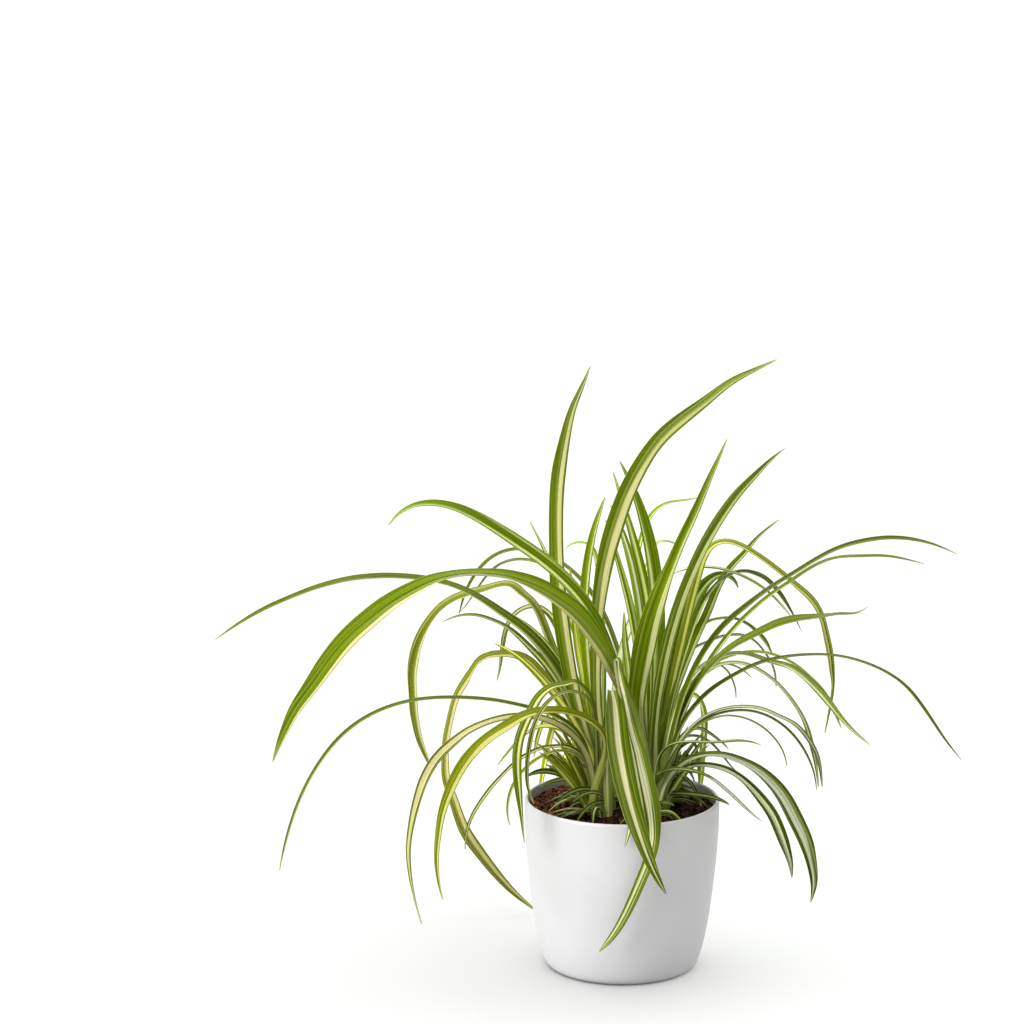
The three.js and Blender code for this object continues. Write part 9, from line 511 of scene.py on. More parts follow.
        (('bright', 0.3, 0.36, 0.5, 0.5, 1.82, (1.03, 0.97, 1.15)), [(-16.6, 6.0, 110.2, 3.20, 0.91, 0.41, 0.06), (-17.8, 2.6, 119.8, 3.90, 0.91, 0.41, 0.07), (-18.1, 1.9, 122.3, 4.07, 0.88, 0.46, 0.13), (-19.5, 1.2, 133.4, 4.75, 0.86, 0.48, 0.18), (-21.5, 3.2, 143.3, 5.21, 0.77, 0.56, 0.31), (-26.4, 3.2, 153.3, 5.53, 0.69, 0.60, 0.41), (-31.5, 1.6, 163.5, 5.70, 0.66, 0.61, 0.43), (-37.3, 0.1, 173.4, 5.80, 0.63, 0.62, 0.46), (-43.7, -0.7, 182.6, 5.58, 0.60, 0.63, 0.49), (-50.7, -0.9, 191.5, 5.13, 0.60, 0.63, 0.49), (-58.2, -0.3, 200.0, 4.65, 0.59, 0.64, 0.50), (-66.4, 0.7, 207.8, 3.91, 0.54, 0.65, 0.54), (-75.5, 2.4, 214.2, 2.69, 0.49, 0.66, 0.58), (-85.5, 5.0, 218.9, 0.80, 0.46, 0.66, 0.60)]),
    ]),
    ("leaf_left_18", "leaf_olive", [
        (('olive', 0.2, 0.3, 0.5, 0.5, 2.7, (1.03, 0.97, 1.0)), [(-9.8, 21.5, 109.8, 3.20, 0.88, 0.45, 0.19), (-12.2, 21.2, 118.6, 4.06, 0.88, 0.45, 0.19), (-13.0, 21.2, 121.3, 4.30, 0.87, 0.45, 0.20), (-16.4, 21.6, 132.5, 5.10, 0.87, 0.45, 0.20), (-19.8, 22.0, 143.8, 5.60, 0.86, 0.46, 0.21), (-22.7, 22.5, 155.1, 5.94, 0.85, 0.47, 0.24), (-26.5, 22.7, 166.3, 6.11, 0.83, 0.48, 0.28), (-31.1, 23.6, 177.2, 6.20, 0.81, 0.50, 0.31), (-36.3, 24.1, 187.9, 6.01, 0.78, 0.51, 0.35), (-42.0, 24.8, 198.3, 5.55, 0.76, 0.52, 0.38), (-48.3, 26.4, 208.2, 4.94, 0.73, 0.54, 0.42), (-55.7, 28.3, 217.2, 4.10, 0.67, 0.56, 0.49), (-64.3, 30.7, 224.9, 2.85, 0.61, 0.57, 0.55), (-73.8, 34.0, 231.2, 0.80, 0.58, 0.58, 0.57)]),
    ]),
]

# Short leaves at soil level that belong to the two crowns, in the darker palette that paints the shade they lie in.
SMALL = {
    "crown_left": [
        (('painted_shade', 0.0, 0.28, 0.3, 0.7, 1.0, (1.0, 1.0, 1.0)), [(-13.7, -0.2, 107.6, 2.70, 0.36, 0.38, 0.85), (-13.7, -0.2, 114.9, 2.70, 0.36, 0.38, 0.85), (-21.7, 0.3, 118.5, 3.42, 0.44, 0.47, 0.76), (-38.4, 2.5, 128.0, 4.34, 0.39, 0.65, 0.65), (-46.6, 3.7, 130.6, 4.53, 0.21, 0.68, 0.70), (-51.8, 4.4, 131.0, 4.49, 0.06, 0.69, 0.72), (-56.8, 5.0, 130.2, 3.84, -0.12, 0.69, 0.71), (-59.9, 5.3, 129.1, 3.03, -0.24, 0.68, 0.69), (-64.3, 5.6, 126.5, 1.14, -0.36, 0.66, 0.66)]),
        (('painted_shade', 0.0, 0.28, 0.3, 0.7, 1.0, (1.0, 1.0, 1.0)), [(-11.5, 5.8, 107.6, 2.69, 0.84, 0.24, 0.49), (-11.5, 7.2, 114.6, 2.69, 0.84, 0.24, 0.49), (-14.4, 7.7, 119.0, 2.71, 0.79, 0.30, 0.54), (-19.3, 8.6, 123.7, 2.77, 0.70, 0.42, 0.58), (-24.0, 11.1, 127.1, 3.37, 0.63, 0.51, 0.59), (-29.3, 14.8, 129.1, 3.70, 0.53, 0.56, 0.63), (-35.1, 18.5, 129.9, 3.78, 0.39, 0.61, 0.69), (-40.9, 21.9, 129.5, 3.53, 0.20, 0.66, 0.73), (-46.5, 24.3, 128.0, 2.54, -0.04, 0.69, 0.73), (-50.7, 25.5, 126.0, 0.93, -0.18, 0.69, 0.70)]),
        (('painted_shade', 0.0, 0.28, 0.3, 0.7, 1.0, (1.0, 1.0, 1.0)), [(-11.7, -1.2, 107.6, 2.69, 0.77, 0.28, 0.57), (-11.9, -0.2, 114.7, 2.69, 0.77, 0.28, 0.57), (-15.2, -0.5, 119.0, 3.13, 0.66, 0.38, 0.65), (-19.5, -0.9, 122.5, 3.49, 0.47, 0.51, 0.72), (-24.4, -1.3, 125.1, 3.65, 0.28, 0.62, 0.73), (-31.2, -1.8, 127.1, 3.78, 0.09, 0.69, 0.72), (-37.8, -2.2, 127.6, 3.79, -0.06, 0.70, 0.71), (-42.9, -1.2, 126.6, 3.55, -0.17, 0.69, 0.70), (-49.5, -0.9, 124.4, 2.56, -0.32, 0.66, 0.68), (-54.1, -1.9, 122.1, 0.90, -0.39, 0.65, 0.65)]),
        (('painted_shade', 0.0, 0.28, 0.3, 0.7, 1.0, (1.0, 1.0, 1.0)), [(-10.3, -4.2, 107.6, 2.68, 0.92, 0.18, 0.35), (-10.3, -4.3, 118.6, 2.68, 0.92, 0.18, 0.35), (-12.8, -5.2, 125.1, 2.72, 0.85, 0.31, 0.43), (-16.1, -6.7, 131.6, 3.13, 0.64, 0.53, 0.57), (-20.8, -8.6, 137.2, 3.75, 0.25, 0.68, 0.69), (-23.9, -9.4, 138.8, 3.10, 0.00, 0.69, 0.72), (-25.7, -9.7, 139.0, 2.70, -0.13, 0.68, 0.72), (-29.1, -9.9, 137.9, 1.79, -0.34, 0.66, 0.66), (-31.9, -9.9, 135.6, 0.90, -0.47, 0.64, 0.61)]),
        (('painted_shade', 0.0, 0.28, 0.3, 0.7, 1.0, (1.0, 1.0, 1.0)), [(-10.3, -14.6, 107.6, 2.68, 0.72, 0.31, 0.61), (-10.3, -14.6, 117.5, 2.68, 0.72, 0.31, 0.61), (-13.2, -15.0, 120.9, 3.14, 0.57, 0.42, 0.71), (-16.3, -16.3, 123.5, 3.51, 0.26, 0.54, 0.80), (-20.1, -18.3, 125.3, 3.68, -0.04, 0.62, 0.78), (-25.7, -21.1, 126.4, 3.74, -0.29, 0.64, 0.71), (-31.5, -23.9, 125.7, 3.67, -0.45, 0.61, 0.65), (-35.8, -25.8, 124.1, 3.19, -0.53, 0.58, 0.61), (-39.8, -27.2, 121.6, 2.35, -0.62, 0.55, 0.56), (-43.4, -28.2, 118.1, 0.85, -0.68, 0.52, 0.52)]),
        (('painted_shade', 0.0, 0.28, 0.3, 0.7, 1.0, (1.0, 1.0, 1.0)), [(-10.2, -16.0, 107.6, 2.01, 0.73, 0.31, 0.61), (-9.7, -19.5, 118.2, 2.01, 0.73, 0.31, 0.61), (-11.2, -19.9, 120.2, 2.29, 0.64, 0.38, 0.67), (-13.9, -22.3, 123.2, 2.81, 0.22, 0.52, 0.82), (-17.3, -25.4, 125.3, 3.02, -0.19, 0.60, 0.78), (-20.3, -27.7, 126.0, 2.99, -0.35, 0.61, 0.71), (-23.7, -29.8, 125.9, 2.92, -0.47, 0.59, 0.66), (-27.3, -31.6, 124.6, 2.84, -0.56, 0.57, 0.60), (-32.1, -33.2, 121.0, 0.85, -0.64, 0.54, 0.55)]),
        (('painted_shade', 0.0, 0.28, 0.3, 0.7, 1.0, (1.0, 1.0, 1.0)), [(-9.5, -15.0, 107.6, 2.02, 0.19, 0.42, 0.89), (-8.7, -19.2, 116.2, 2.02, 0.19, 0.42, 0.89), (-10.9, -19.5, 116.8, 2.45, 0.08, 0.47, 0.88), (-13.5, -21.4, 117.6, 2.80, -0.23, 0.49, 0.84), (-16.9, -25.3, 118.2, 2.88, -0.55, 0.47, 0.69), (-20.4, -29.6, 117.7, 2.83, -0.71, 0.44, 0.55), (-23.0, -32.5, 116.4, 2.77, -0.77, 0.42, 0.49), (-25.6, -35.1, 114.3, 2.31, -0.80, 0.41, 0.44), (-29.8, -37.8, 108.7, 0.83, -0.81, 0.41, 0.42)]),
        (('painted_shade', 0.0, 0.28, 0.3, 0.7, 1.0, (1.0, 1.0, 1.0)), [(-8.9, -7.9, 107.6, 2.01, 0.92, 0.20, 0.33), (-8.9, -7.9, 114.0, 2.01, 0.92, 0.20, 0.33), (-10.6, -8.1, 118.3, 2.69, 0.81, 0.33, 0.48), (-13.3, -8.5, 121.9, 2.83, 0.55, 0.52, 0.65), (-17.1, -9.1, 124.8, 2.97, 0.26, 0.65, 0.71), (-20.3, -9.6, 126.0, 3.02, 0.09, 0.69, 0.72), (-25.5, -10.4, 126.7, 2.89, -0.13, 0.69, 0.71), (-28.9, -10.9, 126.1, 2.40, -0.27, 0.67, 0.69), (-35.1, -11.6, 122.9, 0.89, -0.48, 0.63, 0.61)]),
    ],
    "crown_right": [
        (('painted_shade', 0.0, 0.28, 0.3, 0.7, 1.0, (1.0, 1.0, 1.0)), [(21.1, -10.2, 107.6, 2.69, 0.59, -0.35, -0.72), (21.1, -10.2, 115.4, 2.69, 0.59, -0.35, -0.72), (24.7, -11.4, 118.7, 2.72, 0.41, -0.43, -0.81), (30.0, -14.1, 121.5, 3.13, 0.05, -0.53, -0.84), (39.1, -18.3, 123.2, 3.71, -0.24, -0.64, -0.74), (58.2, -26.5, 123.3, 3.50, -0.31, -0.66, -0.69), (64.7, -28.4, 122.0, 2.59, -0.38, -0.64, -0.67), (70.9, -29.5, 119.0, 0.88, -0.46, -0.62, -0.64)]),
        (('painted_shade', 0.0, 0.28, 0.3, 0.7, 1.0, (1.0, 1.0, 1.0)), [(20.3, 0.6, 107.6, 2.02, 0.93, -0.21, -0.31), (20.3, 0.6, 112.5, 2.02, 0.93, -0.21, -0.31), (23.1, 0.6, 118.9, 2.67, 0.69, -0.42, -0.58), (25.6, 0.6, 121.2, 2.84, 0.47, -0.55, -0.69), (28.7, 0.6, 122.6, 2.94, 0.29, -0.64, -0.71), (32.0, 0.9, 123.3, 3.01, 0.18, -0.68, -0.71), (37.0, 2.0, 123.0, 2.73, 0.06, -0.69, -0.72), (43.1, 3.4, 121.5, 1.90, -0.10, -0.69, -0.71), (47.5, 4.1, 119.8, 0.92, -0.19, -0.69, -0.70)]),
        (('painted_shade', 0.0, 0.28, 0.3, 0.7, 1.0, (1.0, 1.0, 1.0)), [(20.0, -9.0, 107.6, 2.00, 1.00, -0.08, -0.06), (20.0, -9.0, 116.0, 2.00, 1.00, -0.08, -0.06), (20.4, -9.9, 120.8, 2.35, 0.95, -0.20, -0.25), (21.8, -11.5, 124.9, 2.70, 0.71, -0.42, -0.57), (24.8, -13.6, 128.7, 2.92, 0.35, -0.60, -0.72), (27.7, -14.6, 130.5, 2.97, 0.20, -0.66, -0.72), (31.2, -14.9, 131.5, 2.98, 0.12, -0.69, -0.71), (36.5, -14.4, 131.6, 2.55, 0.01, -0.70, -0.72), (41.8, -13.6, 130.7, 1.90, -0.11, -0.69, -0.71), (46.7, -12.6, 128.8, 0.91, -0.22, -0.69, -0.69)]),
        (('painted_shade', 0.0, 0.28, 0.3, 0.7, 1.0, (1.0, 1.0, 1.0)), [(19.2, -17.7, 107.6, 2.02, -0.06, -0.42, -0.91), (19.0, -19.5, 116.6, 2.02, -0.06, -0.42, -0.91), (21.3, -20.5, 116.8, 2.51, -0.13, -0.49, -0.86), (29.1, -26.9, 119.3, 2.95, -0.34, -0.63, -0.70), (32.1, -28.3, 118.9, 2.09, -0.43, -0.62, -0.66), (34.6, -28.9, 117.8, 0.88, -0.46, -0.62, -0.64)]),
        (('painted_shade', 0.0, 0.28, 0.3, 0.7, 1.0, (1.0, 1.0, 1.0)), [(20.5, -9.6, 107.6, 2.00, 1.00, -0.06, -0.03), (20.5, -9.4, 116.8, 2.00, 1.00, -0.06, -0.03), (21.5, -10.9, 123.5, 2.37, 0.93, -0.18, -0.31), (24.5, -13.1, 129.6, 2.67, 0.69, -0.38, -0.62), (29.1, -14.8, 134.0, 2.81, 0.32, -0.54, -0.78), (35.0, -16.1, 135.9, 2.83, -0.11, -0.58, -0.81), (39.7, -16.6, 134.9, 2.79, -0.44, -0.52, -0.73), (44.9, -16.6, 130.4, 2.74, -0.73, -0.40, -0.55), (49.5, -15.9, 122.5, 2.59, -0.88, -0.27, -0.38), (52.5, -20.2, 115.3, 0.80, -0.94, -0.20, -0.27)]),
        (('painted_shade', 0.0, 0.28, 0.3, 0.7, 1.0, (1.0, 1.0, 1.0)), [(20.6, -5.5, 107.6, 2.01, 0.99, -0.09, -0.14), (20.6, -5.7, 116.4, 2.01, 0.99, -0.09, -0.14), (22.5, -6.3, 124.2, 2.01, 0.92, -0.20, -0.35), (26.0, -7.2, 131.9, 2.05, 0.79, -0.36, -0.49), (30.1, -7.9, 137.8, 2.11, 0.55, -0.52, -0.66), (34.3, -9.2, 141.2, 2.13, 0.17, -0.58, -0.79), (37.8, -9.7, 141.6, 2.12, -0.18, -0.57, -0.80), (42.2, -9.9, 138.9, 2.10, -0.57, -0.49, -0.65), (45.4, -10.1, 134.9, 1.85, -0.78, -0.38, -0.50), (48.2, -10.1, 128.7, 0.81, -0.90, -0.27, -0.34)]),
        (('painted_shade', 0.0, 0.28, 0.3, 0.7, 1.0, (1.0, 1.0, 1.0)), [(21.5, -0.0, 107.6, 2.01, 0.87, -0.19, -0.45), (21.5, -0.1, 115.6, 2.01, 0.87, -0.19, -0.45), (24.5, 0.3, 121.8, 2.01, 0.90, -0.20, -0.39), (28.3, -0.6, 131.9, 2.02, 0.90, -0.23, -0.37), (34.5, -2.2, 144.9, 2.06, 0.76, -0.39, -0.52), (40.3, -3.3, 151.8, 2.11, 0.52, -0.53, -0.67), (43.2, -3.8, 153.9, 2.12, 0.28, -0.57, -0.78), (46.6, -4.1, 154.7, 2.13, -0.24, -0.56, -0.79), (48.5, -3.9, 152.0, 2.13, -0.74, -0.45, -0.50), (49.3, -3.0, 148.5, 2.06, -0.93, -0.28, -0.24), (51.3, 1.9, 124.0, 0.80, -0.99, -0.06, -0.12)]),
        (('painted_shade', 0.0, 0.28, 0.3, 0.7, 1.0, (1.0, 1.0, 1.0)), [(20.2, -18.3, 107.6, 1.99, 0.95, 0.09, 0.30), (20.2, -18.7, 118.9, 1.99, 0.95, 0.09, 0.30), (18.7, -20.3, 126.2, 1.99, 1.00, -0.02, 0.01), (19.9, -23.6, 133.1, 2.03, 0.81, -0.31, -0.49), (22.7, -27.1, 138.1, 2.21, 0.36, -0.54, -0.76), (28.1, -32.5, 142.7, 2.64, -0.06, -0.61, -0.79), (34.6, -37.2, 145.2, 3.02, -0.21, -0.64, -0.74), (44.3, -42.8, 146.2, 2.93, -0.36, -0.62, -0.70), (52.6, -47.0, 145.1, 2.12, -0.43, -0.62, -0.66), (59.6, -49.0, 142.2, 0.87, -0.46, -0.62, -0.64)]),
        (('painted_shade', 0.0, 0.28, 0.3, 0.7, 1.0, (1.0, 1.0, 1.0)), [(20.9, 3.8, 107.6, 2.01, 1.00, -0.01, 0.05), (20.9, 3.8, 114.4, 2.01, 1.00, -0.01, 0.05), (20.9, 4.3, 121.5, 2.31, 0.98, -0.12, -0.16), (23.2, 5.3, 128.1, 2.59, 0.86, -0.32, -0.39), (26.1, 6.0, 132.5, 2.77, 0.74, -0.45, -0.49), (31.2, 8.1, 137.0, 2.90, 0.59, -0.57, -0.58), (37.1, 10.1, 139.7, 2.99, 0.39, -0.64, -0.67), (43.3, 12.1, 140.2, 2.65, 0.15, -0.68, -0.72), (48.9, 13.8, 138.7, 1.93, -0.14, -0.68, -0.72), (54.0, 14.8, 135.5, 0.92, -0.37, -0.65, -0.66)]),
    ],
}


# ------------------------------------------------------------------ leaf meshes
CHANNEL = 0.17


def spline(x, y, q):
    """Natural cubic spline through (x, y), evaluated at q. y may have several columns."""
    n = len(x)
    y = np.asarray(y, float).reshape(n, -1)
    h = np.diff(x)
    A = np.zeros((n, n))
    B = np.zeros((n, y.shape[1]))
    A[0, 0] = A[-1, -1] = 1
    for i in range(1, n - 1):
        A[i, i - 1], A[i, i], A[i, i + 1] = h[i - 1], 2 * (h[i - 1] + h[i]), h[i]
        B[i] = 6 * ((y[i + 1] - y[i]) / h[i] - (y[i] - y[i - 1]) / h[i - 1])
    M = np.linalg.solve(A, B)
    k = np.clip(np.searchsorted(x, q, side="right") - 1, 0, n - 2)
    hh = h[k][:, None]
    a = (x[k + 1] - q)[:, None] / hh
    b = (q - x[k])[:, None] / hh
    return a * y[k] + b * y[k + 1] + ((a**3 - a) * M[k] + (b**3 - b) * M[k + 1]) * hh**2 / 6


def unit(v):
    return v / np.maximum(np.linalg.norm(v, axis=-1, keepdims=True), 1e-12)


def blade(stations, pal, off, half, streaks, dry, tone_and_painted_light_gain=1.0, tint_and_painted_light=(1.0, 1.0, 1.0), low=False, step=0.0017, cols=11, clasp=True):
    """A leaf as a thin closed channelled ribbon: arrays of corners, quads and attributes, in metres."""
    st = np.asarray(stations, float)
    P, W, S = st[:, :3] / 1000.0, st[:, 3] / 1000.0, st[:, 4:7]
    # natural width at the base, where the solids are slimmer
    if not low:
        z = np.clip((P[:, 2] - 0.110) / 0.028, 0, 1)
        z = z * z * (3 - 2 * z)
        share = np.arange(len(P)) < 0.5 * len(P)
        full = W / (0.5 + 0.5 * z) * (0.80 + 0.20 * z)
        spread = np.concatenate([[0], np.cumsum(np.linalg.norm(np.diff(P, axis=0), axis=1))])
        third = np.interp(0.33 * spread[-1], spread, W)
        W = np.where(share, np.maximum(W, np.minimum(full, 1.08 * third)), W)
        # broad clasping feet
        foot = np.clip(1 - (P[:, 2] - 0.112) / 0.060, 0, 1)
        W = np.where(share, W * (1 + 0.32 * foot * foot * (3 - 2 * foot)), W) if clasp else W
        # the base goes on down into the crown
        d = unit(P[0] - P[1]) + np.array([0, 0, -0.5])
        d = unit(d)
        root = P[0] + d * 0.0055
        P = np.vstack([root, P])
        W = np.concatenate([[W[0] * 1.1], W])
        S = np.vstack([S[0], S])
    seg = np.linalg.norm(np.diff(P, axis=0), axis=1)
    s = np.concatenate([[0], np.cumsum(seg)])
    length = s[-1]
    n = max(14, int(length / step) + 1)
    q = np.linspace(0, length, n)
    # closer rows at the tip
    q = np.unique(np.concatenate([q, length - np.array([0.0045, 0.003, 0.0018, 0.0009])]).clip(0, length))
    n = len(q)
    C = spline(s, P, q)
    SS = unit(spline(s, S, q))
    w = np.interp(q, s, W)
    # round the width off between stations, and bring the tip to a point
    k = np.exp(-0.5 * (np.arange(-4, 5) / 2.0) ** 2)
    k /= k.sum()
    w = np.convolve(np.pad(w, 4, mode="edge"), k, mode="valid")
    w = np.minimum(w, 0.00035 + 0.62 * np.sqrt(np.maximum(length - q, 0) * 0.0011) + (length - q) * 0.16)
    T = unit(np.gradient(C, axis=0))
    SS = unit(SS - (SS * T).sum(1, keepdims=True) * T)
    N = np.cross(SS, T)
    seed = RNG.uniform(0, 60)
    ph = RNG.uniform(0, 6.28, 4)
    u = np.linspace(-1, 1, cols)
    curl = 1.0 + 0.10 * np.sin(q / 0.035 + ph[0])
    wave = 0.10 * np.sin(q / 0.017 + ph[1])[:, None] * (u[None, :] > 0) + 0.10 * np.sin(q / 0.021 + ph[2])[:, None] * (u[None, :] < 0)
    fold = 0.82 * np.abs(u) + 0.18 * u**2
    lift = CHANNEL * w[:, None] * fold[None, :] * (curl[:, None] + wave)
    lift = lift - 0.00010 * np.exp(-((u / 0.16) ** 2))[None, :] * np.clip(w / 0.006, 0, 1)[:, None]
    thick = 0.00040 * (1 - 0.72 * np.abs(u) ** 2.5)[None, :] * np.clip(w / 0.003, 0.35, 1)[:, None]
    mid = C[:, None, :] + SS[:, None, :] * (u[None, :, None] * w[:, None, None] / 2) + N[:, None, :] * lift[..., None]
    top = mid + N[:, None, :] * (thick[..., None] / 2)
    bot = mid - N[:, None, :] * (thick[..., None] / 2)
    V = np.concatenate([top.reshape(-1, 3), bot.reshape(-1, 3)])
    ii, jj = np.meshgrid(np.arange(n - 1), np.arange(cols - 1), indexing="ij")
    a = (ii * cols + jj).reshape(-1)
    B = n * cols
    F = [np.stack([a, a + 1, a + cols + 1, a + cols], 1), np.stack([B + a, B + a + cols, B + a + cols + 1, B + a + 1], 1)]
    i = np.arange(n - 1)
    l = i * cols
    F.append(np.stack([l, l + cols, B + l + cols, B + l], 1))
    r = i * cols + cols - 1
    F.append(np.stack([r, B + r, B + r + cols, r + cols], 1))
    j = np.arange(cols - 1)
    F.append(np.stack([j, B + j, B + j + 1, j + 1], 1))
    e = (n - 1) * cols + j
    F.append(np.stack([e, e + 1, B + e + 1, B + e], 1))
    F = np.concatenate(F)
    uu = np.tile(np.tile(u, n), 2)
    al = np.tile(np.repeat(q, cols), 2)
    vw = np.tile(np.repeat(w, cols), 2)
    cnt = len(V)
    vary = RNG.normal(0, 1, 2)
    mc, sc = PALETTES[pal]
    # brightness factor and tint set leaf by leaf: besides the leaf's own tone they hold painted light and shade, some
    # leaves made lighter and others darker for the light on them
    mc = np.minimum(np.array(mc) * tone_and_painted_light_gain * (1 + 0.05 * vary[0]), 0.9)
    sc = np.minimum(np.array(sc) * np.array(tint_and_painted_light) * (0.40 + 0.74 * tone_and_painted_light_gain) * (1 + 0.04 * vary[1]), 0.9)
    attrs = {
        "across": uu,
        "along": al,
        "share": al / length,
        "stripe": np.tile([off, half, seed], (cnt, 1)),
        "habit": np.stack([np.full(cnt, streaks), np.full(cnt, dry), vw * 50.0], 1),
        "margin_colour": np.tile([*mc, 1.0], (cnt, 1)),
        "stripe_colour": np.tile([*sc, 1.0], (cnt, 1)),
    }
    return V, F, attrs


def joined(parts):
    """Several sets of corners, faces and attributes as one."""
    base = 0
    V, F = [], []
    A = {}
    for v, f, a in parts:
        V.append(v)
        F.append(f + base)
        base += len(v)
        for k, x in a.items():
            A.setdefault(k, []).append(x)
    return np.concatenate(V), np.concatenate(F), {k: np.concatenate(x) for k, x in A.items()}


def leaf_object(node, blades, slot, low=False):
    parts = [blade(st, *look, low=low, clasp=not node.startswith("leaf_front")) for look, st in blades]
    V, F, A = joined(parts)
    ob = mesh_object(node + "_look", V, F, LEAF_LOW if low else LEAF_FRESH, A)
    return ob


for node, slot, blades in LEAVES:
    ob = leaf_object(node, blades, slot)
    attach(ob, "root")
    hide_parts(node)

# ------------------------------------------------------------------ crowns
CROWNS = {"crown_left": (-13.0, 1.5, 9.5, 26.5), "crown_right": (21.0, 1.0, 9.5, 27.0)}


def mound(cx, cy, rx, ry):
    """A low lumpy mound of packed leaf bases."""
    rings, segs = 16, 72
    V = []
    ph = RNG.uniform(0, 6.28, 6)
    for i in range(rings + 1):
        f = i / rings
        for k in range(segs):
            a = 2 * math.pi * k / segs
            r = 1.0 - f
            z = 104.6 + 4.6 * (1 - max(0.0, r) ** 4.0)
            bump = 0.5 * math.sin(9 * a + ph[0] + 3 * f) * math.sin(7 * f + ph[1]) + 0.35 * math.sin(17 * a + ph[2] - 5 * f)
            rr = r * (1 + 0.05 * math.sin(5 * a + ph[3]) + 0.04 * math.sin(11 * a + ph[4]))
            V.append((cx + rx * rr * math.cos(a), cy + ry * rr * math.sin(a), z + bump * min(1, 3 * r) * 0.5 - 0.4))
    V = np.array(V) / 1000.0
    F = []
    for i in range(rings):
        for k in range(segs):
            l = (k + 1) % segs
            F.append((i * segs + k, i * segs + l, (i + 1) * segs + l, (i + 1) * segs + k))
    F.append(tuple(reversed(range(0)))) if False else None
    F = np.array([f for f in F if f], np.int64)
    return V, F


def sheath(x, y, cx, cy, h, w, pal):
    """A short clasping leaf base that wraps round the foot of the leaves."""
    out = unit(np.array([x - cx, (y - cy) * 0.6, 0.0]) + 1e-6)
    side = np.array([-out[1], out[0], 0.0])
    st = []
    for f in np.linspace(0, 1, 6):
        p = np.array([x, y, 105.0 + h * f]) + out * (1.3 * f + 1.4 * f * f)
        ww = w * (1 - 0.30 * f) if f < 0.8 else w * (0.76 - 2.4 * (f - 0.8))
        st.append([*p, max(ww, 1.0), *side])
    return blade(st, pal, RNG.uniform(-0.3, 0.3), 0.35, 0.6, 0.6, low=True, step=0.0012, cols=9)


def low_leaf(cx, cy, rx, ry, a, pal):
    """A short narrow leaf that leaves the crown at angle a and arches low over the soil."""
    start = np.array([cx + 0.88 * rx * math.cos(a), cy + 0.88 * ry * math.sin(a)])
    out = unit(np.array([math.cos(a) / rx, math.sin(a) / ry]))
    if math.sin(a) < -0.4:
        # the front ones sweep out to the side
        out = unit(out + np.array([(-1.0 if cx < 0 else 1.0) * RNG.uniform(0.5, 1.9), 0.0]))
    turn = RNG.uniform(-0.6, 0.6)
    length = RNG.uniform(14.0, 36.0)
    rise = RNG.uniform(2.5, 8.5)
    width = RNG.uniform(3.2, 5.4)
    roll = RNG.uniform(-0.4, 0.4)
    st = []
    p = start.copy()
    for i in range(9):
        f = i / 8
        ang = math.atan2(out[1], out[0]) + turn * f
        d = np.array([math.cos(ang), math.sin(ang)])
        if i:
            p = p + d * length / 8
        r = math.hypot(*p)
        if r > 59.5 and i > 3:
            break
        z = 106.6 + rise * math.sin(math.pi * min(1.0, 0.10 + 0.86 * f)) * 1.15 + 1.2
        side = np.array([-d[1] * math.cos(roll), d[0] * math.cos(roll), math.sin(roll)])
        st.append([*p, z, width * (0.85 + 0.5 * f - 1.25 * f * f) if f < 0.9 else width * 0.18, *side])
    st[-1][3] = 0.5
    return blade(st, pal, RNG.uniform(-0.2, 0.2), 0.30, 0.4, 0.5, RNG.uniform(0.8, 1.25), low=True, step=0.0013, cols=7)


def young_leaf(cx, cy, rx, ry, way, place):
    """A young leaf that leans out of the side of the crown, among the feet of the long ones."""
    y = cy + ry * (1.5 * place - 0.72)
    p = np.array([cx + way * rx * RNG.uniform(0.35, 0.85), y, 107.5])
    lean = RNG.uniform(0.25, 0.85)
    aside = RNG.uniform(-0.22, 0.22)
    length = RNG.uniform(34.0, 62.0)
    width = RNG.uniform(5.0, 7.5)
    twist = RNG.uniform(0.7, 1.25)
    st = []
    for i in range(8):
        f = i / 7
        a = lean * (0.55 + 0.75 * f)
        d = np.array([way * math.sin(a), aside + 0.10 * f, math.cos(a)])
        d /= np.linalg.norm(d)
        if i:
            p = p + d * length / 7
        flat = np.array([d[2], 0.0, -d[0]])
        side = unit(math.cos(twist) * np.array([0.0, 1.0, 0.0]) + math.sin(twist) * flat)
        st.append([*p, width * (0.95 + 0.25 * f - 1.05 * f * f), *side])
    st[-1][3] = 0.5
    pal = (["yellow", "bright", "olive", "straw"] if way < 0 else ["olive", "fresh", "olive_deep", "grey"])[int(RNG.integers(0, 4))]
    return blade(st, pal, RNG.uniform(-0.5, 0.5), RNG.uniform(0.2, 0.34), 0.5, 0.4, RNG.uniform(1.0, 1.3), low=True, step=0.0017, cols=9)


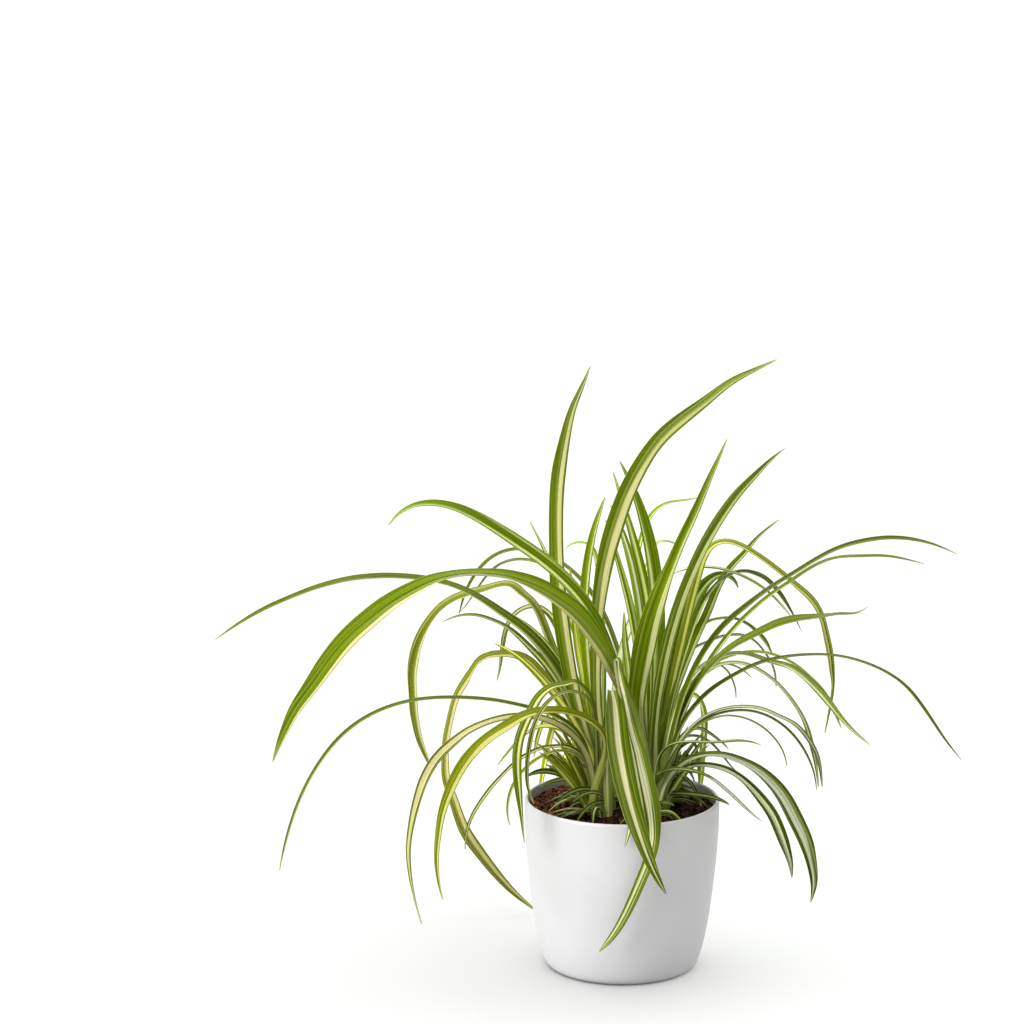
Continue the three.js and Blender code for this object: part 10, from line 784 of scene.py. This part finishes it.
for node, (cx, cy, rx, ry) in CROWNS.items():
    small = SMALL[node]
    parts = [blade(st, *look, low=True) for look, st in small]
    count = 22
    for k in range(count):
        a = 2 * math.pi * (k + RNG.uniform(-0.3, 0.3)) / count
        rr = RNG.uniform(0.55, 0.92)
        x = cx + rx * rr * math.cos(a)
        y = cy + ry * rr * math.sin(a)
        parts.append(sheath(x, y, cx, cy, RNG.uniform(5.5, 11.0), RNG.uniform(4.0, 6.5), ["grey", "yellow", "fresh"][k % 3] if node == "crown_left" else ["grey", "dark", "fresh"][k % 3]))
    # short dark leaves that lie low over the soil, partly in the painted-shade palette
    for k in range(24):
        a = 2 * math.pi * (k + RNG.uniform(-0.4, 0.4)) / 30
        if abs(math.cos(a)) > 0.55 and (cx < 0) == (math.cos(a) > 0) and RNG.uniform() < 0.6:
            continue
        parts.append(low_leaf(cx, cy, rx, ry, a, ["painted_shade", "dark", "forest", "grey"][int(RNG.integers(0, 4))]))
    for k in range(16):
        parts.append(young_leaf(cx, cy, rx, ry, -1 if node == "crown_left" else 1, (k + 0.5) / 16))
    V, F, A = joined(parts)
    ob = mesh_object(node + "_look", V, F, LEAF_LOW, A)
    mv, mf = mound(cx, cy, rx, ry)
    husk = mesh_object(node + "_mound", mv, mf, HUSK)
    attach(ob, "root")
    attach(husk, "root")
    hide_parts(node)


# ------------------------------------------------------------------ pot
def revolve(name, profile, segs, material):
    """A turned body from (radius, height) in mm; both ends lie on the axis."""
    pr = np.array(profile, float) / 1000.0
    a = np.arange(segs) * 2 * math.pi / segs
    inner = pr[1:-1]
    ring = np.stack([inner[:, None, 0] * np.cos(a), inner[:, None, 0] * np.sin(a), np.repeat(inner[:, 1:2], segs, 1)], -1).reshape(-1, 3)
    V = np.vstack([ring, [[0, 0, pr[0, 1]], [0, 0, pr[-1, 1]]]])
    m = len(inner)
    F = []
    k = np.arange(segs)
    l = (k + 1) % segs
    for i in range(m - 1):
        F.append(np.stack([i * segs + k, i * segs + l, (i + 1) * segs + l, (i + 1) * segs + k], 1))
    quads = np.concatenate(F)
    b, t = m * segs, m * segs + 1
    tri = np.concatenate([np.stack([np.full(segs, b), l, k], 1), np.stack([np.full(segs, t), (m - 1) * segs + k, (m - 1) * segs + l], 1)])
    return mesh_object(name, V, [quads, tri], material)


def smooth_profile(points, per):
    """Points with a rounded path through them."""
    p = np.array(points, float)
    s = np.concatenate([[0], np.cumsum(np.linalg.norm(np.diff(p, axis=0), axis=1))])
    q = []
    for i in range(len(s) - 1):
        k = max(1, int(math.ceil((s[i + 1] - s[i]) / per)))
        q.extend(s[i] + (s[i + 1] - s[i]) * np.arange(k) / k)
    q.append(s[-1])
    # straight pieces stay straight: monotone piecewise cubic through the points
    out = np.stack([hermite(s, p[:, 0], np.array(q)), hermite(s, p[:, 1], np.array(q))], 1)
    return out.tolist()


def hermite(x, y, q):
    h = np.diff(x)
    d = np.diff(y) / h
    m = np.zeros(len(x))
    m[0], m[-1] = d[0], d[-1]
    for i in range(1, len(x) - 1):
        if d[i - 1] * d[i] > 0:
            w1, w2 = 2 * h[i] + h[i - 1], h[i] + 2 * h[i - 1]
            m[i] = (w1 + w2) / (w1 / d[i - 1] + w2 / d[i])
    k = np.clip(np.searchsorted(x, q, side="right") - 1, 0, len(x) - 2)
    t = (q - x[k]) / h[k]
    return (2 * t**3 - 3 * t**2 + 1) * y[k] + (t**3 - 2 * t**2 + t) * h[k] * m[k] + (-2 * t**3 + 3 * t**2) * y[k + 1] + (t**3 - t**2) * h[k] * m[k + 1]


outer = smooth_profile(
    [(46.2, 0.0), (47.6, 0.15), (49.2, 0.95), (50.7, 2.5), (51.9, 4.6), (53.0, 7.6), (54.3, 12), (55.8, 18), (57.2, 25), (59.6, 40), (62.0, 60), (63.6, 77), (64.6, 93), (64.96, 104), (65.0, 112.9)],
    1.6,
)
lip = [(64.93, 113.7), (64.7, 114.3), (64.35, 114.72), (63.95, 114.95), (63.5, 115.0), (63.1, 114.9), (62.78, 114.6), (62.55, 114.1), (62.44, 113.3)]
inside = smooth_profile([(62.4, 112.4), (62.3, 104), (61.2, 84), (59.4, 60), (57.0, 40), (54.6, 25), (51.9, 13), (48.5, 6.6), (44.0, 4.2)], 4.0)
pot = revolve("pot_look", [(0, 0.0), (30, 0.0)] + outer + lip + inside + [(20, 4.2), (0, 4.2)], 192, POT)
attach(pot, "root")
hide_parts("pot")


# ------------------------------------------------------------------ soil
def soil_level(x, y):
    """Height of the soil surface, mm."""
    lumps = 0.42 * np.sin(0.29 * x + 1.3) * np.cos(0.26 * y + 0.4) + 0.34 * np.sin(0.47 * x - 0.41 * y + 2.1) + 0.22 * np.cos(0.83 * x + 0.21 * y)
    return 106.9 + lumps - 0.006 * x + 0.004 * y


def soil_object():
    rings, segs = 62, 240
    R = 61.75
    r = np.linspace(0, 1, rings + 1)[1:] ** 0.8 * R
    a = np.arange(segs) * 2 * math.pi / segs
    X = r[:, None] * np.cos(a)
    Y = r[:, None] * np.sin(a)
    ph = RNG.uniform(0, 6.28, 24)
    kx = RNG.normal(0, 1, 24)
    ky = RNG.normal(0, 1, 24)
    Z = soil_level(X, Y)
    for i in range(24):
        f = (0.8 + 0.22 * i) / math.hypot(kx[i], ky[i])
        Z = Z + (0.30 / (1 + 0.20 * i)) * np.abs(np.sin(f * (kx[i] * X + ky[i] * Y) + ph[i])) - 0.08 / (1 + 0.20 * i)
    Z += RNG.normal(0, 0.12, Z.shape)
    for cx, cy, rx, ry in CROWNS.values():
        d = np.hypot((X - cx) / rx, (Y - cy) / ry)
        Z = Z - np.clip(1.05 - d, 0, 0.6) * 3.0
    V = [np.stack([X, Y, Z], -1).reshape(-1, 3)]
    # skirt down the inside of the pot, and a flat underside
    for rr, zz in ((61.75, 103.5), (61.6, 100.0)):
        V.append(np.stack([rr * np.cos(a), rr * np.sin(a), np.full(segs, zz)], -1))
    V = np.vstack([*V, [[0, 0, float(soil_level(np.array(0.0), np.array(0.0)))], [0, 0, 100.0]]]) / 1000.0
    k = np.arange(segs)
    l = (k + 1) % segs
    F = []
    for i in range(rings + 1):
        F.append(np.stack([i * segs + k, (i + 1) * segs + k, (i + 1) * segs + l, i * segs + l], 1))
    quads = np.concatenate(F)
    c, b = (rings + 2) * segs, (rings + 2) * segs + 1
    e = (rings + 1) * segs
    tri = [np.stack([np.full(segs, c), k, l], 1), np.stack([np.full(segs, b), e + l, e + k], 1)]
    base_piece = np.full(len(V), 0.45)
    # crumbs: small rough lumps scattered over the surface
    phi = (1 + 5**0.5) / 2
    ico = unit(np.array([(-1, phi, 0), (1, phi, 0), (-1, -phi, 0), (1, -phi, 0), (0, -1, phi), (0, 1, phi), (0, -1, -phi), (0, 1, -phi), (phi, 0, -1), (phi, 0, 1), (-phi, 0, -1), (-phi, 0, 1)], float))
    icf = np.array([(0, 11, 5), (0, 5, 1), (0, 1, 7), (0, 7, 10), (0, 10, 11), (1, 5, 9), (5, 11, 4), (11, 10, 2), (10, 7, 6), (7, 1, 8), (3, 9, 4), (3, 4, 2), (3, 2, 6), (3, 6, 8), (3, 8, 9), (4, 9, 5), (2, 4, 11), (6, 2, 10), (8, 6, 7), (9, 8, 1)])
    # one subdivision
    verts = [tuple(v) for v in ico]
    cache = {}

    def mid(i, j):
        key = (min(i, j), max(i, j))
        if key not in cache:
            m = unit((np.array(verts[i]) + np.array(verts[j])) / 2)
            verts.append(tuple(m))
            cache[key] = len(verts) - 1
        return cache[key]

    fine = []
    for i, j, k2 in icf:
        p, q, s = mid(i, j), mid(j, k2), mid(k2, i)
        fine += [(i, p, s), (j, q, p), (k2, s, q), (p, q, s)]
    sphere, fine = np.array(verts), np.array(fine)
    VV, FF, PP = [V], [], [base_piece]
    start = len(V)
    count = 1900
    made = 0
    while made < count:
        rr = R * math.sqrt(RNG.uniform(0, 1)) * 0.985
        aa = RNG.uniform(0, 2 * math.pi)
        x, y = rr * math.cos(aa), rr * math.sin(aa)
        if any(math.hypot((x - cx) / (rx + 1), (y - cy) / (ry + 1)) < 0.9 for cx, cy, rx, ry in CROWNS.values()):
            if RNG.uniform() < 0.8:
                made += 1
                continue
        back_left = -x * 0.012 + y * 0.006 > 0.25
        size = RNG.gamma(3.0, 0.30) * (1.2 if back_left else 1.0)
        size = min(size, 2.6)
        if rr + size > R:
            continue
        shape = sphere * (1 + RNG.normal(0, 0.17, (len(sphere), 1)))
        shape = shape * np.array([1, RNG.uniform(0.6, 1.3), RNG.uniform(0.5, 1.0)]) * size
        t1, t2 = RNG.uniform(0, 6.28, 2)
        c1, s1, c2, s2 = math.cos(t1), math.sin(t1), math.cos(t2), math.sin(t2)
        rot = np.array([[c1, -s1, 0], [s1, c1, 0], [0, 0, 1]]) @ np.array([[1, 0, 0], [0, c2, -s2], [0, s2, c2]])
        shape = shape @ rot.T
        z = float(soil_level(np.array(x), np.array(y))) + size * RNG.uniform(-0.1, 0.65)
        VV.append((shape + [x, y, z]) / 1000.0)
        FF.append(fine + start)
        PP.append(np.full(len(sphere), RNG.uniform(0, 1)))
        start += len(sphere)
        made += 1
    # fibres: short bent slivers
    for _ in range(140):
        rr = R * math.sqrt(RNG.uniform(0, 1)) * 0.93
        aa = RNG.uniform(0, 2 * math.pi)
        x, y = rr * math.cos(aa), rr * math.sin(aa)
        if any(math.hypot((x - cx) / rx, (y - cy) / ry) < 1 for cx, cy, rx, ry in CROWNS.values()):
            continue
        dirn = RNG.uniform(0, 6.28)
        ln = RNG.uniform(2.0, 5.5)
        d = np.array([math.cos(dirn), math.sin(dirn), RNG.uniform(-0.1, 0.25)])
        side = np.array([-d[1], d[0], 0.0])
        z = float(soil_level(np.array(x), np.array(y))) + 0.6
        pts = []
        bend = RNG.uniform(-0.25, 0.25)
        for f in np.linspace(-0.5, 0.5, 6):
            c0 = np.array([x, y, z]) + d * ln * f + side * ln * bend * (f * f)
            hw = 0.16 * (1 - 1.2 * abs(f)) + 0.03
            for ang in range(4):
                pts.append(c0 + side * hw * math.cos(ang * math.pi / 2) + np.array([0, 0, hw * math.sin(ang * math.pi / 2)]))
        pts = np.array(pts)
        if np.hypot(pts[:, 0], pts[:, 1]).max() > R:
            continue
        f4 = []
        for i in range(5):
            for j in range(4):
                j2 = (j + 1) % 4
                f4 += [(4 * i + j, 4 * i + j2, 4 * i + 4 + j2), (4 * i + j, 4 * i + 4 + j2, 4 * i + 4 + j)]
        f4 += [(0, 2, 1), (0, 3, 2), (20, 21, 22), (20, 22, 23)]
        VV.append(pts / 1000.0)
        FF.append(np.array(f4) + start)
        PP.append(np.full(len(pts), RNG.uniform(0.75, 1)))
        start += len(pts)
    return mesh_object("soil_look", np.concatenate(VV), [quads, np.concatenate(tri + FF)], SOIL, {"piece": np.concatenate(PP)}, smooth=True)


soil = soil_object()
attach(soil, "root")
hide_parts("soil")

# ------------------------------------------------------------------ floor, light, camera
bpy.ops.mesh.primitive_plane_add(size=60.0, location=(0, 12.0, 0))
floor = bpy.context.object
floor.name = "floor"
floor.data.materials.append(floor_material())


def sun(name, azimuth, elevation, angle, strength, colour=(1, 1, 1)):
    """A broad soft light from far away. Azimuth 0 comes from the viewer's side, 90 from the left."""
    data = bpy.data.lights.new(name, "SUN")
    data.angle = math.radians(angle)
    data.energy = strength * math.pi
    data.color = colour
    ob = bpy.data.objects.new(name, data)
    bpy.context.scene.collection.objects.link(ob)
    az, el = math.radians(azimuth), math.radians(elevation)
    place = Vector((-math.sin(az) * math.cos(el), -math.cos(az) * math.cos(el), math.sin(el)))
    ob.location = place * 3
    ob.rotation_euler = place.to_track_quat("Z", "Y").to_euler()
    return ob


top = sun("top", -78, 78, 100, 0.77, (1.0, 1.0, 0.995))
key = sun("key", 60, 30, 40, 1.32, (1.0, 0.998, 0.99))
back = sun("back", 176, 34, 60, 0.36, (0.96, 0.98, 1.0))
# these three are flagged off the floor, which has a soft light of its own from above and a little behind
off_floor = bpy.data.collections.new("plant_receivers")
off_floor.objects.link(floor)
off_floor.collection_objects[0].light_linking.link_state = "EXCLUDE"
for light in (top, key, back):
    light.light_linking.receiver_collection = off_floor
ground = sun("ground", -138, 75, 96, 0.77, (1.0, 1.0, 0.995))
on_floor = bpy.data.collections.new("floor_receivers")
on_floor.objects.link(floor)
ground.light_linking.receiver_collection = on_floor

world = bpy.data.worlds.new("studio")
bpy.context.scene.world = world
world.use_nodes = True
bg = world.node_tree.nodes["Background"]
bg.inputs["Color"].default_value = (0.98, 0.99, 1.0, 1.0)
bg.inputs["Strength"].default_value = 0.46

cam_data = bpy.data.cameras.new("camera")
cam = bpy.data.objects.new("camera", cam_data)
bpy.context.scene.collection.objects.link(cam)
cam_data.sensor_width = 36.0
cam_data.lens = 130.417
cam_data.clip_start = 0.1
cam_data.clip_end = 100.0
yaw, pitch = math.radians(1.7636), math.radians(11.9485)
forward = Vector((-math.sin(yaw) * math.cos(pitch), math.cos(yaw) * math.cos(pitch), -math.sin(pitch)))
cam.location = (0.0, -2.382977, 0.813425)
cam.rotation_euler = forward.to_track_quat("-Z", "Y").to_euler()
bpy.context.scene.camera = cam
bpy.context.scene.view_settings.view_transform = "Standard"
